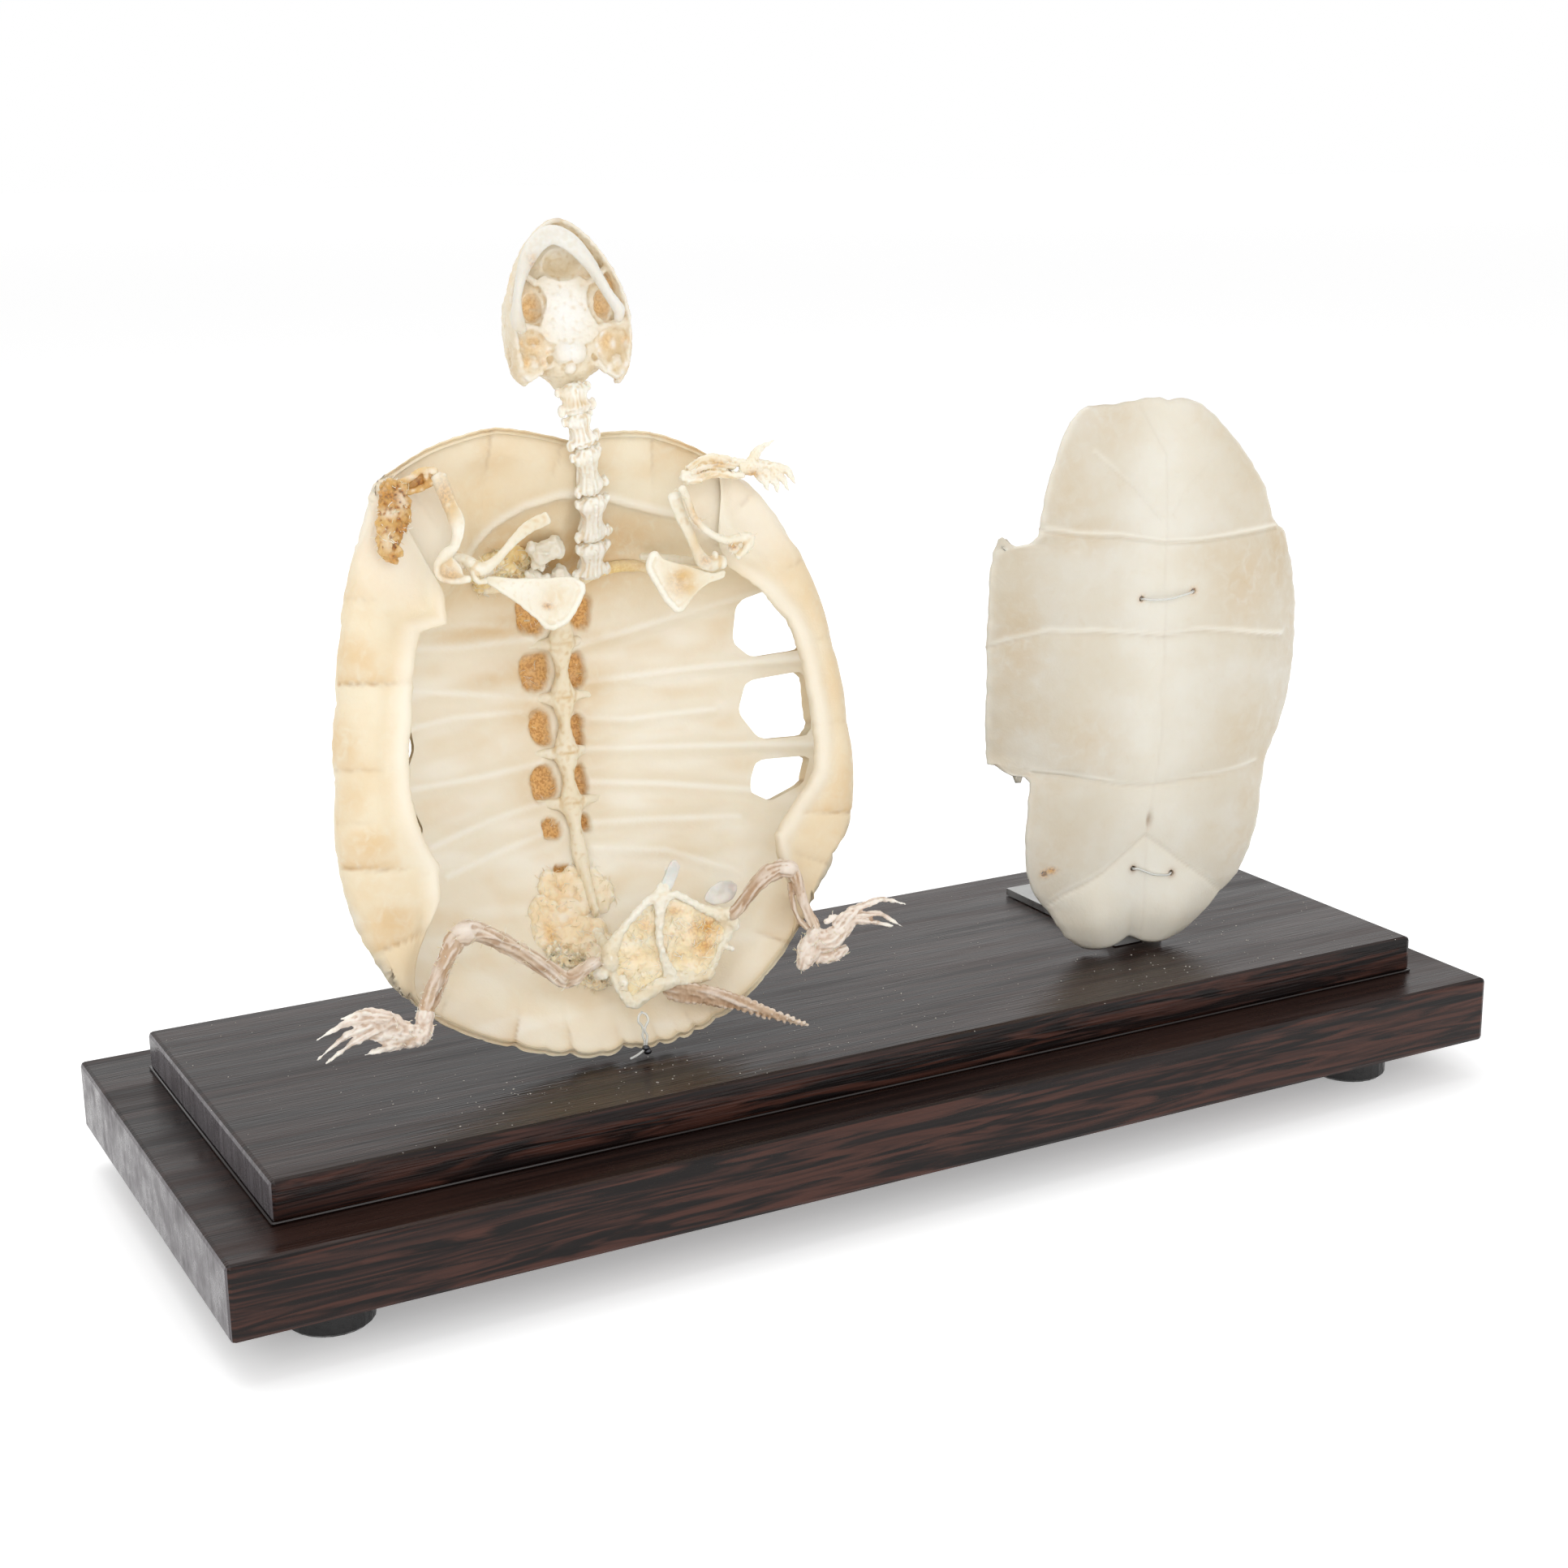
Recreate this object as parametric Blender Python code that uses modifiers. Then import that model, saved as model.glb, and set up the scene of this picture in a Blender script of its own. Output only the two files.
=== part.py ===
"""Turtle skeleton on a stepped wooden stand, with the plastron shown beside the opened shell.

The row frame has its origin on the floor under the middle of the stand.
+X runs along the stand, +Y away from the viewer and +Z up. Sizes below are in millimetres.
"""
import math

import bmesh
import bpy
import numpy as np
from mathutils import Vector

MM = 0.001

# stand
FOOT_H = 11.0
FOOT_R = 10.5
FOOT_INSET_X = 29.0
FOOT_INSET_Y = 23.0
SLAB = (360.0, 138.0, 18.6)
BOARD = (330.0, 108.0, 10.5)
GAP = 0.3
TOP = FOOT_H + SLAB[2] + BOARD[2]

# opened shell: where its rear rim stands, how far it turns and leans back
SHELL_ORIGIN = (-63.2, -26.7, TOP + 1.6)
SHELL_TURN = 5.0
SHELL_LEAN = 12.0
SHELL_CENTRE = (0.0, 76.0)
SHELL_DEPTH = 38.0
SHELL_THICK = 2.4
LIP_RISE = 5.6

# belly plate: where its lower end stands, how far it turns and leans
PLATE_ORIGIN = (93.1, -23.0, TOP + 1.0)
PLATE_TURN = 10.0
PLATE_LEAN = -2.0
PLATE_THICK = 2.2

# steel bracket behind the belly plate
BRACKET_X = 96.0
BRACKET_W = 16.0
BRACKET_T = 2.0
BRACKET_Y = (-19.2, 36.0)
BRACKET_H = 104.0

BONE = (0.80, 0.70, 0.54)
WHITE_BONE = (0.84, 0.79, 0.70)
SKULL_BONE = (0.79, 0.71, 0.57)
DRIED = (0.60, 0.40, 0.22)
LIMB_BONE = (0.72, 0.62, 0.54)
WOOD = (0.035, 0.022, 0.018)
STEEL = (0.55, 0.55, 0.54)
NYLON = (0.86, 0.87, 0.84)
BLACK = (0.02, 0.02, 0.02)

for item in list(bpy.data.objects):
    bpy.data.objects.remove(item, do_unlink=True)

parts = bpy.data.collections.new("turtle_skeleton")
cutters = bpy.data.collections.new("cutters")
bpy.context.scene.collection.children.link(parts)
bpy.context.scene.collection.children.link(cutters)
materials = {}


def axes(turn, lean):
    """Right, up and forward directions of a plate that faces the viewer."""
    turn, lean = math.radians(turn), math.radians(lean)
    out = Vector((-math.sin(turn), -math.cos(turn), 0))
    right = Vector((math.cos(turn), -math.sin(turn), 0))
    forward = out * math.cos(lean) + Vector((0, 0, 1)) * math.sin(lean)
    up = Vector((0, 0, 1)) * math.cos(lean) - out * math.sin(lean)
    return right, up, forward


SHELL = (Vector(SHELL_ORIGIN), *axes(SHELL_TURN, SHELL_LEAN))
PLATE = (Vector(PLATE_ORIGIN), *axes(PLATE_TURN, PLATE_LEAN))
WORLD = (Vector((0, 0, 0)), Vector((1, 0, 0)), Vector((0, 0, 1)), Vector((0, -1, 0)))


def put(place, p):
    """A point given right, up and forward of a place, in the row frame's metres."""
    origin, right, up, forward = place
    return (origin + right * p[0] + up * p[1] + forward * p[2]) * MM


def material(slot, colour, rough, metal=0.0):
    if slot not in materials:
        made = bpy.data.materials.new(slot)
        made.use_nodes = True
        shader = made.node_tree.nodes["Principled BSDF"]
        shader.inputs["Base Color"].default_value = (*colour, 1)
        shader.inputs["Roughness"].default_value = rough
        shader.inputs["Metallic"].default_value = metal
        materials[slot] = made
    return materials[slot]


def add_object(name, mesh, where=None):
    made = bpy.data.objects.new(name, mesh)
    (where or parts).objects.link(made)
    return made


def mesh_object(name, verts, faces, where=None):
    mesh = bpy.data.meshes.new(name)
    mesh.from_pydata([tuple(v) for v in verts], [], faces)
    tidy = bmesh.new()
    tidy.from_mesh(mesh)
    bmesh.ops.recalc_face_normals(tidy, faces=tidy.faces)
    tidy.to_mesh(mesh)
    tidy.free()
    return add_object(name, mesh, where)


def finish(made, slot, colour, rough, metal=0.0, smooth=True):
    made.data.materials.clear()
    made.data.materials.append(material(slot, colour, rough, metal))
    for face in made.data.polygons:
        face.use_smooth = smooth
    return made


def settle(made):
    """Apply an object's modifiers to its mesh."""
    graph = bpy.context.evaluated_depsgraph_get()
    graph.update()
    mesh = bpy.data.meshes.new_from_object(made.evaluated_get(graph))
    old = made.data
    made.modifiers.clear()
    made.data = mesh
    bpy.data.meshes.remove(old)
    return made


def combine(made, others, operation="UNION"):
    """Join or cut a piece with others, one after another."""
    for other in others:
        step = made.modifiers.new(operation.lower(), "BOOLEAN")
        step.operation = operation
        step.solver = "EXACT"
        step.object = other
        settle(made)
        if other.name in parts.objects:
            parts.objects.unlink(other)
            cutters.objects.link(other)
        other.hide_render = True
        other.display_type = "WIRE"
    return made


def bone(name, place, line, sides=8, facing=None, where=None, dome=0.45):
    """A closed loft along a line of (right, up, forward, half width, half thickness)."""
    centres = [put(place, p) for p in line]
    reference = (facing or place[3]).normalized()
    verts, faces = [], []
    count = len(line)
    for i, centre in enumerate(centres):
        along = (centres[min(i + 1, count - 1)] - centres[max(i - 1, 0)]).normalized()
        wide = along.cross(reference).normalized()
        thick = wide.cross(along).normalized()
        for k in range(sides):
            turn = 2 * math.pi * (k + 0.5) / sides
            offset = wide * (line[i][3] * math.cos(turn)) + thick * (line[i][4] * math.sin(turn))
            verts.append(centre + offset * MM)
    for i in range(count - 1):
        for k in range(sides):
            a, b = i * sides + k, i * sides + (k + 1) % sides
            faces.append((a, b, b + sides, a + sides))
    for i, towards in ((0, -1), (count - 1, 1)):
        inner = centres[1] if i == 0 else centres[-2]
        along = (centres[i] - inner).normalized()
        verts.append(centres[i] + along * (dome * min(line[i][3], line[i][4]) * MM))
        tip = len(verts) - 1
        for k in range(sides):
            a, b = i * sides + k, i * sides + (k + 1) % sides
            faces.append((a, b, tip) if towards < 0 else (b, a, tip))
    return mesh_object(name, verts, faces, where)


def flat_piece(name, place, outline, level, half_thick, where=None):
    """A flat plate with a traced outline, as thick as twice half_thick."""
    curve = bpy.data.curves.new(name, "CURVE")
    curve.dimensions = "2D"
    curve.fill_mode = "BOTH"
    curve.extrude = half_thick * MM
    spline = curve.splines.new("POLY")
    spline.points.add(len(outline) - 1)
    for point, (x, y) in zip(spline.points, outline):
        point.co = (x * MM, y * MM, 0, 1)
    spline.use_cyclic_u = True
    shaped = add_object(name + "_outline", curve, cutters)
    graph = bpy.context.evaluated_depsgraph_get()
    graph.update()
    mesh = bpy.data.meshes.new_from_object(shaped.evaluated_get(graph))
    bpy.data.objects.remove(shaped, do_unlink=True)
    tidy = bmesh.new()
    tidy.from_mesh(mesh)
    bmesh.ops.remove_doubles(tidy, verts=tidy.verts, dist=1e-6)
    for vert in tidy.verts:
        x, y, z = vert.co / MM
        vert.co = put(place, (x, y, level(x, y) + z))
    bmesh.ops.recalc_face_normals(tidy, faces=tidy.faces)
    tidy.to_mesh(mesh)
    tidy.free()
    return add_object(name, mesh, where)


def ball(name, place, centre, radii, where=None, rings=6, segments=8):
    made = bmesh.new()
    bmesh.ops.create_uvsphere(made, u_segments=segments, v_segments=rings, radius=1.0)
    for vert in made.verts:
        x, y, z = vert.co
        vert.co = put(place, (centre[0] + x * radii[0], centre[1] + z * radii[1], centre[2] + y * radii[2]))
    bmesh.ops.recalc_face_normals(made, faces=made.faces)
    mesh = bpy.data.meshes.new(name)
    made.to_mesh(mesh)
    made.free()
    return add_object(name, mesh, where)


def box(name, low, high, bevel=0.0, segments=1, where=None):
    made = bmesh.new()
    bmesh.ops.create_cube(made, size=1.0)
    for vert in made.verts:
        vert.co = [((low[i] + high[i]) / 2 + vert.co[i] * (high[i] - low[i])) * MM for i in range(3)]
    if bevel:
        bmesh.ops.bevel(made, geom=made.edges[:], offset=bevel * MM, segments=segments, affect="EDGES",
                        profile=0.5)
    mesh = bpy.data.meshes.new(name)
    made.to_mesh(mesh)
    made.free()
    return add_object(name, mesh, where)


def cylinder(name, centre, radius, low, high, sides=28, bevel=0.0, where=None):
    made = bmesh.new()
    bmesh.ops.create_cone(made, cap_ends=True, segments=sides, radius1=radius * MM, radius2=radius * MM,
                          depth=(high - low) * MM)
    bmesh.ops.translate(made, verts=made.verts, vec=Vector((centre[0], centre[1], (low + high) / 2)) * MM)
    if bevel:
        rim = [e for e in made.edges if abs(e.verts[0].co.z - e.verts[1].co.z) < 1e-6]
        bmesh.ops.bevel(made, geom=rim, offset=bevel * MM, segments=1, affect="EDGES", profile=0.5)
    mesh = bpy.data.meshes.new(name)
    made.to_mesh(mesh)
    made.free()
    return add_object(name, mesh, where)


# stand: slab, raised board and four rubber feet
half = (SLAB[0] / 2, SLAB[1] / 2)
finish(box("base_slab", (-half[0], -half[1], FOOT_H), (half[0], half[1], FOOT_H + SLAB[2]), 1.2, 2),
       "stand_wood", WOOD, 0.25, smooth=False)
finish(box("top_board", (-BOARD[0] / 2, -BOARD[1] / 2, FOOT_H + SLAB[2] + GAP),
           (BOARD[0] / 2, BOARD[1] / 2, TOP), 1.2, 2),
       "board_wood", WOOD, 0.2, smooth=False)
for number, (sx, sy) in enumerate(((-1, -1), (1, -1), (-1, 1), (1, 1)), start=1):
    spot = (sx * (half[0] - FOOT_INSET_X), sy * (half[1] - FOOT_INSET_Y))
    finish(cylinder(f"rubber_foot_{number}", spot, FOOT_R, 0.0, FOOT_H - GAP, 24, 0.8),
           "foot_rubber", BLACK, 0.6)

# rim of the opened shell, traced round from the front notch
RIM = [(0, 151), (7, 153), (20, 152.3), (31, 148), (40, 142), (47.3, 135.3), (52.3, 127.7), (57.2, 118.4),
       (60.9, 106.3), (62.7, 95.2), (64.7, 75.8), (65.1, 61), (63.3, 50), (59, 42.2), (51.3, 31.2),
       (42.5, 19.4), (30.7, 9.2), (22, 4), (13, 0.8), (6, -0.3), (0, 0.8), (-8, -0.3), (-18.3, 1.2),
       (-31.7, 5.8), (-40, 9.5), (-49.9, 15.8), (-58.5, 24.6), (-64.4, 35), (-68, 48.3), (-69, 58),
       (-67.5, 74), (-65.1, 93.9), (-62.6, 108.8), (-59, 122.8), (-54.8, 135), (-50.3, 144.6),
       (-37.2, 151.8), (-20, 155.8), (-9, 153.8)]
# sawn inner edge of the turned-in lip on each side
LIP = [(33, 128), (36, 117), (45, 111), (49.5, 103), (53, 85), (52.5, 64), (47, 56.5), (42, 49), (42.5, 38),
       (-48, 36), (-46, 45), (-46, 52.5), (-51, 64), (-51.8, 74), (-49.8, 88), (-46.5, 104), (-44.5, 108.8),
       (-37, 110), (-36, 119), (-35, 130)]


def polar(outline):
    spots = [(math.atan2(u - SHELL_CENTRE[0], v - SHELL_CENTRE[1]),
              math.hypot(u - SHELL_CENTRE[0], v - SHELL_CENTRE[1])) for u, v in outline]
    spots.sort()
    return np.array([s[0] for s in spots]), np.array([s[1] for s in spots])


RIM_POLAR = polar(RIM)
LIP_POLAR = polar(LIP)


def rim_radius(turn):
    return float(np.interp(turn, *RIM_POLAR, period=2 * math.pi))


def step(low, high, x):
    t = min(max((x - low) / (high - low), 0.0), 1.0)
    return t * t * (3 - 2 * t)


def lip_share(turn):
    """How far the rim turns in as a lip: 0 along the free rim, 1 along the side."""
    side = abs(turn)
    first, last = (0.80, 2.22) if turn > 0 else (0.74, 2.16)
    return step(first - 0.16, first, side) * (1 - step(last, last + 0.22, side))


def rise_share(turn):
    """How far the lip stands up: its front and rear ends lie lower than its middle."""
    return step(0.72, 1.2, abs(turn)) * (1 - step(1.75, 2.2, abs(turn)))


def bowl(u, v):
    """How far the shell's inner face lies behind the rim."""
    turn = math.atan2(u - SHELL_CENTRE[0], v - SHELL_CENTRE[1])
    reach = math.hypot(u - SHELL_CENTRE[0], v - SHELL_CENTRE[1]) / (rim_radius(turn) - SHELL_THICK)
    steep = 0.66 * math.sin(turn) ** 2 + (1.2 if math.cos(turn) > 0 else 1.05) * math.cos(turn) ** 2
    return -SHELL_DEPTH * max(1 - min(reach, 1.0) ** 2.3, 0.0) ** steep


# carapace: bowl, rim and lips as one skin, thickened outwards
COLUMNS = 44
ROWS = (0.25, 0.48, 0.68, 0.84, 0.95)
verts, faces = [put(SHELL, (*SHELL_CENTRE, -SHELL_DEPTH))], []
for k in range(COLUMNS):
    turn = -math.pi + 2 * math.pi * (k + 0.5) / COLUMNS
    radius = rim_radius(turn) - SHELL_THICK
    share, rise = lip_share(turn), rise_share(turn)
    lip_to = radius - 0.8 + share * (float(np.interp(turn, *LIP_POLAR, period=2 * math.pi)) - radius + 0.8)
    out = (math.sin(turn), math.cos(turn))
    profile = [(t * radius, None) for t in ROWS]
    profile += [(radius, -0.8), (radius - share * 0.6, 0.0 + rise * LIP_RISE * 0.5),
                (radius * (1 - 0.35 * share) + lip_to * 0.35 * share - 0.3, 0.6 + rise * (LIP_RISE - 0.8)),
                (lip_to, 0.9 + rise * (LIP_RISE - 0.9))]
    for r, n in profile:
        u, v = SHELL_CENTRE[0] + r * out[0], SHELL_CENTRE[1] + r * out[1]
        verts.append(put(SHELL, (u, v, bowl(u, v) if n is None else n)))
deep = len(ROWS) + 4
for k in range(COLUMNS):
    a, b = 1 + k * deep, 1 + (k + 1) % COLUMNS * deep
    faces.append((0, a, b))
    faces += [(a + i, a + i + 1, b + i + 1, b + i) for i in range(deep - 1)]
carapace = mesh_object("carapace", verts, faces)
inward = (put(SHELL, (0, 76, 0)) - put(SHELL, (0, 76, -38))).normalized()
flip = carapace.data.polygons[0].normal.dot(inward) < 0
thick = carapace.modifiers.new("thickness", "SOLIDIFY")
thick.thickness = SHELL_THICK * MM
thick.offset = 1.0 if flip else -1.0
thick.use_even_offset = True
settle(carapace)

# windows between the rib ends, left open where the lip was sawn
WINDOWS = [[(45.0, 109), (52, 111.5), (57, 107), (59, 95), (48.4, 94), (44.6, 98.5)],
           [(47.5, 88), (59, 89.5), (59.5, 72.5), (49.5, 72.3), (45.5, 80)],
           [(48.5, 67), (59, 67.3), (57, 60), (50, 56), (45.5, 59)]]
windows = []
for number, outline in enumerate(WINDOWS):
    for side, shift in ((1, 0), (-1, 5)):
        traced = [(side * u + shift, v) for u, v in outline][::side]
        windows.append(flat_piece(f"window_{number}_{side}", SHELL, traced, lambda x, y: -26.0, 24.0,
                                  cutters))
combine(carapace, windows, "DIFFERENCE")

# backbone and first rib, fused to the inside of the bowl
BACKBONE = [(2.6, 114, 2.2), (2.0, 108, 3.2), (1.4, 102, 2.3), (1.2, 95, 3.4), (1.1, 88, 2.3), (1.0, 81, 3.4),
            (0.9, 74, 2.3), (0.9, 67, 3.4), (1.0, 60, 2.3), (1.4, 53, 3.2), (1.6, 47, 2.2), (1.4, 40, 2.8),
            (1.4, 33, 2.4)]
line = [(u, v, bowl(u, v) + 1.6, w, 2.6) for u, v, w in BACKBONE]
rib = [(4, 118.5), (11, 120.6), (18, 120.4), (24, 119.5), (32, 116)]
combine(carapace, [
    bone("backbone", SHELL, line),
    bone("first_rib", SHELL, [(u, v, bowl(u, v) + 1.2, 1.6, 1.4) for u, v in rib], 6),
    bone("first_rib_left", SHELL, [(2 - u, v, bowl(2 - u, v) + 1.0, 1.6, 1.2) for u, v in rib[2:]], 6)])
finish(carapace, "shell_bone", BONE, 0.55)

# plastron: rows of (up, middle, half width, how far the sides bend back)
PLATE_ROWS = [(0.4, -3, 13.5, 2), (3.5, -0.8, 19.8, 2), (8, 0, 24, 2.5), (12, 1.5, 27.4, 3),
              (16.5, 1.6, 32.3, 3),
              (24, 1.8, 35.3, 3), (33, 2.5, 36.2, 3), (43, 3.4, 36.3, 3.5), (51.4, 4.5, 36.4, 4),
              (53, 4.5, 45, 11.5), (56.5, 4.5, 46.6, 12), (67, 4.6, 46.8, 12), (79, 4.6, 46.8, 12),
              (91, 4.6, 46.8, 12), (102, 4.2, 46.3, 12), (110, 3.6, 45.5, 12), (114.5, 3.5, 43.5, 11),
              (116.6, 3.2, 35.6, 3.5), (127, 1.7, 32.5, 3), (134, 0.2, 29.3, 3), (141, -1.8, 25.3, 2.5),
              (147, -3.5, 21, 2), (151.3, -5.5, 15.7, 1.5)]
ACROSS = (-1, -0.84, -0.55, 0, 0.55, 0.84, 1)
verts, faces = [], []
for row, (v, middle, reach, bend) in enumerate(PLATE_ROWS):
    for s in ACROSS:
        back = bend * max((abs(s) - 0.5) / 0.5, 0) ** 1.6
        notch = 1.6 if row == 0 and s == 0 else 0.0
        verts.append(put(PLATE, (middle + s * reach, v + notch, -back)))
for row in range(len(PLATE_ROWS) - 1):
    for k in range(len(ACROSS) - 1):
        a = row * len(ACROSS) + k
        faces.append((a, a + 1, a + 1 + len(ACROSS), a + len(ACROSS)))
plastron = mesh_object("plastron", verts, faces)
thick = plastron.modifiers.new("thickness", "SOLIDIFY")
thick.thickness = PLATE_THICK * MM
thick.offset = -1.0 if plastron.data.polygons[62].normal.dot(PLATE[3]) > 0 else 1.0
thick.use_even_offset = True
settle(plastron)

# holes drilled for the two nylon ties and one spare hole
TIES = [((-3.1, 99.1), (12.1, 100.2)), ((-2.5, 22.8), (9.1, 20.4))]
holes = [bone(f"drill_{i}", PLATE, [(u, v, 3, 0.8, 0.8), (u, v, -8, 0.8, 0.8)], 8, PLATE[2], cutters)
         for i, (u, v) in enumerate([p for pair in TIES for p in pair] + [(-28.5, 23.5)])]
combine(plastron, holes, "DIFFERENCE")
finish(plastron, "plate_bone", BONE, 0.5)
for name, (a, b) in zip(("tie_wire_upper", "tie_wire_lower"), TIES):
    path = [(*a, -3.4), (*a, 0.2), (a[0] + 0.9, a[1], 0.9), ((a[0] + b[0]) / 2, (a[1] + b[1]) / 2 - 0.8, 0.9),
            (b[0] - 0.9, b[1], 0.9), (*b, 0.2), (*b, -3.4)]
    finish(bone(name, PLATE, [(*p, 0.35, 0.35) for p in path], 6, PLATE[2]), "wire", NYLON, 0.2)

# steel bracket: upright and flat leg in one bent strip, with its screw
x0, x1 = BRACKET_X - BRACKET_W / 2, BRACKET_X + BRACKET_W / 2
profile = [(BRACKET_Y[0], TOP + GAP), (BRACKET_Y[1], TOP + GAP), (BRACKET_Y[1], TOP + GAP + BRACKET_T),
           (BRACKET_Y[0] + 3.5, TOP + GAP + BRACKET_T), (BRACKET_Y[0] + BRACKET_T, TOP + GAP + 3.5),
           (BRACKET_Y[0] + BRACKET_T, TOP + BRACKET_H), (BRACKET_Y[0], TOP + BRACKET_H)]
verts = [(x * MM, y * MM, z * MM) for x in (x0, x1) for y, z in profile]
count = len(profile)
faces = [tuple(range(count)), tuple(range(count, 2 * count))]
faces += [(i, (i + 1) % count, count + (i + 1) % count, count + i) for i in range(count)]
bracket = mesh_object("bracket", verts, faces)
screw_at = (BRACKET_X, BRACKET_Y[1] - 9)
combine(bracket, [cylinder("screw_hole", screw_at, 2.4, TOP - 2, TOP + 6, 16, where=cutters)], "DIFFERENCE")
finish(bracket, "bracket_steel", STEEL, 0.35, 1.0, smooth=False)
screw = bone("bracket_screw", WORLD, [(screw_at[0], TOP + 1.3, -screw_at[1], 1.9, 1.9),
                                      (screw_at[0], TOP + GAP + BRACKET_T + 0.3, -screw_at[1], 1.9, 1.9),
                                      (screw_at[0], TOP + GAP + BRACKET_T + 0.35, -screw_at[1], 3.4, 3.4),
                                      (screw_at[0], TOP + GAP + BRACKET_T + 1.1, -screw_at[1], 2.6, 2.6)], 12)
finish(screw, "screw_steel", STEEL, 0.3, 1.0)

# skull seen from below, snout up: braincase, cheeks, snout, eye sockets and fossae
SKULL = [(-2.9, 164.9, 8.5, 4, 4), (-2.8, 168.5, 9, 9, 7), (-2.6, 172.5, 9.3, 13, 8),
         (-2.3, 178, 9, 14.8, 8.2),
         (-1.9, 184, 8.6, 15.3, 8.2), (-1.7, 190, 8.4, 12.6, 7.6), (-1.7, 195.5, 8.8, 9.2, 6.6),
         (-1.8, 200, 9.6, 5.8, 5), (-2, 203, 10.4, 2.6, 3)]
skull = bone("skull", SHELL, SKULL, 12)
combine(skull, [bone("cheek_left", SHELL, [(-13.4, 164.8, 9.5, 1.2, 2), (-14, 168, 9.5, 2.2, 4.2),
                                           (-14.4, 174, 9.3, 2.4, 5.6), (-13.8, 180, 9, 2, 4.6)], 8),
                bone("cheek_right", SHELL, [(7.4, 164.6, 9.5, 1.2, 2), (8.2, 168, 9.5, 2.2, 4.2),
                                            (9.4, 174, 9.3, 2.4, 5.6), (9.8, 180, 9, 2, 4.6)], 8),
                bone("crest", SHELL, [(-2.8, 161, 3.4, 0.7, 1), (-2.7, 166, 3, 1, 2.4),
                                      (-2.6, 172, 3.4, 1.4, 3)], 6)])
fossae = []
for side in (-1, 1):
    middle = -2.4
    fossae += [ball(f"fossa_{side}", SHELL, (middle + side * 8.6, 179.5, 14.6), (2.6, 5.2, 6), cutters),
               ball(f"socket_{side}", SHELL, (middle + side * 9.2 + 0.6, 192.5, 4.6), (4.2, 4, 4.2), cutters),
               ball(f"notch_{side}", SHELL, (middle + side * 6.2, 164.0, 9), (2.9, 3.6, 8), cutters),
               ball(f"ear_{side}", SHELL, (middle + side * 14.8, 172, 9), (2.4, 2.8, 2.8), cutters)]
fossae.append(ball("nostril", SHELL, (-2.2, 203.4, 7.4), (2.2, 2.4, 1.5), cutters))
fossae.append(ball("palate", SHELL, (-3.4, 189.5, 18.4), (5.4, 6.5, 4), cutters))
combine(skull, fossae, "DIFFERENCE")
finish(skull, "skull_bone", SKULL_BONE, 0.5)

# lower jaw: a horseshoe over the palate
JAW = [(-15.9, 175.8, 19.6, 1.5, 1.9), (-17.3, 178.6, 19.4, 2.0, 2.1), (-16.7, 183.6, 19.0, 1.4, 1.9),
       (-14.9, 188.6, 18.6, 1.6, 1.7), (-12.7, 193, 18.0, 2.2, 1.5), (-9.5, 197, 17.4, 2.5, 1.3),
       (-5.7, 198.6, 17.2, 2.5, 1.3), (-1.7, 197.0, 17.4, 2.5, 1.3), (1.7, 193, 18.0, 2.1, 1.5),
       (4.1, 188.6, 18.6, 1.7, 1.7), (6.3, 184, 19.0, 1.5, 1.9), (8.5, 179.8, 19.4, 1.7, 2.1),
       (7.6, 176.2, 19.6, 1.3, 1.9)]
finish(bone("mandible", SHELL, JAW, 8), "jaw_bone", WHITE_BONE, 0.45)


def vertebra(name, start, end, wide, waist, thick):
    """One neck bone: broad ends, a narrow waist and a keel down the middle."""
    rows = []
    length = math.dist(start, end)
    ends = 0.95 / length
    for t, w in ((ends, 0.1), (ends + 0.12, 1.0), (0.36, 0.5), (0.55, 0.0), (0.72, 0.5), (0.88 - ends, 1.0),
                 (1 - ends, 0.1)):
        place = [start[i] + (end[i] - start[i]) * t for i in range(3)]
        rows.append((*place, waist + (wide - waist) * w, thick * (0.82 + 0.25 * w)))
    return finish(bone(name, SHELL, rows, 8, dome=0.12), "neck_bone", WHITE_BONE, 0.5)


# eight neck bones from the skull down into the shell
vertebra("neck_1", (-3.0, 163.7, 12.4), (-1.9, 157.7, 11.2), 4.6, 3.6, 2.9)
vertebra("neck_2", (-2.3, 157.3, 11.0), (0.2, 149.9, 7.6), 4.1, 2.7, 2.9)
vertebra("neck_3", (0.3, 149.4, 7.3), (3.9, 138.8, -1.6), 4.3, 2.6, 2.9)
vertebra("neck_4", (4.0, 138.3, -2.0), (6.0, 127.6, -11.0), 4.7, 3.0, 2.9)
vertebra("neck_5", (6.1, 127.1, -11.5), (7.2, 118.8, -18.6), 4.8, 3.4, 2.9)
vertebra("neck_6", (2.0, 116.2, -19.6), (-2.0, 121.2, -18.6), 2.6, 2.3, 2.0)
vertebra("neck_7", (-9.0, 124.9, -15.6), (-1.2, 127.1, -15.2), 3.5, 3.2, 2.6)
vertebra("neck_8", (-9.4, 121.4, -19.2), (-3.6, 116.0, -21.2), 2.4, 2.1, 1.8)

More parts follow.
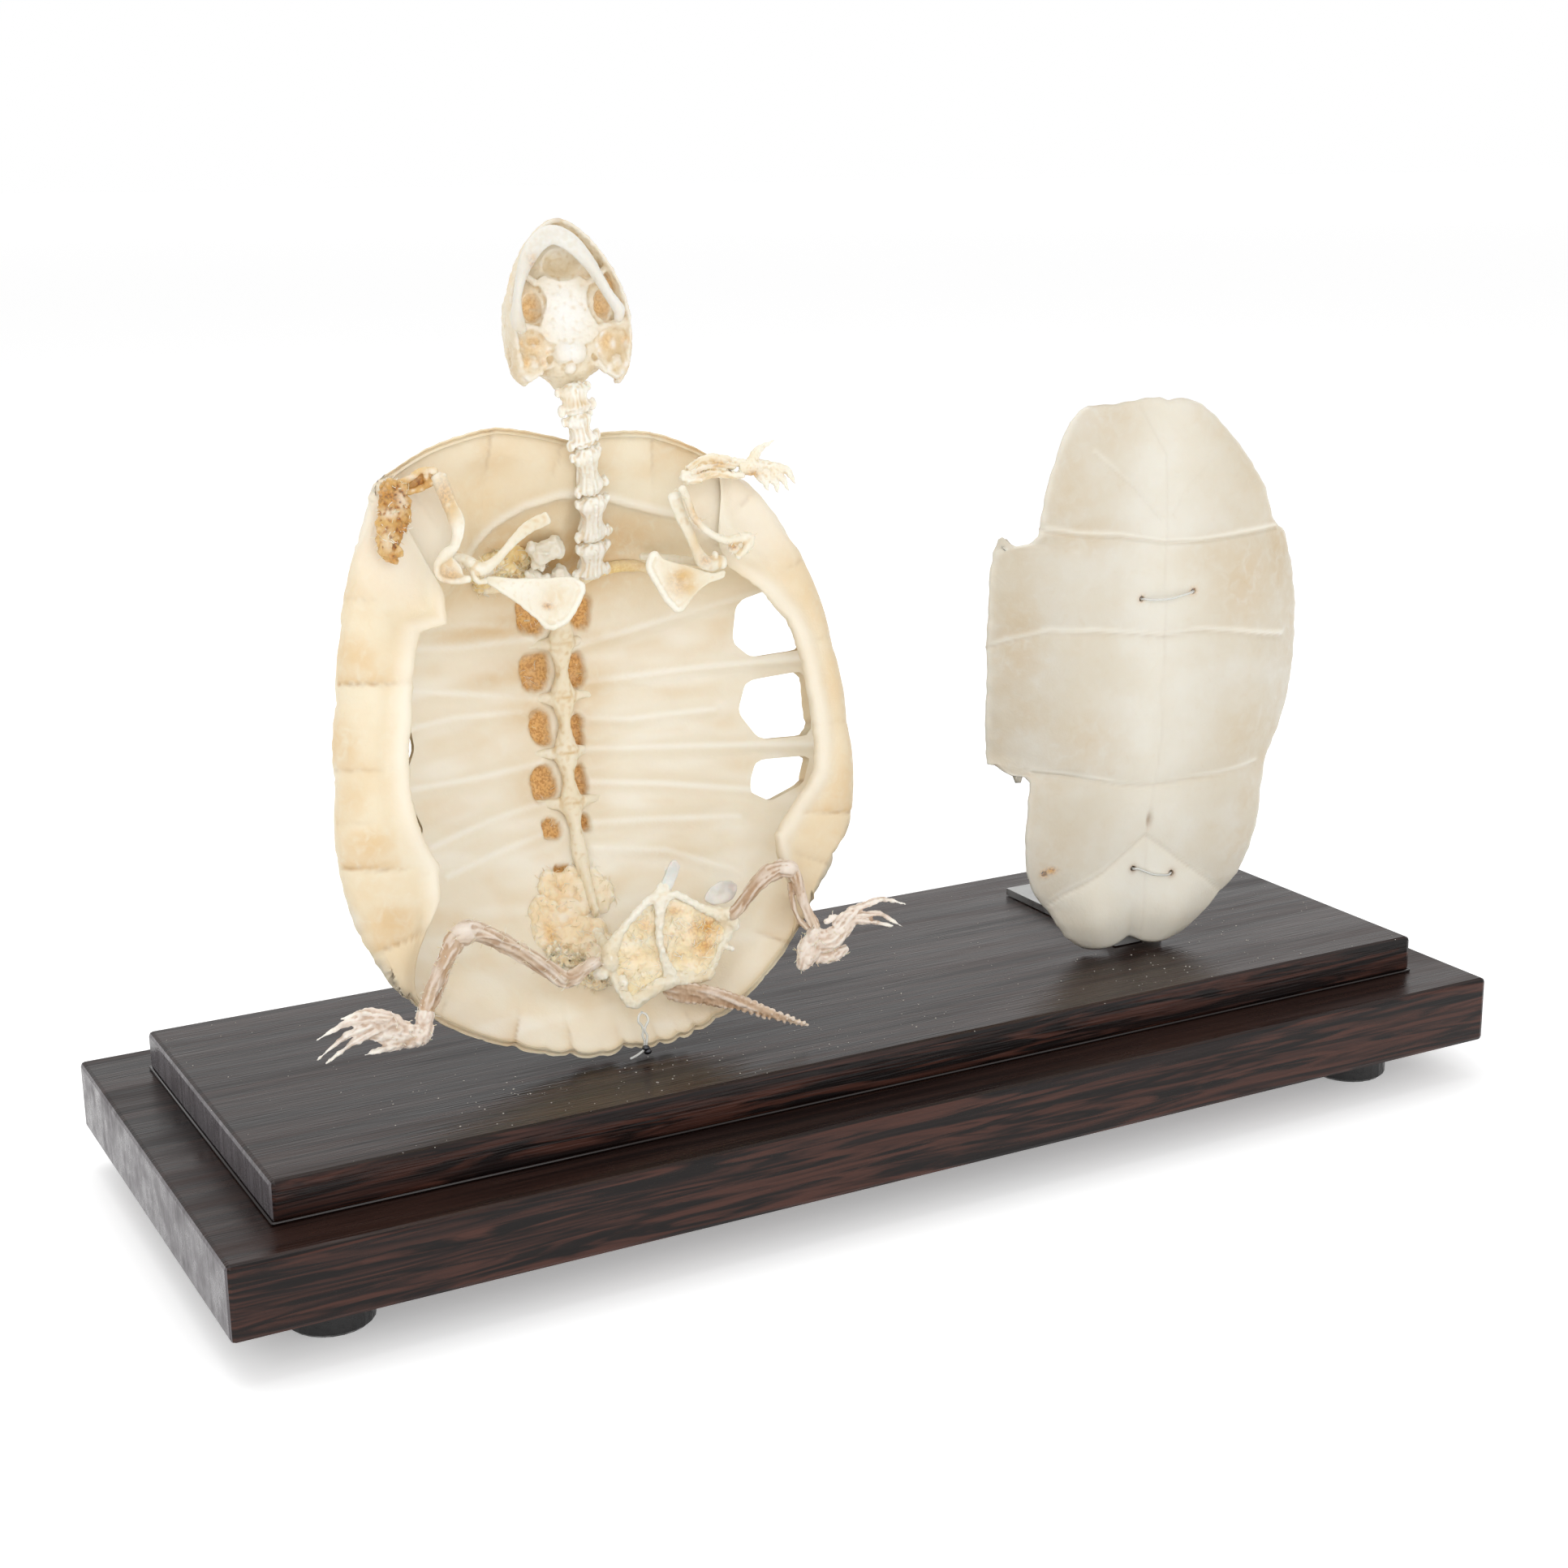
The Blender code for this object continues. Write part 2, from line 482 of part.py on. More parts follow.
# left shoulder: bar with its acromion prong and the blade that reaches back into the shell
scapula = bone("scapula_left", SHELL, [(-34.6, 125.4, 5.6, 1.3, 1.3), (-31.8, 124.7, 5.6, 1.6, 1.5),
                                       (-28.6, 122.3, 5.6, 1.9, 1.7), (-25.2, 123.4, 5.4, 1.3, 1.2),
                                       (-21.9, 126, 5, 1.1, 1.0), (-18.5, 128.9, 4.6, 1.3, 1.0),
                                       (-14.6, 131.5, 4, 1.7, 1.0), (-9.8, 133.2, 3.5, 1.7, 0.8)])
combine(scapula, [bone("blade_left", SHELL, [(-29.2, 122.4, 5, 1.5, 1.5), (-27, 122.6, -2, 1.1, 1.1),
                                             (-23.5, 122.5, -10, 1.1, 1.1), (-20, 122, -17.5, 1.5, 1.0)],
                       6, SHELL[2])])
finish(scapula, "girdle_bone", WHITE_BONE, 0.5)
coracoid = [(-27.2, 119.6), (-26.2, 120.2), (-20.4, 118.9), (-12.7, 118.4), (-5, 118.2), (-2.5, 115.8),
            (-5.3, 111.1), (-7.8, 108.1), (-12.3, 106.4), (-15.7, 110), (-19.9, 114.0), (-24.1, 117.2)]
finish(flat_piece("coracoid_left", SHELL, coracoid, lambda x, y: 4.2 + 0.0 * x, 0.7),
       "girdle_bone", WHITE_BONE, 0.5)

# left upper arm with its hooked head, forearm and dried hand
humerus = bone("humerus_left", SHELL, [(-37.2, 144.6, 8, 1.9, 1.7), (-36.2, 141.8, 8, 1.9, 1.6),
                                       (-34.9, 137.6, 8.2, 1.9, 1.6), (-33.8, 134.2, 8.5, 2.1, 1.7),
                                       (-33.9, 131, 8.8, 1.5, 1.6), (-35.2, 127.9, 9.1, 1.3, 1.5),
                                       (-37.4, 125.4, 9.2, 1.5, 1.4), (-39.7, 122.8, 9.2, 1.0, 1.2),
                                       (-39.6, 119.8, 9.2, 0.8, 1.0), (-36.6, 118.4, 9.2, 0.8, 1.0),
                                       (-32.6, 118.8, 9.2, 1.1, 1.1)])
finish(humerus, "dried_bone", (0.76, 0.58, 0.36), 0.5)
forearm = bone("forearm_left", SHELL, [(-39.4, 144.6, 8, 0.9, 1.0), (-42.6, 143.6, 7.8, 1.0, 1.0),
                                       (-43.6, 143.1, 7.7, 0.8, 0.9)], 6)
combine(forearm, [bone("forearm_left_b", SHELL, [(-39.8, 145.2, 7.2, 1.0, 1.0), (-42, 145.5, 6.8, 0.9, 0.9),
                                                 (-44.2, 145.5, 6.6, 0.8, 0.8)], 6)])
finish(forearm, "dried_tissue", DRIED, 0.6)
hand = bone("hand_left", SHELL, [(-49.6, 143.6, 8, 2.0, 1.6), (-48.4, 141, 8, 4.0, 2.2),
                                 (-48.2, 137.6, 8, 4.1, 2.4),
                                 (-49.4, 134, 8, 3.9, 2.4), (-50.6, 130.4, 8, 3.2, 2.4),
                                 (-50.6, 127.6, 8, 2.0, 1.7),
                                 (-49.3, 125.6, 8, 0.9, 0.9)], 8)
finish(hand, "dried_tissue", DRIED, 0.6)

# right shoulder
scapula = bone("scapula_right", SHELL, [(33.4, 119.2, 6.2, 1.3, 1.4), (30.4, 118.6, 6.2, 1.9, 1.7),
                                        (28.2, 119.6, 6.2, 2.0, 1.6), (26.8, 122.4, 6.2, 1.6, 1.3),
                                        (25.5, 126.2, 6.2, 1.6, 1.2), (23.9, 130.4, 6.2, 1.8, 1.2),
                                        (22.7, 134.2, 6.2, 1.9, 1.2), (22.5, 136.2, 6.2, 1.9, 1.2)])
combine(scapula, [bone("blade_right", SHELL, [(29.6, 119, 5.6, 1.5, 1.5), (28, 120, -2, 1.1, 1.1),
                                              (24.5, 121.5, -10, 1.1, 1.1), (20.5, 122.6, -16, 1.5, 1.0)],
                       6, SHELL[2])])
finish(scapula, "girdle_bone", WHITE_BONE, 0.5)
coracoid = [(34.2, 116.6), (31, 115.9), (27.8, 117.2), (22.4, 118.9), (18.4, 120.4), (16, 122.8),
            (14.2, 119.3),
            (16.1, 115.3), (18.3, 110.8), (21.2, 107.5), (25.8, 112.1), (29.3, 114.3), (33.6, 115.2)]
finish(flat_piece("coracoid_right", SHELL, coracoid, lambda x, y: 4.6, 0.7), "girdle_bone", WHITE_BONE, 0.5)

# right upper arm, forearm and dried hand
humerus = bone("humerus_right", SHELL, [(23.4, 137.6, 9.2, 1.2, 1.1), (24.5, 134.8, 9.4, 1.0, 1.0),
                                        (25.9, 130, 9.6, 1.0, 1.0), (29.1, 126.4, 9.6, 1.0, 1.0),
                                        (33.6, 124, 9.4, 1.1, 1.1), (37.4, 124.3, 9, 1.3, 1.3),
                                        (40.2, 124.0, 8.8, 1.6, 1.4), (38.8, 121.4, 8.8, 1.1, 1.1),
                                        (36.6, 119.8, 8.6, 0.9, 1.0)])
finish(humerus, "girdle_bone", WHITE_BONE, 0.5)
forearm = bone("forearm_right", SHELL, [(25.2, 139.4, 8.6, 1.1, 1.2), (28.6, 139.6, 8.2, 1.1, 1.2),
                                        (32.6, 140.6, 8, 1.1, 1.1), (37.4, 139.8, 8, 1.1, 1.1),
                                        (40.2, 139.8, 8, 0.9, 0.9)], 6)
combine(forearm, [bone("forearm_right_b", SHELL, [(25.2, 140.4, 8, 0.9, 1), (29.5, 142.2, 7.2, 1.1, 1.0),
                                                  (34.2, 142.6, 7, 1.2, 1.0), (38.6, 142, 7.4, 0.9, 0.9)],
                       6)])
finish(forearm, "dried_tissue", DRIED, 0.6)


def claws(prefix, tracks, radius=0.9):
    return [bone(f"{prefix}_{i}", SHELL, [(*track[0], radius, radius),
                                          (*[(track[0][k] + track[1][k]) / 2 for k in range(3)], radius,
                                           radius),
                                          (*track[1], radius * 0.75, radius * 0.75),
                                          (*track[2], 0.15, 0.15)], 5)
            for i, track in enumerate(tracks)]


hand = bone("hand_right", SHELL, [(40.9, 141.6, 7.8, 2.2, 1.5), (44.4, 142.2, 7.8, 3.0, 1.9),
                                  (48, 141, 7.8, 3.0, 1.9),
                                  (51.2, 139.2, 7.8, 2.1, 1.4)], 8)
combine(hand, claws("hand_right_claw", [
    ((43.0, 143.0, 7.8), (44.6, 145.0, 7.8), (46.4, 148.0, 8)),
    ((50.6, 138.6, 7.8), (52.0, 137.2, 7.8), (53.0, 134.6, 8)),
    ((48.8, 139.4, 7.8), (50.6, 136.8, 8), (51.4, 134.0, 8.2)),
    ((45.6, 140.4, 8), (47.4, 136.6, 8.2), (47.2, 133.6, 8.2))]))
finish(hand, "hand_bone", (0.78, 0.68, 0.52), 0.55)

# pelvis: bars round two windows, hip knobs, cartilage tip and the two blades into the shell
PELVIS = [("bar", [(13.6, 44.4, 1.2, 1.9, 0.7), (12.4, 41.2, 1.8, 1.5, 0.8), (10, 38, 2.6, 2.6, 1.1),
                   (9, 34, 3, 1.5, 1.1), (8.1, 27.3, 3, 1.1, 1.1), (9, 22, 2.4, 1.2, 1.1),
                   (10.6, 17, 1.6, 2.2, 1.1)]),
          ("pubis_left", [(9.6, 37.6, 2.6, 1.8, 1.1), (6.2, 37, 2.8, 1.3, 1.1), (-0.3, 31.4, 2, 1.2, 1.1),
                          (-4.2, 26.2, 1, 2.1, 1.8), (-5.2, 23.6, 0.6, 1.8, 1.6)]),
          ("ischium_left", [(-4.9, 25.6, 0.8, 1.6, 1.4), (-4.2, 20, 1, 1.1, 1.1), (-1.4, 13.2, 1.8, 1.3, 1.1),
                            (0.6, 12.4, 1.8, 1.6, 1.1), (6, 15, 1.8, 1.4, 1.1), (12, 16.4, 1.4, 1.6, 1.1)]),
          ("pubis_right", [(9.4, 37.2, 2.6, 1.8, 1.1), (14, 37.4, 2.8, 1.1, 1.1), (20.4, 33.3, 2.2, 1.2, 1.1),
                           (25.4, 31, 1.8, 1.9, 1.6), (27.4, 30, 1.6, 1.8, 1.6)]),
          ("ischium_right", [(27, 30.4, 1.6, 1.6, 1.5), (27.2, 26.4, 1, 1.5, 1.4), (24.6, 23, 0.6, 1.5, 1.1),
                             (22.2, 18.8, 0.6, 1.2, 1.1), (20.4, 16, 0.8, 1.5, 1.1), (15, 16, 1.2, 1.4, 1.1),
                             (11, 16.6, 1.4, 1.5, 1.1)]),
          ("spine_right", [(24.8, 23.2, 0.8, 1.1, 1.0), (27.8, 21.8, 1, 0.9, 0.9)])]
pelvis = bone("pelvis", SHELL, PELVIS[0][1], 6)
others = [bone(name, SHELL, line, 6) for name, line in PELVIS[1:]]
others += [bone("ilium_left", SHELL, [(-4.4, 26, 0.4, 1.7, 1.7), (-4.2, 28.4, -6, 1.4, 1.1),
                                      (-3.6, 31, -12, 2.2, 1.0)],
                7, SHELL[2]),
           bone("ilium_right", SHELL, [(26.4, 29, 0.8, 1.7, 1.7), (21, 31, -6, 1.3, 1.1),
                                       (14, 33.6, -13, 2.2, 1.0)],
                7, SHELL[2])]
combine(pelvis, others)
finish(pelvis, "pelvis_bone", WHITE_BONE, 0.5)

# left leg: thigh, shin and webbed foot with four claws
finish(bone("femur_left", SHELL, [(-41.0, 36.6, 8, 2.2, 1.9), (-38, 35.8, 7.6, 2.3, 1.8),
                                  (-33, 32.8, 6.8, 2.0, 1.7),
                                  (-27, 28.4, 6, 1.9, 1.6), (-21.8, 24.2, 5.4, 2.0, 1.6),
                                  (-17.6, 21.0, 5.2, 2.1, 1.7),
                                  (-12.4, 22.8, 4.6, 1.5, 1.5), (-8.8, 24.2, 3.2, 1.3, 1.4)]),
       "limb_bone", LIMB_BONE, 0.6)
shin = bone("lower_leg_left", SHELL, [(-44.6, 36.4, 8.8, 2.0, 1.8), (-45.6, 34.4, 9, 2.3, 1.9),
                                      (-47.3, 32, 9.5, 2.0, 1.7), (-50, 28, 10, 1.6, 1.5),
                                      (-52.6, 23.8, 10.4, 1.4, 1.4), (-54.6, 19.8, 10.8, 1.7, 1.5)])
combine(shin, [bone("fibula_left", SHELL, [(-45.4, 33.4, 8.6, 0.9, 0.9), (-46.9, 29.8, 8.8, 0.8, 0.8),
                                           (-48.8, 25.6, 9.2, 0.8, 0.8), (-50.8, 22, 9.8, 0.8, 0.8),
                                           (-53, 19.4, 10.4, 1.0, 1.0)], 6)])
finish(shin, "limb_bone", LIMB_BONE, 0.6)
foot = bone("foot_left", SHELL, [(-54.6, 17.0, 10.6, 2.0, 1.8), (-56.2, 14.4, 11, 2.6, 2.2),
                                 (-60, 15.0, 11.6, 3.3, 1.9),
                                 (-64.4, 17.2, 12.4, 4.2, 1.7), (-68.6, 19.6, 13.2, 3.7, 1.4),
                                 (-71.4, 20.4, 13.8, 2.8, 1.0)], 8)
combine(foot, claws("foot_left_claw", [
    ((-66, 20, 13), (-70, 22, 14), (-75.4, 21.4, 14.6)),
    ((-69.4, 20, 13.6), (-74.4, 20.2, 14.8), (-82, 17.4, 15.6)),
    ((-69.0, 18.6, 13.4), (-75, 17.2, 14.8), (-82.2, 12.9, 15.8)),
    ((-68, 16.8, 13.2), (-73.6, 15.2, 14.6), (-80, 11.9, 15.4)),
    ((-60, 13, 11.6), (-65.2, 12.6, 12.6), (-70.4, 12.0, 13.4))], 1.1))
finish(foot, "foot_bone", LIMB_BONE, 0.6)

# right leg
finish(bone("femur_right", SHELL, [(29.5, 32.0, 4.0, 1.5, 1.5), (31, 34.4, 5.6, 1.6, 1.5),
                                   (34.1, 38, 7, 1.7, 1.6),
                                   (37.2, 40.2, 8, 2.1, 1.8), (40.0, 41.0, 8.6, 2.0, 1.8)]),
       "limb_bone", LIMB_BONE, 0.6)
shin = bone("lower_leg_right", SHELL, [(43.2, 40.0, 9, 1.6, 1.6), (43.9, 37, 9, 1.4, 1.3),
                                       (45.2, 31.4, 9, 1.1, 1.2),
                                       (46.6, 27.6, 9, 1.1, 1.1), (47.6, 25, 9, 1.3, 1.2)])
combine(shin, [bone("fibula_right", SHELL, [(42.2, 37.0, 8.4, 0.8, 0.9), (42.6, 32, 7.8, 0.8, 0.8),
                                            (43.8, 27.8, 7.6, 0.8, 0.8), (45.8, 25.2, 8.2, 0.8, 0.8)], 6)])
finish(shin, "limb_bone", LIMB_BONE, 0.6)
foot = bone("foot_right", SHELL, [(43.6, 15.6, 8, 1.6, 1.6), (45.2, 18.6, 8, 3.4, 2.1),
                                  (47.6, 21.2, 8.2, 3.4, 2.2),
                                  (51.6, 21.6, 8.8, 3.2, 2.0), (55.0, 24.2, 9.8, 2.5, 1.6),
                                  (58.4, 27.8, 10.8, 2.4, 1.3)],
            8)
combine(foot, claws("foot_right_claw", [
    ((57.6, 28.4, 10.6), (65.4, 30.2, 11.2), (72.1, 28.0, 11.6)),
    ((58, 27.0, 10.6), (65, 26.4, 11.4), (70.4, 22.4, 12)),
    ((57.4, 25.8, 10.4), (63.2, 24.6, 11.2), (68, 23.0, 11.8))], 1.0)
    + [bone("heel_right", SHELL, [(47, 17.4, 7.8, 1.4, 1.4), (51.6, 17.2, 7.8, 2.0, 1.4),
                                  (56, 18.4, 8, 1.2, 1.0)], 7)])
finish(foot, "foot_bone", LIMB_BONE, 0.6)

# tail, curving forward past the rear rim
finish(bone("tail", SHELL, [(11.6, 12.4, -1.4, 1.6, 1.2), (15, 12.0, 0.8, 1.9, 1.4),
                            (19.4, 11.5, 3.6, 2.1, 1.6),
                            (26.4, 8.8, 5.8, 1.7, 1.4), (33.9, 5, 7.6, 1.3, 1.1), (39, 2.7, 8.6, 0.9, 0.9),
                            (43, 1, 9.2, 0.5, 0.5)]), "limb_bone", LIMB_BONE, 0.6)

# clear nylon line that holds the rear of the shell down to the board
WIRE = [(1.0, 10.2, 3.6), (1.6, 8, 4.2), (0.9, 5, 4.2), (1.3, 2.4, 4), (0.6, 0.8, 4), (-1.6, -0.3, 4.4),
        (-3.6, -0.6, 5)]
finish(bone("mount_wire", SHELL, [(*p, 0.45, 0.45) for p in WIRE], 6), "wire", NYLON, 0.2)
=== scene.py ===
# %% [markdown]
# # A turtle skeleton on a stepped wooden stand
#
# The real object is a small turtle prepared as a teaching skeleton. The upper shell stands on its
# rear rim with the hollow side towards us, and the head, neck and limbs are still in place. The
# belly plate stands beside it on a bent steel strip. This lesson dresses the plain CAD parts, piece
# by piece: first the light and the view, then wood, steel and bone, then the small fibres.

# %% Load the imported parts
import math

import bpy
import numpy as np
from mathutils import Matrix, Vector, noise


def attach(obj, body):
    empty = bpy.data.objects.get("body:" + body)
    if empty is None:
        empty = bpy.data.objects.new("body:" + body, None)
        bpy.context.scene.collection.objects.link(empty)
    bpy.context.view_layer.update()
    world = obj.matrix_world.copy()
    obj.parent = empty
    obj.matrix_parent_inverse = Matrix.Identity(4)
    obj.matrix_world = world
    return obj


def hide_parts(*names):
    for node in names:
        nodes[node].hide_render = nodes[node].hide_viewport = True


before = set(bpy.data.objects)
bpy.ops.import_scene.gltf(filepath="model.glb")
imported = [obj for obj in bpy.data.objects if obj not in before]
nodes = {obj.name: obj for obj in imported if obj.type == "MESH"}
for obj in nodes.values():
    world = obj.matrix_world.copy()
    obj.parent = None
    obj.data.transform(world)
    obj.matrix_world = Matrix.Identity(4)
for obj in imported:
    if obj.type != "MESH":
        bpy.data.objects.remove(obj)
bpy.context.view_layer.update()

# %% [markdown]
# ## Where things stand
#
# The shell and the belly plate each stand on a slanted plane of their own. It is easier to think in
# millimetres to the right, up and forward of such a plane, so every shape below is given that way
# and only turned into metres of the frame at the end.

# %% Two slanted planes to measure from
MM = 0.001
TOP = 40.1


def axes(turn, lean):
    """Right, up and forward of a plane that faces the viewer."""
    turn, lean = math.radians(turn), math.radians(lean)
    out = np.array((-math.sin(turn), -math.cos(turn), 0.0))
    right = np.array((math.cos(turn), -math.sin(turn), 0.0))
    sky = np.array((0.0, 0.0, 1.0))
    return right, sky * math.cos(lean) - out * math.sin(lean), out * math.cos(lean) + sky * math.sin(lean)


SHELL = (np.array((-63.2, -26.7, TOP + 1.6)), *axes(5.0, 12.0))
PLATE = (np.array((93.1, -23.0, TOP + 1.0)), *axes(10.0, -2.0))
FLAT = (np.zeros(3), np.array((1.0, 0, 0)), np.array((0, 1.0, 0)), np.array((0, 0, 1.0)))


def put(place, points):
    """Points given right, up and forward of a place, in metres of the frame."""
    origin, right, up, forward = place
    p = np.atleast_2d(np.asarray(points, float))
    return (origin + p[:, 0:1] * right + p[:, 1:2] * up + p[:, 2:3] * forward) * MM


def measure(place, metres):
    """The other way round: points of the frame, right, up and forward of a place."""
    origin, right, up, forward = place
    away = np.asarray(metres, float) / MM - origin
    return np.stack([away @ right, away @ up, away @ forward], 1)


print("shell stands at", (put(SHELL, (0, 0, 0))[0] / MM).round(1), "plate at",
    (put(PLATE, (0, 0, 0))[0] / MM).round(1))

# %% [markdown]
# ## The view
#
# The camera stands left of the middle, a little above the stand, and looks slightly down. Its
# place was worked out from the edges of the two boards. We build its axes by hand, because a tiny
# roll is part of the view.

# %% Camera
EYE = Vector((-0.29617, -0.54490, 0.26362))
YAW, PITCH, ROLL = math.radians(28.0298), math.radians(15.1618), math.radians(-0.8612)
look = Vector((math.sin(YAW) * math.cos(PITCH), math.cos(YAW) * math.cos(PITCH), -math.sin(PITCH)))
level = Vector((math.cos(YAW), -math.sin(YAW), 0))
above = level.cross(look)
side = level * math.cos(ROLL) + above * math.sin(ROLL)
above = above * math.cos(ROLL) - level * math.sin(ROLL)
camera = bpy.data.objects.new("camera", bpy.data.cameras.new("camera"))
camera.data.lens, camera.data.sensor_width = 55.739, 36.0
camera.matrix_world = Matrix((side, above, -look)).transposed().to_4x4()
camera.location = EYE
bpy.context.scene.collection.objects.link(camera)
bpy.context.scene.camera = camera
print("camera at", [round(v, 3) for v in EYE])

# %% [markdown]
# ## Studio
#
# A white floor, a white card behind it, white surroundings and four soft lights. The lacquered wood
# mirrors the white card, which gives its grey sheen. The big light overhead makes the shadow under
# the stand, and the three in front reach into the hollow of the shell.

# %% Floor and lights
def soft_light(name, spot, aim, size, power):
    """A square area light that looks at a point."""
    lamp = bpy.data.lights.new(name, "AREA")
    lamp.size, lamp.energy = size, power
    made = bpy.data.objects.new(name, lamp)
    made.location = spot
    made.rotation_euler = (Vector(aim) - Vector(spot)).to_track_quat("-Z", "Y").to_euler()
    bpy.context.scene.collection.objects.link(made)


soft_light("overhead", (-0.25, 0.25, 1.5), (0, 0, 0.05), 1.0, 6.5)
soft_light("left_front", (-1.15, -0.85, 0.95), (0, 0, 0.12), 0.7, 2.8)
soft_light("front_fill", (-0.35, -1.6, 0.80), (0, 0, 0.12), 1.0, 6.0)
soft_light("right_fill", (0.9, -1.4, 0.75), (0, 0, 0.12), 1.0, 2.4)
world = bpy.data.worlds.new("studio")
world.use_nodes = True
world.node_tree.nodes["Background"].inputs["Color"].default_value = (1, 1, 1, 1)
world.node_tree.nodes["Background"].inputs["Strength"].default_value = 0.68
bpy.context.scene.world = world
bpy.context.scene.view_settings.view_transform = "Standard"

floor_mesh = bpy.data.meshes.new("floor")
FLOOR = 14.0
floor_mesh.from_pydata([(-FLOOR, -FLOOR, 0), (FLOOR, -FLOOR, 0), (FLOOR, FLOOR, 0), (-FLOOR, FLOOR, 0)], [],
    [(0, 1, 2, 3)])
floor = bpy.data.objects.new("floor", floor_mesh)
bpy.context.scene.collection.objects.link(floor)
backdrop_mesh = bpy.data.meshes.new("backdrop")
backdrop_mesh.from_pydata([(-FLOOR, 0, -1), (FLOOR, 0, -1), (FLOOR, 0, 9), (-FLOOR, 0, 9)], [],
    [(0, 1, 2, 3)])
backdrop_mesh.transform(Matrix.Rotation(-math.radians(28), 4, "Z") @ Matrix.Translation((0, 11.5, 0)))
backdrop = bpy.data.objects.new("backdrop", backdrop_mesh)
bpy.context.scene.collection.objects.link(backdrop)
print("floor, backdrop and", len(bpy.data.lights), "lights")

# %% [markdown]
# ## Writing materials
#
# Every finish is a small network of nodes. A few helpers keep them readable: one adds a node with
# its sockets filled in, one mixes two colours, one turns a noise value into a clear step.

# %% Node helpers
def new_look(name):
    made = bpy.data.materials.new(name)
    made.use_nodes = True
    return made, made.node_tree, made.node_tree.nodes["Principled BSDF"]


def node(tree, kind, sockets=None, **settings):
    """A node whose sockets get plain values or the outputs of other nodes."""
    made = tree.nodes.new(kind)
    for key, value in settings.items():
        setattr(made, key, value)
    for socket, value in (sockets or {}).items():
        if isinstance(value, bpy.types.NodeSocket):
            tree.links.new(value, made.inputs[socket])
        else:
            made.inputs[socket].default_value = value
    return made


def blend(tree, share, first, second, how="MIX"):
    colours = [c if isinstance(c, bpy.types.NodeSocket) else (*c, 1) for c in (first, second)]
    made = node(tree, "ShaderNodeMix", {0: share, 6: colours[0], 7: colours[1]}, data_type="RGBA",
        blend_type=how)
    return made.outputs[2]


def step_up(tree, value, low, high, reach=1.0):
    """0 below low, reach above high, and a soft step between."""
    made = node(tree, "ShaderNodeMapRange",
        {"Value": value, "From Min": low, "From Max": high, "To Max": reach},
        interpolation_type="SMOOTHSTEP")
    return made.outputs["Result"]


def times(tree, a, b):
    return node(tree, "ShaderNodeMath", {0: a, 1: b}, operation="MULTIPLY").outputs[0]


def stretched(tree, scale):
    """Object coordinates scaled along each axis."""
    where = node(tree, "ShaderNodeTexCoord").outputs["Object"]
    return node(tree, "ShaderNodeMapping", {"Vector": where, "Scale": scale}).outputs["Vector"]


def cloud(tree, where, scale, detail=4.0, warp=0.0):
    made = node(tree, "ShaderNodeTexNoise",
        {"Vector": where, "Scale": scale, "Detail": detail, "Distortion": warp})
    return made.outputs["Fac"]


def bumps(tree, shader, layers):
    """Relief made of (height, distance in metres, strength), one on top of the other."""
    normal = None
    for height, distance, strength in layers:
        sockets = {"Height": height, "Distance": distance, "Strength": strength}
        if normal is not None:
            sockets["Normal"] = normal
        normal = node(tree, "ShaderNodeBump", sockets).outputs["Normal"]
    tree.links.new(normal, shader.inputs["Normal"])


def set_shader(shader, **values):
    for name, value in values.items():
        shader.inputs[name.replace("_", " ")].default_value = value


floor_look, _, floor_shader = new_look("paper_white")
set_shader(floor_shader, Base_Color=(0.93, 0.93, 0.93, 1), Roughness=0.9, Specular_IOR_Level=0.0,
    Emission_Color=(1, 1, 1, 1), Emission_Strength=0.30)
floor.data.materials.append(floor_look)
card_look, _, card_shader = new_look("card_white")
set_shader(card_shader, Base_Color=(0, 0, 0, 1), Roughness=1.0, Specular_IOR_Level=0.0,
    Emission_Color=(1, 1, 1, 1), Emission_Strength=1.0)
backdrop.data.materials.append(card_look)
print("helpers ready")
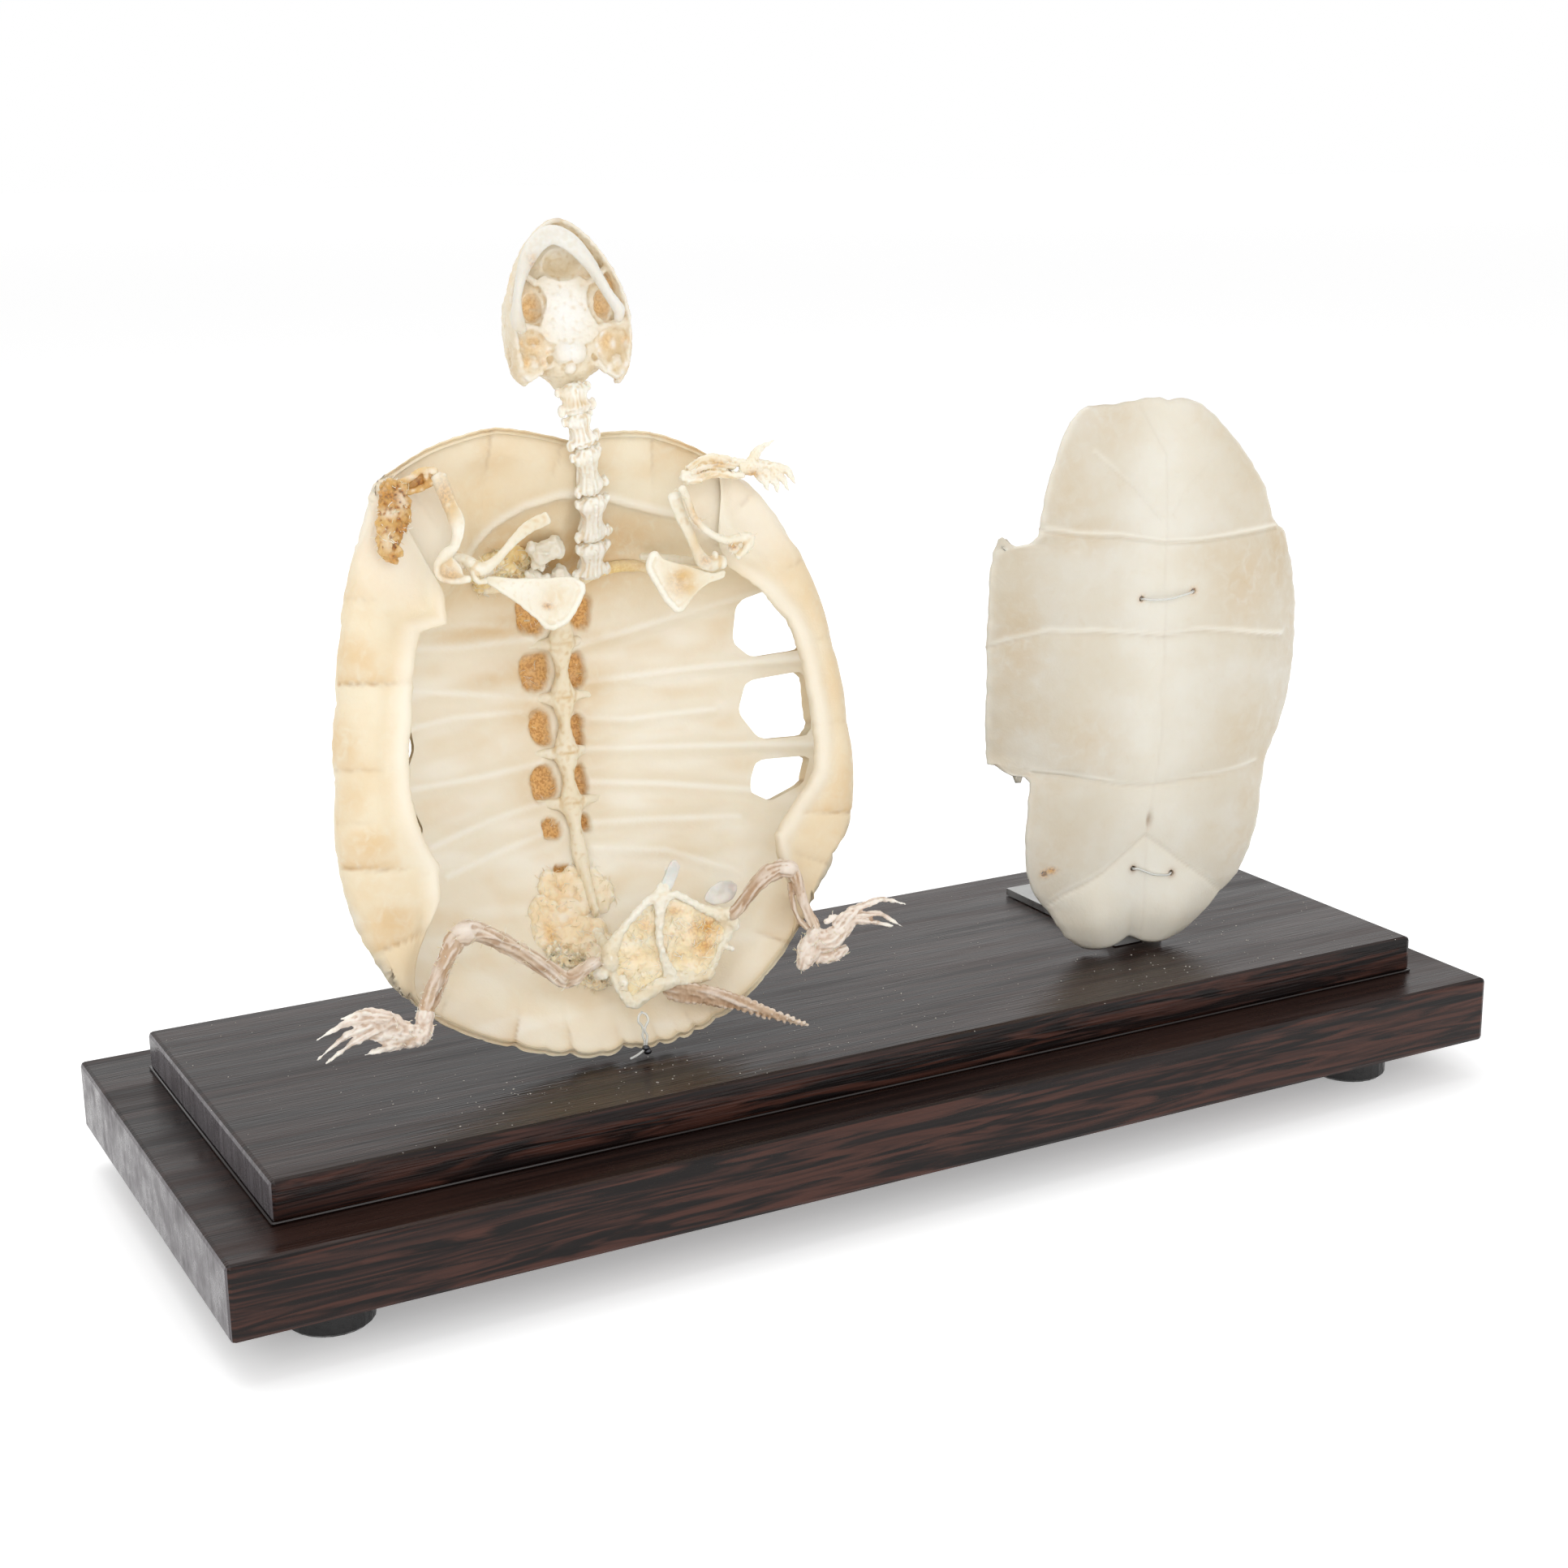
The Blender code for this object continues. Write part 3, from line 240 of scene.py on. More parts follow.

# %% [markdown]
# ## Dark lacquered wood
#
# Both boards are dark tropical wood under clear lacquer. The grain runs along the stand: fine
# straight lines on top, and wavy red-brown streaks on the long front faces. The sawn ends get a grey
# painted sheen, with streaks running up and down. The grain is a noise squeezed along X; which
# colours show is chosen by the direction a face looks, which moves with the piece and not with the
# camera.

# %% Wood on the slab and the raised board
def wood_look(name, gloss):
    look, tree, shader = new_look(name)
    faces = node(tree, "ShaderNodeSeparateXYZ",
        {"Vector": node(tree, "ShaderNodeTexCoord").outputs["Normal"]})
    ends = step_up(tree,
        node(tree, "ShaderNodeMath", {0: faces.outputs["X"]}, operation="ABSOLUTE").outputs[0], 0.7, 0.95)
    tops = step_up(tree, faces.outputs["Z"], 0.6, 0.95)
    waves = cloud(tree, stretched(tree, (20, 90, 340)), 1.0, 6.0, 1.8)
    lines = cloud(tree, stretched(tree, (9, 420, 420)), 1.0, 5.0, 0.3)
    pores = cloud(tree, stretched(tree, (60, 1700, 1700)), 1.0, 2.0)
    patches = cloud(tree, stretched(tree, (5, 14, 14)), 1.0, 2.0)
    front = blend(tree, step_up(tree, waves, 0.42, 0.64), (0.005, 0.0028, 0.0026), (0.060, 0.022, 0.015))
    front = blend(tree, step_up(tree, lines, 0.45, 0.7, 0.6), front, (0.016, 0.008, 0.007))
    top = blend(tree, step_up(tree, lines, 0.35, 0.65), (0.007, 0.0035, 0.003), (0.026, 0.012, 0.009))
    top = blend(tree, step_up(tree, patches, 0.45, 0.7, 0.5), top, (0.034, 0.016, 0.012))
    top = blend(tree, step_up(tree, pores, 0.58, 0.72, 0.5), top, (0.004, 0.002, 0.002))
    # painted sheen: the sawn ends get a grey colour that stands in for the light the lacquer mirrors there,
    # with streaks running up and down
    streaks = cloud(tree, stretched(tree, (30, 900, 40)), 1.0, 5.0, 0.5)
    saw = cloud(tree, stretched(tree, (30, 60, 30)), 1.0, 4.0, 0.5)
    end = blend(tree, step_up(tree, streaks, 0.38, 0.62), (0.085, 0.075, 0.080), (0.150, 0.137, 0.146))
    end = blend(tree, step_up(tree, saw, 0.35, 0.7, 0.5), end, (0.070, 0.060, 0.064))
    colour = blend(tree, tops, front, top)
    colour = blend(tree, ends, colour, end)
    tree.links.new(colour, shader.inputs["Base Color"])
    haze = cloud(tree, stretched(tree, (14, 160, 160)), 1.0, 4.0)
    tree.links.new(step_up(tree, haze, 0.0, 1.0, gloss * 2.0), shader.inputs["Roughness"])
    set_shader(shader, Specular_IOR_Level=0.24)
    ripple = cloud(tree, stretched(tree, (40, 200, 200)), 1.0, 3.0)
    bumps(tree, shader, [(ripple, 0.0004, 0.15), (pores, 0.0003, 0.35)])
    return look


def dress(node_name, look):
    """Give a carried-over CAD part its finish."""
    part = nodes[node_name]
    part.data.materials.clear()
    part.data.materials.append(look)


dress("base_slab", wood_look("slab_wood", 0.30))
dress("top_board", wood_look("board_wood", 0.24))
print("wood on two boards")

# %% [markdown]
# ## Rubber feet and steel
#
# The feet are black rubber with a faint mould texture. The bracket is a zinc-plated strip: grey,
# brushed along its length, with cloudy patches where the plating is uneven.

# %% Rubber, bracket and screw
rubber, tree, shader = new_look("foot_rubber")
grit = cloud(tree, stretched(tree, (1, 1, 1)), 900.0, 3.0)
tree.links.new(blend(tree, grit, (0.006, 0.006, 0.006), (0.022, 0.021, 0.021)), shader.inputs["Base Color"])
tree.links.new(step_up(tree, grit, 0.0, 1.0, 0.75), shader.inputs["Roughness"])
bumps(tree, shader, [(grit, 0.0003, 0.5)])
for number in range(1, 5):
    dress(f"rubber_foot_{number}", rubber)


def steel_look(name, tone, rough):
    look, tree, shader = new_look(name)
    brushed = cloud(tree, stretched(tree, (2600, 60, 60)), 1.0, 4.0)
    zinc = cloud(tree, stretched(tree, (1, 1, 1)), 160.0, 5.0)
    dull = tuple(0.72 * t for t in tone)
    tree.links.new(blend(tree, zinc, dull, tone), shader.inputs["Base Color"])
    tree.links.new(step_up(tree, zinc, 0.0, 0.8, rough * 1.6), shader.inputs["Roughness"])
    set_shader(shader, Metallic=1.0)
    bumps(tree, shader, [(brushed, 0.0002, 0.25)])
    return look


dress("bracket", steel_look("bracket_zinc", (0.56, 0.56, 0.55), 0.34))
dress("bracket_screw", steel_look("screw_zinc", (0.62, 0.62, 0.60), 0.28))
print("rubber and steel done")

# %% [markdown]
# ## Bone
#
# Cleaned bone is cream, cloudy and slightly translucent. Where skin or cartilage dried on it, it
# turns tan, then amber and brown. We paint these places on the points of each mesh, in a colour
# attribute called marks: red for a tan stain, green for a dark seam, blue for dried amber tissue and
# alpha for chalk white. Red also carries painted shade in creases and hollows, and alpha carries
# painted highlights on ridges and painted light in the hollow of the shell. One network reads them,
# so that all bones belong together.

# %% Bone finishes
def bone_look(name, cream, pale, tan=(0.66, 0.455, 0.205), rough=0.5, grain=1.0, glow=0.12,
              amber=((0.66, 0.36, 0.10), (0.33, 0.14, 0.04)), white=(0.85, 0.825, 0.735)):
    look, tree, shader = new_look(name)
    where = stretched(tree, (1, 1, 1))
    marks = node(tree, "ShaderNodeAttribute", attribute_name="marks")
    split = node(tree, "ShaderNodeSeparateColor", {"Color": marks.outputs["Color"]})
    soft, mid = cloud(tree, where, 55.0, 4.0), cloud(tree, where, 330.0, 5.0, 0.6)
    fine = cloud(tree, where, 1500.0, 4.0)
    colour = blend(tree, step_up(tree, soft, 0.35, 0.68), cream, pale)
    colour = blend(tree, step_up(tree, mid, 0.60, 0.85, 0.25), colour, tan)
    stain = times(tree, split.outputs["Red"], step_up(tree, mid, 0.15, 0.60))
    colour = blend(tree, stain, colour, tan)
    dried = blend(tree, step_up(tree, fine, 0.40, 0.62), amber[0], amber[1])
    colour = blend(tree, times(tree, split.outputs["Blue"], step_up(tree, mid, 0.10, 0.5)), colour, dried)
    colour = blend(tree, marks.outputs["Alpha"], colour, white)
    colour = blend(tree, split.outputs["Green"], colour, (0.30, 0.17, 0.085))
    tree.links.new(colour, shader.inputs["Base Color"])
    tree.links.new(step_up(tree, mid, -0.4, 1.4, rough * 2.0), shader.inputs["Roughness"])
    set_shader(shader, Subsurface_Weight=glow, Subsurface_Scale=0.0015, Specular_IOR_Level=0.4)
    shader.inputs["Subsurface Radius"].default_value = (1.0, 0.6, 0.35)
    bumps(tree, shader, [(mid, 0.0005 * grain, 0.35), (fine, 0.00025 * grain, 0.4)])
    return look


shell_look = bone_look("shell_ivory", (0.79, 0.665, 0.46), (0.82, 0.735, 0.555), tan=(0.76, 0.53, 0.265),
    grain=0.7, white=(0.93, 0.895, 0.80), amber=((0.74, 0.44, 0.155), (0.52, 0.26, 0.075)))
plate_look = bone_look("plate_ivory", (0.61, 0.555, 0.45), (0.645, 0.61, 0.53), tan=(0.54, 0.39, 0.21),
    grain=0.5)
skull_look = bone_look("skull_ivory", (0.74, 0.64, 0.47), (0.79, 0.73, 0.60), tan=(0.60, 0.44, 0.235),
    white=(0.83, 0.82, 0.79), amber=((0.90, 0.62, 0.30), (0.72, 0.44, 0.18)))
jaw_look = bone_look("jaw_white", (0.69, 0.65, 0.56), (0.74, 0.72, 0.66), glow=0.2, grain=0.6,
    white=(0.78, 0.77, 0.73), tan=(0.62, 0.49, 0.30))
white_look = bone_look("white_bone", (0.80, 0.76, 0.65), (0.84, 0.815, 0.74), glow=0.2, grain=0.8,
    white=(0.88, 0.865, 0.81))
girdle_look = bone_look("girdle_ivory", (0.77, 0.70, 0.54), (0.80, 0.76, 0.645), glow=0.15)
limb_look = bone_look("limb_bone", (0.50, 0.345, 0.22), (0.66, 0.53, 0.40), tan=(0.33, 0.175, 0.08),
    rough=0.55, grain=0.8, amber=((0.58, 0.33, 0.11), (0.36, 0.18, 0.07)), white=(0.86, 0.80, 0.73))
dried_look = bone_look("dried_tissue", (0.58, 0.33, 0.09), (0.72, 0.52, 0.24), tan=(0.45, 0.20, 0.045),
    rough=0.42, grain=2.2, glow=0.25, amber=((0.55, 0.24, 0.035), (0.24, 0.085, 0.018)))
print("bone finishes ready")

# %% [markdown]
# ## Shapes that grow together
#
# A bone is a bar that swells at its ends and flows into the next bar. We sweep smooth closed bars
# through measured stations, add knobs, and let a voxel remesh melt them into one skin. That rounds
# every junction the way living bone does, which plain joined cylinders never do.

# %% Bars, knobs and sheets
def curve_through(stations, gap):
    """Catmull-Rom points through the stations, about gap millimetres apart."""
    p = np.asarray(stations, float)
    p = np.vstack([2 * p[0] - p[1], p, 2 * p[-1] - p[-2]])
    rows = []
    for i in range(1, len(p) - 2):
        count = max(2, round(np.linalg.norm(p[i + 1, :3] - p[i, :3]) / gap))
        t = np.arange(count)[:, None] / count
        rows.append(
            0.5 * (
                2 * p[i] + (p[i + 1] - p[i - 1]) * t + (2 * p[i - 1] - 5 * p[i] + 4 * p[i + 1] - p[i + 2])
                    * t ** 2 + (3 * p[i] - p[i - 1] - 3 * p[i + 1] + p[i + 2]) * t ** 3))
    return np.vstack(rows + [p[-2:-1]])


def bar(place, stations, sides=14, gap=0.7, facing=None):
    """A closed bar through (right, up, forward, half width, half thickness) stations."""
    line = curve_through(stations, gap)
    centres = put(place, line[:, :3]) / MM
    along = np.gradient(centres, axis=0)
    along /= np.linalg.norm(along, axis=1)[:, None]
    wide = np.cross(along, place[3] if facing is None else facing)
    wide /= np.linalg.norm(wide, axis=1)[:, None]
    thick = np.cross(wide, along)
    sizes = np.maximum(line[:, 3:5], 0.05)
    first, last = min(sizes[0]), min(sizes[-1])
    cap = ((0.62, 0.50), (0.38, 0.82))
    rings = [(centres[0] - along[0] * first * a, sizes[0] * b, 0) for a, b in cap]
    rings += [(c, s, i) for i, (c, s) in enumerate(zip(centres, sizes))]
    rings += [(centres[-1] + along[-1] * last * a, sizes[-1] * b, len(centres) - 1) for a, b in cap[::-1]]
    turn = 2 * math.pi * (np.arange(sides) + 0.5) / sides
    points = [c + np.outer(np.cos(turn) * s[0], wide[i]) + np.outer(np.sin(turn) * s[1], thick[i]) for c, s,
              i in rings]
    points += [[centres[0] - along[0] * first * 0.7, centres[-1] + along[-1] * last * 0.7]]
    k = np.arange(sides)
    faces = [
        (a, b, b + sides, a + sides) for i in range(len(rings) - 1) for a, b in zip(i * sides + k,
            i * sides + (k + 1) % sides)]
    tips = len(rings) * sides
    faces += [(b, a, tips) for a, b in zip(k, (k + 1) % sides)]
    end = tips - sides
    faces += [(a, b, tips + 1) for a, b in zip(end + k, end + (k + 1) % sides)]
    return np.vstack(points) * MM, [face[::-1] for face in faces]


def knob(place, centre, radii, rings=9, segments=14):
    """A closed egg shape with its three radii right, up and forward."""
    rows = [centre + np.array((0, 0, -radii[2]))]
    for i in range(1, rings):
        lift = -math.pi / 2 + math.pi * i / rings
        for k in range(segments):
            turn = 2 * math.pi * k / segments
            rows.append(
                np.array(centre) + (radii[0] * math.cos(lift) * math.cos(turn),
                    radii[1] * math.cos(lift) * math.sin(turn), radii[2] * math.sin(lift)))
    rows.append(centre + np.array((0, 0, radii[2])))
    k = np.arange(segments)
    faces = [(0, 1 + b, 1 + a) for a, b in zip(k, (k + 1) % segments)]
    for i in range(rings - 2):
        base = 1 + i * segments
        faces += [
            (base + a, base + b, base + b + segments, base + a + segments)
                for a, b in zip(k, (k + 1) % segments)]
    base = 1 + (rings - 2) * segments
    faces += [(base + a, base + b, len(rows) - 1) for a, b in zip(k, (k + 1) % segments)]
    return put(place, rows), faces


def leaf(place, outline, level, half_thick):
    """A closed flat piece with a traced outline, at a level that may change over it."""
    count = len(outline)
    turned = sum(a[0] * b[1] - b[0] * a[1] for a, b in zip(outline, outline[1:] + outline[:1])) < 0
    path = list(outline)[::-1] if turned else list(outline)
    rows = [(u, v, level(u, v) + lift) for lift in (-half_thick, half_thick) for u, v in path]
    faces = [tuple(range(count))[::-1], tuple(range(count, 2 * count))]
    faces += [(i, (i + 1) % count, count + (i + 1) % count, count + i) for i in range(count)]
    return put(place, rows), faces


print("a test bar has", len(bar(SHELL, [(0, 0, 0, 1, 1), (0, 9, 0, 2, 1)])[1]), "faces")

# %% [markdown]
# ## From rough shapes to a finished piece
#
# The next helpers join shapes into one mesh, apply Blender's modifiers, roughen the skin with
# seeded noise and paint the marks. settle_down is what every finished bone goes through: it takes
# its finish, rides on the stand, and hides the plain CAD part that it stands for.

# %% Joining, remeshing, weathering and painting
def raw_object(name, shapes):
    """One object from several (points, faces) shapes."""
    points, faces, base = [], [], 0
    for verts, polygons in shapes:
        points.append(np.asarray(verts))
        faces += [tuple(int(i) + base for i in polygon) for polygon in polygons]
        base += len(verts)
    mesh = bpy.data.meshes.new(name)
    mesh.from_pydata(np.vstack(points).tolist(), [], faces)
    made = bpy.data.objects.new(name, mesh)
    bpy.context.scene.collection.objects.link(made)
    return made


def apply_all(made):
    """Turn an object and its modifiers into a plain mesh."""
    graph = bpy.context.evaluated_depsgraph_get()
    graph.update()
    mesh = bpy.data.meshes.new_from_object(made.evaluated_get(graph))
    made.modifiers.clear()
    made.data = mesh
    return made


def melt(made, voxel, rounds=3):
    """Melt overlapping shapes into one skin and smooth it."""
    skin = made.modifiers.new("melt", "REMESH")
    skin.mode, skin.voxel_size = "VOXEL", voxel * MM
    relax = made.modifiers.new("relax", "SMOOTH")
    relax.factor, relax.iterations = 0.5, rounds
    return apply_all(made)


def carve(made, shapes, name="carver"):
    """Cut closed shapes out of a piece, one after another."""
    for shape in shapes:
        tool = raw_object(name, [shape])
        cut = made.modifiers.new("cut", "BOOLEAN")
        cut.operation, cut.solver, cut.object = "DIFFERENCE", "EXACT", tool
        apply_all(made)
        bpy.data.objects.remove(tool, do_unlink=True)
    return made


def points_of(mesh):
    flat = np.empty(len(mesh.vertices) * 3)
    mesh.vertices.foreach_get("co", flat)
    return flat.reshape(-1, 3)


def lumps(points_mm, size, seed=0.0):
    """Smooth noise between about -1 and 1 at points in millimetres."""
    return np.array([noise.noise(Vector(p) / size + Vector((seed, -seed, 2 * seed))) for p in points_mm])


def weather(made, layers):
    """Push the skin in and out by layers of (height, size, seed), in millimetres."""
    mesh = made.data
    points = points_of(mesh)
    normals = np.empty(len(mesh.vertices) * 3)
    mesh.vertices.foreach_get("normal", normals)
    lift = sum(height * lumps(points / MM, size, seed) for height, size, seed in layers)
    mesh.vertices.foreach_set("co", (points + normals.reshape(-1, 3) * lift[:, None] * MM).ravel())
    mesh.update()
    return made


def creases(mesh, rounds=4):
    """0 to 1 for how deep in a fold each point lies, and the same for how far out on a ridge; grow uses them
    for painted shade in the folds and a painted highlight on the ridges.
    """
    count = len(mesh.vertices)
    ends = np.empty(len(mesh.edges) * 2, np.int64)
    mesh.edges.foreach_get("vertices", ends)
    a, b = ends.reshape(-1, 2).T
    links = np.maximum(np.bincount(a, minlength=count) + np.bincount(b, minlength=count), 1)[:, None]

    def around(values):
        columns = [np.bincount(a, c[b], count) + np.bincount(b, c[a], count) for c in values.T]
        return np.stack(columns, 1) / links

    normals = np.empty(count * 3)
    mesh.vertices.foreach_get("normal", normals)
    wide = points = points_of(mesh)
    for _ in range(rounds):
        wide = around(wide)
    bend = around(around(((wide - points) * normals.reshape(-1, 3)).sum(1)[:, None]))[:, 0]
    low, mid_low, mid_high, high = np.percentile(bend, (4, 30, 70, 96))
    return np.clip((bend - mid_high) / (high - mid_high), 0, 1), np.clip((mid_low - bend) / (mid_low - low),
                                                                         0, 1)


CHANNELS = {"tan": 0, "seam": 1, "amber": 2, "white": 3}


def paint(made, marks):
    """Write the marks, four numbers for each point, as a colour attribute."""
    layer = made.data.color_attributes.new("marks", "FLOAT_COLOR", "POINT")
    layer.data.foreach_set("color", np.clip(marks, 0, 1).astype(np.float32).ravel())
    return made


def spots(points, places, base=(0, 0, 0, 0)):
    """Soft round marks: (channel, centre, radii, strength), in millimetres."""
    marks = np.tile(np.array(base, float), (len(points), 1))
    for channel, centre, radii, strength in places:
        away = (points - np.array(centre)) / np.array(radii)
        k = CHANNELS[channel]
        marks[:, k] = np.maximum(marks[:, k], strength * np.exp(-(away ** 2).sum(1)))
    return marks


def settle_down(made, look, slot, *stands_for):
    """Finish a piece: material, smooth faces, and its place in the frame."""
    made.data.materials.clear()
    made.data.materials.append(look)
    made.data.polygons.foreach_set("use_smooth", [True] * len(made.data.polygons))
    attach(made, "root")
    if stands_for:
        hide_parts(*stands_for)
    print(f"{made.name}: {sum(len(p.vertices) - 2 for p in made.data.polygons)} triangles")
    return made


# %% [markdown]
# ## The shell as rings
#
# The shell is a bowl whose rim turns in along both sides. For every direction from its middle we
# know one profile: down in the bowl, up the wall, round the rim and in along the lip. We keep all
# profiles in one table, cut it into rings, and give longer rings more points, so the mesh is as fine
# at the rim as in the middle. At the two front corners bone fills the hollow up to the rim, and the
# free ends of the lip thin out there.

# %% Rim, lip and bowl of the shell
RIM = [(0, 151), (7, 153), (20, 152.3), (31, 148), (40, 142), (47.3, 135.3), (52.3, 127.7), (57.2, 118.4),
    (60.9, 106.3), (62.7, 95.2), (64.7, 75.8), (65.1, 61), (63.3, 50), (59, 42.2), (51.3, 31.2),
    (42.5, 19.4), (30.7, 9.2), (22, 4), (13, 0.8), (6, -0.3), (0, 0.8), (-8, -0.3), (-18.3, 1.2),
    (-31.7, 5.8), (-40, 9.5), (-49.9, 15.8), (-58.5, 24.6), (-64.4, 35), (-68, 48.3), (-69, 58),
    (-67.5, 74), (-65.1, 93.9), (-62.6, 108.8), (-59, 122.8), (-54.8, 135), (-50.3, 144.6), (-37.2, 151.8),
    (-20, 155.8), (-9, 153.8)]
LIP = [(26, 140), (30, 134), (34, 126), (37, 118), (45, 111), (49.5, 103), (53, 85), (52.5, 64), (47, 56.5),
    (42, 49), (42.5, 38), (-48, 36), (-46, 45), (-46, 52.5), (-51, 64), (-51.8, 74), (-49.8, 88),
    (-46.5, 104), (-44.5, 108.8), (-37, 110), (-36.5, 119), (-35, 130)]
NOTCHES = [(-32.7, 0.9), (-16.9, 1.5), (-3.2, 1.9), (6.1, 1.7), (11.4, 1.5), (16.2, 1.3), (22.4, 1.2),
    (-24, 0.7), (-9, 0.8)]
MIDDLE_V, DEPTH, THICK, LIP_RISE = 76.0, 38.0, 2.4, 5.6


def polar(outline):
    rows = sorted((math.atan2(u, v - MIDDLE_V), math.hypot(u, v - MIDDLE_V)) for u, v in outline)
    return np.array(rows).T


RIM_POLAR, LIP_POLAR = polar(RIM), polar(LIP)


def rim_radius(turn):
    return np.interp(turn, *RIM_POLAR, period=2 * math.pi)


def notch_depth(turn):
    """How far the rear rim is nicked at the seams between its plates."""
    spots_at = [(math.atan2(u, 2.0 - MIDDLE_V), depth) for u, depth in NOTCHES]
    return sum(depth * np.exp(-np.abs((turn - at + math.pi) % (2 * math.pi) - math.pi) / 0.018) for at,
               depth in spots_at)


def smooth_step(low, high, x):
    t = np.clip((x - low) / (high - low), 0, 1)
    return t * t * (3 - 2 * t)


def lip_share(turn):
    first, last = np.where(turn > 0, 0.64, 0.74), np.where(turn > 0, 2.22, 2.16)
    return smooth_step(first - 0.16, first, abs(turn)) * (1 - smooth_step(last, last + 0.22, abs(turn)))


def rise_share(turn):
    return smooth_step(0.72, 1.2, abs(turn)) * (1 - smooth_step(1.75, 2.2, abs(turn)))


def bowl(u, v):
    """How far the inner face lies behind the rim."""
    turn = np.arctan2(u, v - MIDDLE_V)
    reach = np.minimum(np.hypot(u, v - MIDDLE_V) / (rim_radius(turn) - THICK), 1.0)
    steep = 0.66 * np.sin(turn) ** 2 + np.where(np.cos(turn) > 0, 1.2, 1.05) * np.cos(turn) ** 2
    return -DEPTH * np.maximum(1 - reach ** 2.3, 0) ** steep


def filled(u, v):
    """0 to 1: how far bone fills the hollow at the two front corners, under the lip."""
    return np.maximum(np.exp(-np.hypot((u + 43) / 17, (v - 131) / 16.5) ** 4),
        np.exp(-np.hypot((u - 42) / 18, (v - 131) / 14) ** 4))


STEPS, RIM_STEP = 400, 300


def profile(turn):
    """(radius, forward) points of the inner skin: 300 from the middle to the rim, 100 on to the lip."""
    radius = float(rim_radius(turn)) - THICK - float(notch_depth(turn))
    share, rise = float(lip_share(turn)), float(rise_share(turn))
    lip_to = radius - 0.8 + share * (float(np.interp(turn, *LIP_POLAR, period=2 * math.pi)) - radius + 0.8)
    t = np.linspace(0, 0.95, 120)
    deep = np.stack([t * radius, bowl(t * radius * math.sin(turn), MIDDLE_V + t * radius * math.cos(turn))],
        1)
    free = 1 - share
    ends = [(radius + 0.5 * free, -0.8), (radius - share * 0.6 + 0.9 * free, rise * LIP_RISE * 0.5 * share),
        (radius * (1 - 0.35 * share) + lip_to * 0.35 * share - 0.3 + 1.5 * free,
            0.6 + rise * (LIP_RISE - 0.8)),
        (lip_to + 2.1 * free, 0.9 + rise * (LIP_RISE - 0.9))]
    turned_in = curve_through(np.array([deep[-8]] + [deep[-1]] + ends), 0.4)
    at = int(np.argmin(np.hypot(*(turned_in - deep[-1]).T)))
    path = np.vstack([deep[:-1], turned_in[at:]])
    far = np.concatenate([[0], np.cumsum(np.hypot(*np.diff(path, axis=0).T))])
    rim_at = far[int(np.argmin(np.hypot(*(path - np.array(ends[0])).T)))]
    even = np.concatenate(
        [np.linspace(0, rim_at, RIM_STEP, endpoint=False), np.linspace(rim_at, far[-1], STEPS - RIM_STEP)])
    return np.stack([np.interp(even, far, path[:, 0]), np.interp(even, far, path[:, 1])], 1)


TURNS = np.linspace(-math.pi, math.pi, 901)
inner = np.array([profile(t) for t in TURNS])
slope = np.gradient(inner, axis=1)
slope /= np.linalg.norm(slope, axis=2)[..., None]
outward = np.stack([slope[..., 1], -slope[..., 0]], 2)
free = np.maximum(1 - lip_share(TURNS), 1 - smooth_step(0.86, 1.10, abs(TURNS)))
taper = free[:, None] * smooth_step(RIM_STEP, STEPS - 1, np.arange(STEPS))
outer = inner + outward * (THICK * (1 - 0.84 * taper))[..., None]
level = np.minimum(inner[..., 1], 0.0)
fill = filled(inner[..., 0] * np.sin(TURNS)[:, None], MIDDLE_V + inner[..., 0] * np.cos(TURNS)[:, None])
inner[..., 1] -= level * 0.94 * fill
print("profile table", inner.shape, "deepest", inner[..., 1].min().round(1), "mm")

# %% [markdown]
# ## What the years left on the shell, and its painted light
#
# The inside shows low rib ridges, hollows beside the backbone, a step behind the neck and fine
# seams. The rim carries a brown stain and a dark line where two edge plates met. Outside are the
# grooves of the horny scutes. Each of these is a distance to a line or to a spot, so relief and
# colour come from the same numbers and always agree. Some colour is painted light: warm shade in
# the hollow behind the neck and between the ribs, highlights on the rib tops and along the step, and
# a lift of the shade inside the bowl.

# %% Lines and hollows of the shell
RIBS = [[(5, 101.5), (20, 104.3), (37, 108.1), (50, 111)], [(5, 92), (20, 92.2), (37, 92.8), (60, 93)],
    [(5, 83), (19, 81), (40, 81.5)], [(5, 74.6), (18.5, 73.5), (36, 72.1), (60, 70.3)],
    [(5, 66), (26, 63.2), (47, 59.3)], [(5, 55.2), (25, 54), (42, 53)], [(5, 48.6), (23, 46), (37, 40)],
    [(-6, 107), (-23, 109.6), (-35, 109.3)], [(-6, 104.5), (-26, 104.1), (-42, 105)],
    [(-6, 89), (-24, 92), (-52, 96)], [(-6, 86), (-29, 86.2), (-50, 84)],
    [(-6, 72), (-23, 70.3), (-52, 69.5)], [(-6, 62), (-22.5, 58.8), (-39, 54.7)],
    [(-6, 54.4), (-22, 50.5), (-36, 47)]]
PITS = [(-5.9, 110.5, 4.6, 5.4), (-5.2, 95.8, 4.4, 5.6), (-4.6, 81.3, 3.2, 5.2), (-5.4, 66.6, 3.7, 5.0),
    (-5.2, 54.6, 3.0, 2.9), (-4.4, 43.2, 2.6, 2.6), (6.9, 110.4, 3.3, 5.0), (6.0, 94.8, 2.4, 5.0),
    (5.2, 79.4, 1.8, 5.2), (4.7, 66.2, 1.7, 4.8), (4.3, 55.4, 1.2, 2.6)]
ARC = [(-30, 122), (-23.4, 129.3), (-17.7, 133.9), (-10.9, 137.3), (-2.7, 139.2), (9.0, 138.3),
    (18.8, 135.1), (28.1, 131.2), (33, 126)]
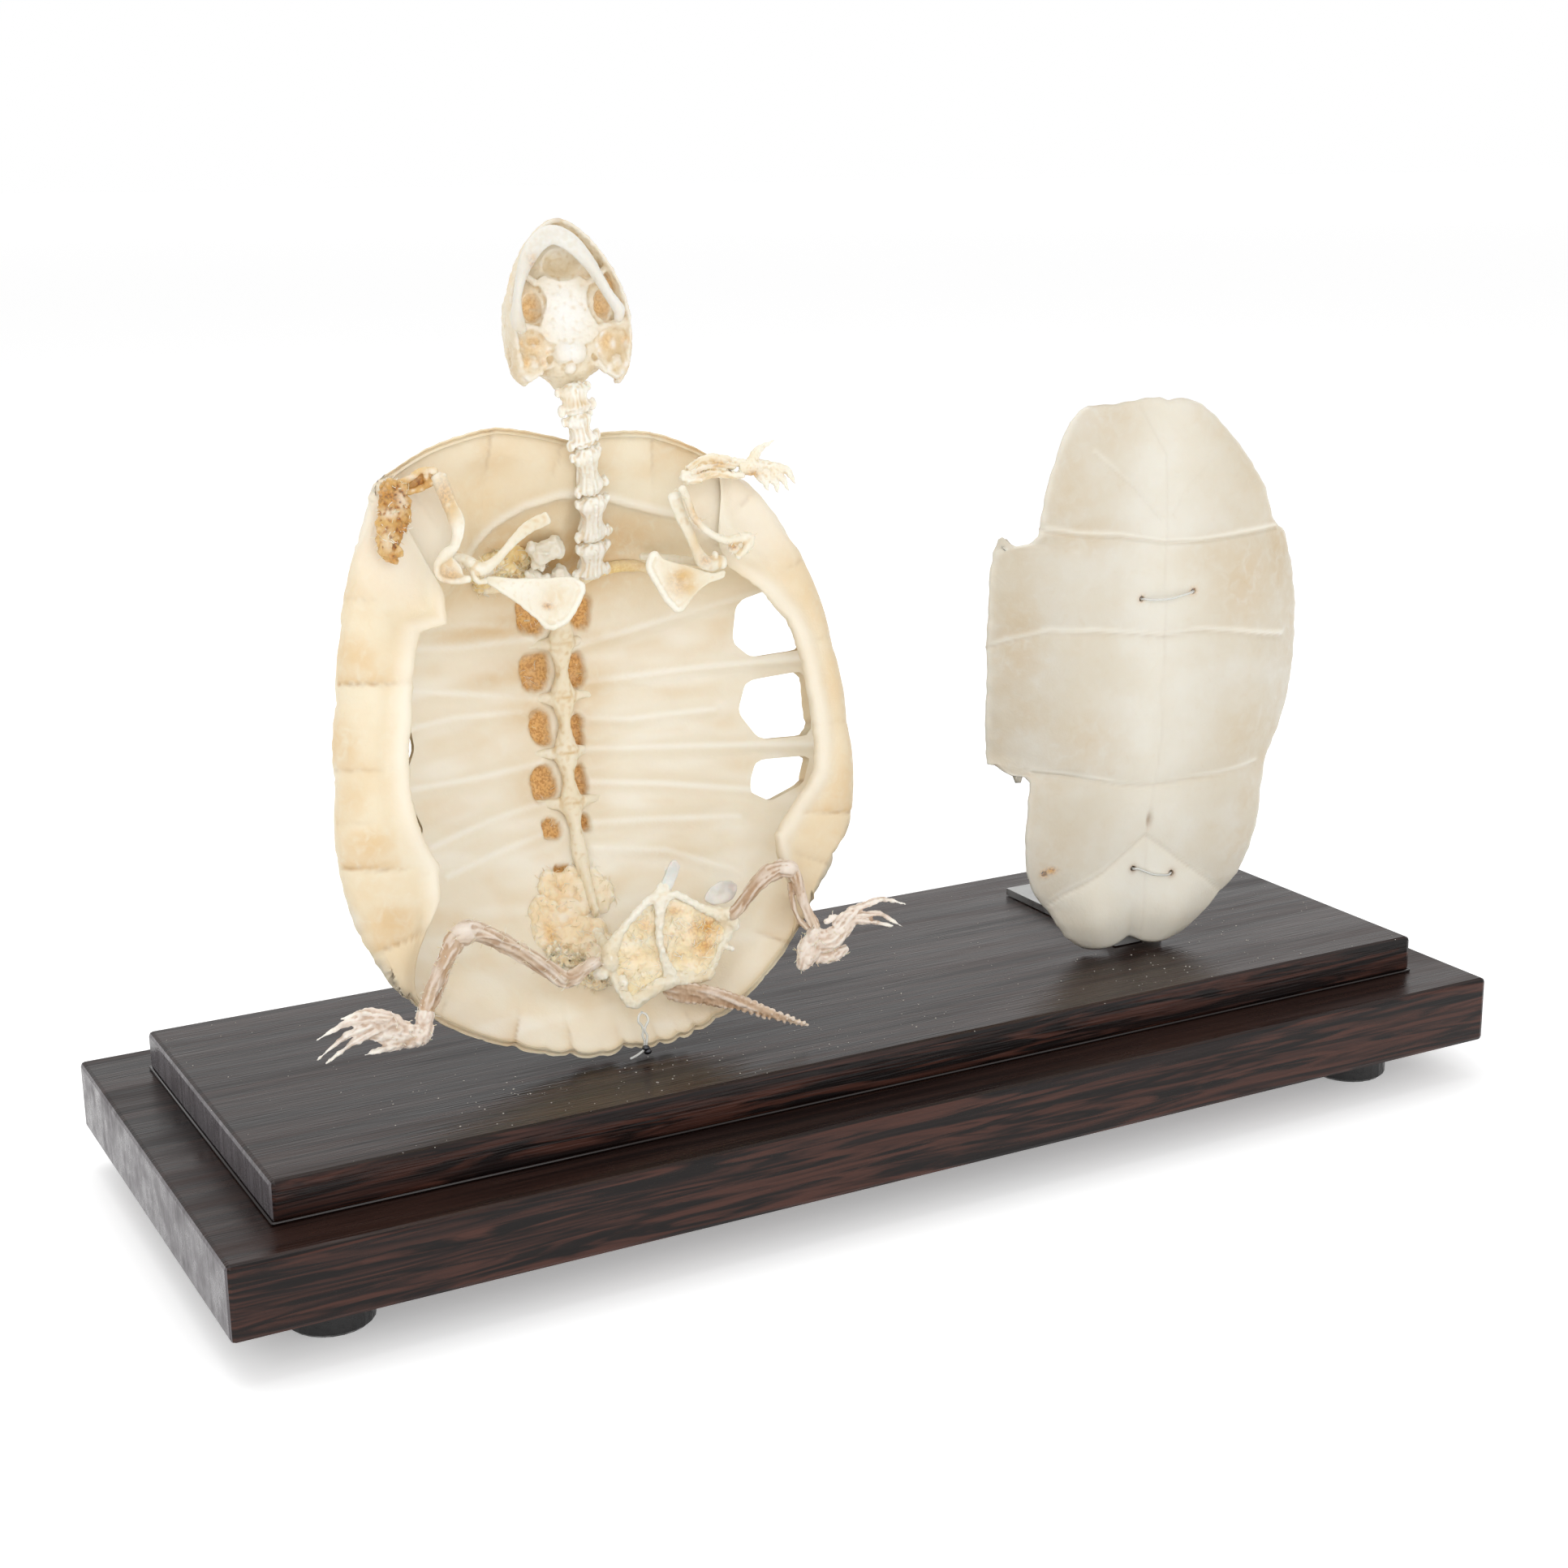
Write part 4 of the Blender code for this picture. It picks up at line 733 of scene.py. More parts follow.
EDGE_SEAMS = [((-64.5, 118.5), (-52, 116.6), 0.3), ((-68, 98.5), (-48.3, 96.7), 0.75),
    ((-70, 78.3), (-56, 77), 0.4), ((-71, 65.8), (-60, 65), 0.2), ((-71, 55.2), (-53.1, 52.9), 0.8),
    ((-66, 33), (-50.4, 37.2), 0.8), ((-52, 13), (-41, 23), 0.3), ((-33, 4), (-23.7, 16.7), 0.6),
    ((-17, -1), (-14.2, 13), 0.45), ((-3.4, -1), (-3, 9), 0.3), ((6, -1), (6.4, 9), 0.25),
    ((17, 0), (14, 11), 0.3), ((24, 2), (19, 13), 0.3), ((45, 20), (32.4, 27), 0.5),
    ((60, 38), (46, 44), 0.3), ((68, 52), (49, 54), 0.7), ((68, 76), (56, 76), 0.25),
    ((65, 98), (53, 97), 0.25), ((60, 119), (49, 115), 0.3), ((49, 139), (37, 129), 0.35),
    ((20, 155), (21.5, 137), 0.35), ((-2, 154), (-6.2, 141), 0.3), ((-20.4, 158), (-22.4, 132), 0.45),
    ((-46, 150), (-36, 133), 0.3)]
STAINS = [(-60.5, 104, 4.5, 6, 0.62), (-65.5, 84, 3.5, 6.5, 0.6), (-65, 71, 3.5, 4.5, 0.42),
    (-62.5, 60, 6, 4.4, 0.75), (-58.5, 41, 7, 5, 0.7), (59, 60, 4.5, 6, 0.55), (28, 148.5, 9, 3.5, 0.5),
    (59.5, 87, 3.5, 8, 0.42), (-20, 148, 7, 4.5, 0.35), (45, 138, 6, 5, 0.45), (-30, 20, 9, 4, 0.28),
    (-46, 24, 7, 5, 0.3), (56, 106, 4, 8, 0.35), (-58, 118, 4, 6, 0.35), (44, 28, 5, 6, 0.35),
    (5, 148, 9, 4, 0.35), (-42, 143, 8, 6, 0.35)]
# brown stains at the rib roots beside the backbone; the three big patches near (-2, 121), (-12, 128) and (10,
# 127) are warm painted shade in the hollow behind the neck, below the step
BROWN_STAINS_AND_SHADE = [(-9, 96, 9, 6, 0.85), (-15, 95, 10, 3, 0.7), (9, 103, 8, 4, 0.75), (9.5, 90.5, 6, 7, 0.75),
    (-18, 107, 14, 2.6, 0.9), (-8, 84, 9, 14, 0.6), (7, 80, 8, 18, 0.55), (-2, 121, 24, 8, 1.3),
    (-12, 128, 13, 7, 1.1), (10, 127, 14, 7, 1.1), (-9, 66, 7, 10, 0.5), (-12, 109, 9, 6, 0.6),
    (10, 112, 8, 6, 0.6), (-8, 55, 6, 6, 0.4), (8, 60, 4, 8, 0.35), (-25, 84, 14, 2.5, 0.2),
    (20, 52, 16, 2.2, 0.22), (26, 45, 16, 1.8, 0.3), (-30, 60, 14, 2.4, 0.16)]


def to_line(u, v, line):
    """Distance of points (u, v) to a line of straight stretches."""
    near = np.full(np.shape(u), 1e9)
    for (au, av), (bu, bv) in zip(line, line[1:]):
        du, dv = bu - au, bv - av
        t = np.clip(((u - au) * du + (v - av) * dv) / (du * du + dv * dv), 0, 1)
        near = np.minimum(near, np.hypot(u - au - t * du, v - av - t * dv))
    return near


def bell(x, width):
    return np.exp(-(x / width) ** 2)


def pit_share(u, v, grow=1.0):
    share = np.zeros(np.shape(u))
    wander = 1 + 0.06 * np.sin(0.9 * u + 0.5 * v) + 0.05 * np.sin(1.1 * v - 0.6 * u)
    for pu, pv, ru, rv in PITS:
        round_to_square = (abs((u - pu) / ru) ** 2.6 + abs((v - pv) / rv) ** 2.6) ** (1 / 2.6)
        share = np.maximum(share, 1 - smooth_step(0.74, 1.04, wander * round_to_square / grow))
    return share


def ahead_of_step(u, v):
    """1 on the neck side of the step behind the neck, fading out towards the rim."""
    arc_v = np.interp(u, [p[0] for p in ARC], [p[1] for p in ARC], left=118, right=118)
    return smooth_step(-1.0, 0.6, v - arc_v) * (1 - smooth_step(2, 14, v - arc_v)) * (1 - smooth_step(26, 33,
                                                                                                      abs(u)))


def inner_relief(u, v):
    """Height of the inside's ridges and hollows in millimetres."""
    lift = sum((1.3 if rib[0][0] > 0 else 0.9) * bell(to_line(u, v, rib), 2.0) for rib in RIBS)
    pits = pit_share(u, v)
    lift = lift * (1 - pits) - 2.2 * pits
    lift += 2.0 * ahead_of_step(u, v) + 0.45 * bell(to_line(u, v, ARC), 1.3)
    for a, b, strength in EDGE_SEAMS:
        lift -= 0.55 * strength * bell(to_line(u, v, [a, b]), 0.6)
    return lift


SCUTES = [[(-13, 137), (0, 134), (13, 137)], [(-20, 112), (-14, 108), (0, 110), (14, 108), (20, 112)],
    [(-21, 83), (-15, 80), (0, 82), (15, 80), (21, 83)],
    [(-19, 54), (-14, 51), (0, 53), (14, 51), (19, 54)], [(-13, 27), (-9, 24), (0, 26), (9, 24), (13, 27)],
    [(-9, 152), (-13, 137), (-21, 125), (-16, 109), (-22, 96), (-16, 81), (-21, 67), (-15, 52), (-17, 40),
        (-10, 25), (-13, 12)],
    [(9, 152), (13, 137), (21, 125), (16, 109), (22, 96), (16, 81), (21, 67), (15, 52), (17, 40), (10, 25),
        (13, 12)],
    [(-22, 96), (-52, 104)], [(-21, 67), (-57, 66)], [(-17, 40), (-46, 28)], [(22, 96), (50, 102)],
    [(21, 67), (54, 64)], [(17, 40), (42, 26)]]


def margin(turn):
    """Radius of the groove between the side scutes and the edge scutes."""
    return rim_radius(turn) - 13.5 - 1.2 * np.sin(11 * turn)


def scute_groove(u, v):
    """Nearness, 0 to 1, to the grooves that the horny scutes left outside."""
    turn, reach = np.arctan2(u, v - MIDDLE_V), np.hypot(u, v - MIDDLE_V)
    near = np.minimum.reduce([to_line(u, v, line) for line in SCUTES])
    near = np.where(reach > margin(turn), 9.0, near)
    near = np.minimum(near, abs(reach - margin(turn)))
    edge = reach * abs((turn * 12 / math.pi + 0.5) % 1.0 - 0.5) * math.pi / 12
    return bell(np.where(reach > margin(turn), np.minimum(near, edge), near), 0.55)


def outer_relief(u, v):
    rings = 0.10 * np.sin(1.9 * np.minimum.reduce([to_line(u, v, line) for line in SCUTES]))
    ridge = 1.2 * bell(u, 5.0) * (1 - smooth_step(60, 72, abs(v - MIDDLE_V)))
    return ridge + rings - 0.55 * scute_groove(u, v)


print(len(RIBS), "ribs,", len(PITS), "hollows,", len(EDGE_SEAMS), "edge seams")

# %% [markdown]
# ## Building the shell
#
# Rings of the inner skin, two rings round the sawn edge, and rings of the outer skin back to the
# middle make one closed surface. Neighbouring rings with different numbers of points are zipped
# together with triangles. The windows between the ribs are cut afterwards, as the saw did. The rings
# face inwards while they are cut, because the solver leaves one window shut the other way round. The
# cut leaves open edges round the windows, and the faces are turned outwards after it.

# %% Rings, zip and windows
def zip_rings(first, n_first, second, n_second):
    faces, i, j = [], 0, 0
    while i < n_first or j < n_second:
        if j >= n_second or (i < n_first and (i + 1) * n_second <= (j + 1) * n_first):
            faces.append((first + i % n_first, first + (i + 1) % n_first, second + j % n_second))
            i += 1
        else:
            faces.append((first + i % n_first, second + (j + 1) % n_second, second + j % n_second))
            j += 1
    return faces


def ring(table, at, count):
    """Right, up and forward of one ring of a table."""
    turn = -math.pi + 2 * math.pi * np.arange(count) / count
    r = np.interp(turn, TURNS, table[:, at, 0])
    n = np.interp(turn, TURNS, table[:, at, 1])
    return np.stack([r * np.sin(turn), MIDDLE_V + r * np.cos(turn), n], 1), turn


def shell_rings(fine, coarse):
    """All rings of the closed surface as (points, side), side 0 inside and 1 outside."""
    rings = []
    for side, table, relief, gap, order in ((0, inner, inner_relief, fine, 1),
                                            (1, outer, outer_relief, coarse, -1)):
        count = round(88 / gap)
        picks = np.unique(np.linspace(STEPS // count, STEPS - 1, count).round().astype(int))[::order]
        for at in picks:
            around = 2 * math.pi * table[:, at, 0].mean()
            n = round(2 * math.pi * 62 / 0.9) if at == STEPS - 1 else max(10, round(around / gap))
            points, turn = ring(table, at, n)
            u, v = points[:, 0], points[:, 1]
            deep = smooth_step(0.4, -1.6, points[:, 2]) if side == 0 else np.ones(n)
            push = relief(u, v) * deep
            if side == 0:
                push = push + 0.12 * lumps(points, 7.0, 3.0) + 0.05 * lumps(points, 1.8, 5.0)
            else:
                lip_top = smooth_step(-1.0, 1.5, points[:, 2])
                push = -0.12 * lumps(points, 5.0, 4.0) - push * (1 - lip_top)
                for a, b, strength in EDGE_SEAMS:
                    push = push + 0.45 * strength * lip_top * bell(to_line(u, v, [a, b]), 0.6)
                past_saw = np.hypot(u, v - MIDDLE_V) - np.interp(turn, *LIP_POLAR, period=2 * math.pi)
                push = push + lip_top * lip_share(turn) * (
                    0.45 * bell(past_saw - 5.2, 1.7) - 0.5 * bell(past_saw - 1.6, 1.7))
            dr = np.interp(turn, TURNS, outward[:, at, 0])
            dn = np.interp(turn, TURNS, outward[:, at, 1])
            away = np.stack([dr * np.sin(turn), dr * np.cos(turn), dn], 1)
            rings.append((points - away * push[:, None], side))
        if side == 0:
            n = len(rings[-1][0])
            low, high = ring(inner, STEPS - 1, n)[0], ring(outer, STEPS - 1, n)[0]
            turn = -math.pi + 2 * math.pi * np.arange(n) / n
            rough_edge = lip_share(turn) * (0.35 * lumps(high, 1.6, 9.0) + 0.4 * lumps(high, 5.0, 2.0))
            inwards = np.stack([np.sin(turn), np.cos(turn), 0 * turn], 1)
            for share in (0.25, 0.75):
                middle = low * (1 - share) + high * share
                rings.append((middle - inwards * (0.45 + rough_edge)[:, None], 1))
    return rings


rings = shell_rings(0.72, 1.0)
points = np.vstack([[[0, MIDDLE_V, -DEPTH]]] + [r[0] for r in rings] + [[[0, MIDDLE_V, -DEPTH - THICK]]])
starts = 1 + np.concatenate([[0], np.cumsum([len(r[0]) for r in rings])])
faces = [(0, 1 + (k + 1) % len(rings[0][0]), 1 + k) for k in range(len(rings[0][0]))]
for i in range(len(rings) - 1):
    faces += [f[::-1] for f in zip_rings(starts[i], len(rings[i][0]), starts[i + 1], len(rings[i + 1][0]))]
n_last = len(rings[-1][0])
faces += [(starts[-1], starts[-2] + k, starts[-2] + (k + 1) % n_last) for k in range(n_last)]
shell = raw_object("shell", [(put(SHELL, points), faces)])
print("shell rings", len(rings), "points", len(points))

# %% Windows between the ribs
WINDOWS = [[(45.0, 109), (52, 111.5), (57, 107), (59, 95), (48.4, 94), (44.6, 98.5)],
    [(47.5, 88), (59, 89.5), (59.5, 72.5), (49.5, 72.3), (45.5, 80)],
    [(48.5, 67), (59, 67.3), (57, 60), (50, 56), (45.5, 59)]]


def rounded(outline, cut=0.28, rounds=2):
    """Cut the corners of a closed outline a few times."""
    for _ in range(rounds):
        outline = [
            tuple(a[k] * (1 - s) + b[k] * s for k in (0, 1))
                for a, b in zip(outline, outline[1:] + outline[:1]) for s in (cut, 1 - cut)]
    return outline


holes = []
for outline in WINDOWS:
    for hand, shift in ((1, 0), (-1, 5)):
        traced = rounded([(hand * u + shift, v) for u, v in outline], 0.12)
        holes.append(leaf(SHELL, traced, lambda u, v: -26.0, 24.0))
carve(shell, holes)
shell.data.flip_normals()

# marks of the shell: seen from inside, on the turned-in rim, and outside
p = measure(SHELL, points_of(shell.data))
u, v, n = p.T
turn, reach = np.arctan2(u, v - MIDDLE_V), np.hypot(u, v - MIDDLE_V)
facing = np.empty(len(p) * 3)
shell.data.vertices.foreach_get("normal", facing)
inside = smooth_step(-0.05, 0.12, facing.reshape(-1, 3) @ SHELL[3]) * smooth_step(1.0, -1.5, n)
on_rim = smooth_step(-9.0, -3.0, n) * np.maximum(smooth_step(0.5, 2.0, n), lip_share(turn) < 0.5)
marks = np.zeros((len(p), 4))
cloudy = 0.5 + 0.5 * lumps(p, 9.0, 7.0)
for pu, pv, ru, rv, strength in STAINS:
    soft = strength * np.exp(-np.hypot((u - pu) / ru, (v - pv) / rv) ** 3)
    marks[:, 0] = np.maximum(marks[:, 0], soft * smooth_step(-12.0, -6.0, n))
    marks[:, 1] = np.maximum(marks[:, 1], 0.13 * soft * cloudy * smooth_step(-12.0, -6.0, n))
# brown stains, and warm painted shade in the hollow behind the neck
for pu, pv, ru, rv, strength in BROWN_STAINS_AND_SHADE:
    soft = inside * strength * bell(np.hypot((u - pu) / ru, (v - pv) / rv), 1.0) * (0.55 + 0.6 * cloudy)
    marks[:, 0] = np.maximum(marks[:, 0], soft)
    marks[:, 1] = np.maximum(marks[:, 1], 0.12 * soft)
for (au, av), (bu, bv), strength in EDGE_SEAMS:
    long = math.hypot(bu - au, bv - av)
    along = ((u - au) * (bu - au) + (v - av) * (bv - av)) / long ** 2
    above_it = ((v - av) * (bu - au) - (u - au) * (bv - av)) / long * math.copysign(1, bu - au)
    zone = strength * np.exp(-np.maximum(above_it, 0) / 3.6) * smooth_step(-0.25, 0.1, above_it)
    zone *= smooth_step(-0.3, 0.0, along) * smooth_step(1.25, 0.5, along) * on_rim
    marks[:, 0] = np.maximum(marks[:, 0], 1.15 * zone)
    near = to_line(u, v, [(au, av), (bu, bv)])
    marks[:, 1] += (0.42 * strength * bell(near, 0.38) * smooth_step(1.1, 0.4, along) + 0.16 * zone) * on_rim
pits = pit_share(u, v) * inside
marks[:, 2] = np.maximum(marks[:, 2], pits * (1.0 + 0.5 * lumps(p, 2.0, 1.0)))
marks[:, 0] = np.maximum(marks[:, 0], pits)
# painted light across the ribs: a white painted highlight on the rib tops and tan painted shade between the
# ribs, over a cloudy tone
rib_top_highlight = np.maximum.reduce([bell(to_line(u, v, rib), 1.5) for rib in RIBS])
between = np.minimum.reduce([to_line(u, v, rib) for rib in RIBS])
marks[:, 0] = np.maximum(marks[:, 0],
    0.34 * inside * smooth_step(2.0, 5.5, between) * smooth_step(0.35, 0.75, cloudy) * (1 - pits))
# The inside is painted whiter: partly the ivory of the bone, partly painted light that lifts the shade in the
# hollow of the bowl.
ivory_and_painted_light = np.maximum(0.55 + 0.3 * smooth_step(0.45, 0.75, 0.5 + 0.5 * lumps(p * (0.4, 1.6, 1), 9.0, 12.0)),
    rib_top_highlight)
# painted shade: the white fades out towards the neck end of the hollow (v 104 to 122)
marks[:, 3] = inside * ivory_and_painted_light * (1 - pits) * (1 - 0.95 * marks[:, 0]) * (
    1 - 0.8 * smooth_step(104, 122, v + 0.1 * abs(u)))
marks[:, 3] = np.maximum(marks[:, 3], 0.55 * filled(u, v) * smooth_step(-9, -3, n))
# painted highlight along the edge of the step behind the neck
marks[:, 3] = np.maximum(marks[:, 3], 0.7 * inside * bell(to_line(u, v, ARC), 1.3))
past_saw = reach - np.interp(turn, *LIP_POLAR, period=2 * math.pi)
marks[:, 3] = np.maximum(marks[:, 3],
    0.45 * lip_share(turn) * smooth_step(0.5, 2.5, n) * bell(past_saw - 1.5, 2.6))
marks[:, 0] = np.maximum(marks[:, 0], 0.30 * inside * smooth_step(60, 72, reach) * cloudy)
marks[:, 1] += on_rim * (
    0.05 + 0.10 * smooth_step(34, 12, v) * smooth_step(-20, -44, u) + 0.07 * smooth_step(30, 48, u))
marks[:, 0] = np.maximum(marks[:, 0], 0.30 * on_rim * smooth_step(0.5, 5.0, past_saw) * cloudy)
outside = (1 - inside) * smooth_step(-4.0, -8.0, n) * (n < bowl(u, v) + 0.5)
marks[:, 1] += 0.45 * scute_groove(u, v) * outside
marks[:, 0] = np.maximum(marks[:, 0], outside * 0.7 * cloudy * smooth_step(0.2, 0.9, cloudy))
sacrum = inside * bell(np.hypot((u + 5) / 12, (v - 33) / 12), 1.0)
marks[:, 2] = np.maximum(marks[:, 2], sacrum * (0.20 + 0.40 * lumps(p, 3.0, 6.0)))
paint(shell, marks)
settle_down(shell, shell_look, "shell_bone", "carapace")

# %% [markdown]
# ## The belly plate
#
# The belly plate is a flat, slightly dished plate with a sawn wing on each side, where it once joined
# the shell. We sweep one cross-section upwards: its middle, its half width and how far its sides bend
# back all change with height. Shallow grooves cross it where the horny scutes met, and a finer seam
# wanders down its middle.

# %% Outline and relief of the belly plate
PLATE_EDGES = np.array(
    [(0.5, -16.0, 9.5, 2.5, 2.5), (2.0, -18.8, 14.8, 2.5, 2.5), (4, -21.3, 18, 2.5, 2.5),
        (8, -24.0, 23.2, 2.5, 2.5), (12, -26.4, 27.6, 3, 3), (16.5, -30.2, 32.2, 3, 3),
        (24, -33, 35.6, 3, 3), (33, -33.6, 38.0, 3, 3.5), (43, -32.9, 39.6, 3.5, 5),
        (49.2, -32.2, 41.4, 4, 7), (50.6, -33.4, 42.2, 5, 7.6), (52, -39.5, 43.4, 9, 8.4),
        (53.4, -41.8, 44.6, 11, 9.4), (56, -42.0, 46.6, 12, 10.6), (60, -42.1, 48.4, 12, 11.4),
        (67, -42.2, 50.4, 12, 12), (79, -42.2, 51.2, 12, 12), (91, -42.2, 50.8, 12, 12),
        (102, -42.1, 49.0, 12, 11.6), (108, -41.8, 47.0, 12, 11), (111, -41.2, 45.6, 12, 10),
        (112.6, -40.0, 44.4, 11, 9), (113.8, -36.4, 43.0, 8, 7.6), (114.8, -33.0, 41.4, 6, 6.6),
        (117, -31.4, 38.8, 4, 5), (127, -30.8, 34.2, 3, 3), (134, -29.1, 29.5, 3, 3),
        (141, -27.1, 23.5, 2.5, 2.5), (147, -24.5, 17.5, 2, 2), (150, -22.0, 13.4, 1.6, 1.6),
        (151.3, -19.6, 9.4, 1.5, 1.5)])
PLATE_THICK = 2.2
GROOVES = [
    (
        [(-31.4, 118.8), (-22, 117.1), (-10.3, 116.3), (2.9, 113.7), (13.8, 113.4), (25.9, 114.4),
            (39.4, 114.6)],
        1.0),
    (
        [(-46.2, 83.9), (-37.5, 88.1), (-28.2, 91.1), (-16.4, 90.8), (-4.4, 89.2), (3.9, 87.9),
            (15.1, 88.8), (27.5, 87.3), (43.9, 83.8)],
        1.0),
    (
        [(-31.7, 52), (-24.5, 51.3), (-16, 49.5), (-7.4, 47.3), (2.4, 45.9), (14.8, 47), (22.2, 47.4),
            (36.1, 48.4)],
        0.9),
    ([(-29, 12), (-23.4, 16.9), (-11.4, 22.6), (1.1, 31.9), (11.5, 24), (21.4, 16.6), (27, 11.3)], 0.8),
    ([(-18.2, 138.7), (-6.6, 129), (1.4, 120.4)], 0.5), ([(17.4, 136.8), (9, 129), (5, 121)], 0.25)]
MIDLINE = [(-6, 151), (2.3, 137.6), (3.4, 124), (3.9, 115.9), (3.6, 106), (4.2, 98.1), (4.7, 86),
    (4.2, 73.3), (4.8, 60), (3.6, 48.1), (2.6, 41), (2.1, 36.1), (1.4, 27), (1.1, 20.1), (0.4, 10),
    (-0.1, 1.5)]
TAN_PLATE = [(28, 102, 10, 12, 0.55), (-36, 88, 6, 14, 0.5), (-20, 117, 12, 5, 0.42),
    (19, 110, 14, 6, 0.35), (-18, 60, 12, 10, 0.32), (-14, 147, 10, 8, 0.35), (41, 110, 5, 12, 0.6),
    (30, 134, 8, 10, 0.3), (-24, 128, 8, 9, 0.3), (30, 58, 10, 10, 0.28), (-24, 30, 8, 9, 0.25),
    (-33, 68, 6, 6, 0.3), (12, 8, 12, 6, 0.2)]
PLATE_HOLES = [(-3.1, 99.1), (12.1, 100.2), (-2.5, 22.8), (9.1, 20.4), (-28.5, 23.5)]


def plate_section(v):
    return [np.interp(v, PLATE_EDGES[:, 0], PLATE_EDGES[:, k]) for k in (1, 2, 3, 4)]


def plate_relief(u, v):
    lift = -0.10 * bell(to_line(u, v, MIDLINE), 0.35) * (1 + 0.6 * np.sin(2.1 * v))
    for line, strength in GROOVES:
        near = to_line(u, v, line)
        lift = lift - 0.60 * strength * bell(near, 0.5) - 0.45 * strength * bell(near, 3.6)
    lift += (3.0 * bell(np.hypot((u + 12.5) / 8.5, (v - 8.5) / 10), 1.0)
             + 2.9 * bell(np.hypot((u - 8) / 9.5, (v - 8.5) / 10), 1.0))
    lift -= 0.8 * bell(u + 2.6, 1.6) * smooth_step(16, 3, v)
    lift += (0.6 * bell(np.hypot((u + 14) / 12, (v - 131) / 12), 1.0)
             + 0.6 * bell(np.hypot((u - 17) / 12, (v - 130) / 12), 1.0))
    lift += (0.8 * bell(v - 70, 22.0) * (bell(u + 20, 14.0) + bell(u - 26, 14.0))
             - 0.6 * bell(u - 3.5, 5.0) * bell(v - 75, 50.0))
    return lift - 1.1 * bell(np.hypot((u - 2.1) / 0.7, (v - 36.1) / 2.2), 1.0)


across = np.sin(np.linspace(-1, 1, 149) * math.pi / 2 * 0.72) / math.sin(math.pi / 2 * 0.72)
upward = np.unique(
    np.concatenate([np.linspace(0.5, 151.3, 215), np.linspace(49, 54, 14), np.linspace(111, 118, 16)]))
print(len(across), "by", len(upward), "points on the belly plate")

# %% Belly plate mesh
s, v = np.meshgrid(across, upward)
left, right, bend_left, bend_right = plate_section(v)
middle = np.interp(v, [0, 50, 110, 151], [-2.8, 4.2, 3.6, -4.6])
u = np.where(s < 0, middle - s * (left - middle), middle + s * (right - middle))
back = np.where(s < 0, bend_left, bend_right) * np.maximum((abs(s) - 0.5) / 0.5, 0) ** 1.6
v_shaped = (v
            + 2.0 * bell(u + 3.0, 3.4) * smooth_step(7, 0, v)
            - 0.5 * (bell(u + 14, 4.0) + bell(u - 7, 4.0)) * smooth_step(7, 0, v))
v_shaped += (3.4 * bell(u + 39.4, 1.7) * bell(v - 112.6, 2.2)
             + 0.12 * np.sin(1.1 * u) * smooth_step(146, 151, v))
v_shaped += (1.5 * bell(u + 1, 9.0) * smooth_step(146, 151, v)
             - 0.8 * bell(u - 2.4, 1.6) * smooth_step(146, 151, v))
v_shaped -= 1.2 * bell(u + 36, 1.6) * bell(v - 52.5, 1.4) - 0.9 * bell(u + 40, 1.2) * bell(v - 52.5, 1.4)
edge = np.minimum.reduce([u - left, right - u, v - 0.5, 151.3 - v])
rounding = 1.0 * (1 - np.sqrt(1 - (1 - np.clip(edge / 1.8, 0, 1)) ** 2 * 0.98))
rows = np.stack([u, v_shaped, -back + plate_relief(u, v) - rounding], 2).reshape(-1, 3)
rows[:, 0] += (0.35 * lumps(rows, 3.0, 4.0) * smooth_step(0.9, 1.0, abs(s.ravel())))
rows[:, 2] += 0.12 * lumps(rows, 8.0, 1.0) + 0.035 * lumps(rows, 1.6, 2.0)
wide = len(across)
faces = [
    (r * wide + k, r * wide + k + 1, (r + 1) * wide + k + 1, (r + 1) * wide + k)
        for r in range(len(upward) - 1) for k in range(wide - 1)]
plate = raw_object("belly_plate", [(put(PLATE, rows), faces)])
thick = plate.modifiers.new("thickness", "SOLIDIFY")
thick.thickness = PLATE_THICK * MM
thick.offset = -1.0 if plate.data.polygons[100].normal.dot(Vector(PLATE[3])) > 0 else 1.0
apply_all(plate)
carve(plate, [bar(PLATE, [(hu, hv, 4, 0.8, 0.8), (hu, hv, -9, 0.8, 0.8)], 12, 3.0, PLATE[2])
              for hu, hv in PLATE_HOLES])

p = measure(PLATE, points_of(plate.data))
u, v, n = p.T
front = smooth_step(-1.4, -0.6, n - np.interp(abs(u), [0, 20, 46], [0, 0, -12]) + 0.4)
marks = np.zeros((len(p), 4))
cloudy = 0.5 + 0.5 * lumps(p, 7.0, 3.0)
for pu, pv, ru, rv, strength in TAN_PLATE:
    marks[:, 0] = np.maximum(marks[:, 0], strength * bell(np.hypot((u - pu) / ru, (v - pv) / rv), 1.1))
for line, strength in GROOVES:
    near = to_line(u, v, line)
    marks[:, 0] = np.maximum(marks[:, 0], 0.22 * strength * bell(near, 2.6) * (0.3 + cloudy))
    marks[:, 1] += 0.10 * strength * bell(near, 0.35) * (0.4 + cloudy)
marks[:, 0] = np.maximum(marks[:, 0], 0.16 * cloudy)
rim_near = np.minimum(u - np.interp(v, PLATE_EDGES[:, 0], PLATE_EDGES[:, 1]),
    np.interp(v, PLATE_EDGES[:, 0], PLATE_EDGES[:, 2]) - u)
marks[:, 0] = np.maximum(marks[:, 0], 0.42 * bell(rim_near - 4, 6.0) * cloudy)
wedge = smooth_step(0.5, -1.0, v - np.interp(u, *np.array(GROOVES[3][0]).T))
marks[:, 3] = np.maximum(0.40 * bell(u - 3, 14.0) * (1 - marks[:, 0]), 0.35 * wedge)
marks[:, 3] = np.maximum(marks[:, 3], 0.5 * bell(rim_near, 1.0))
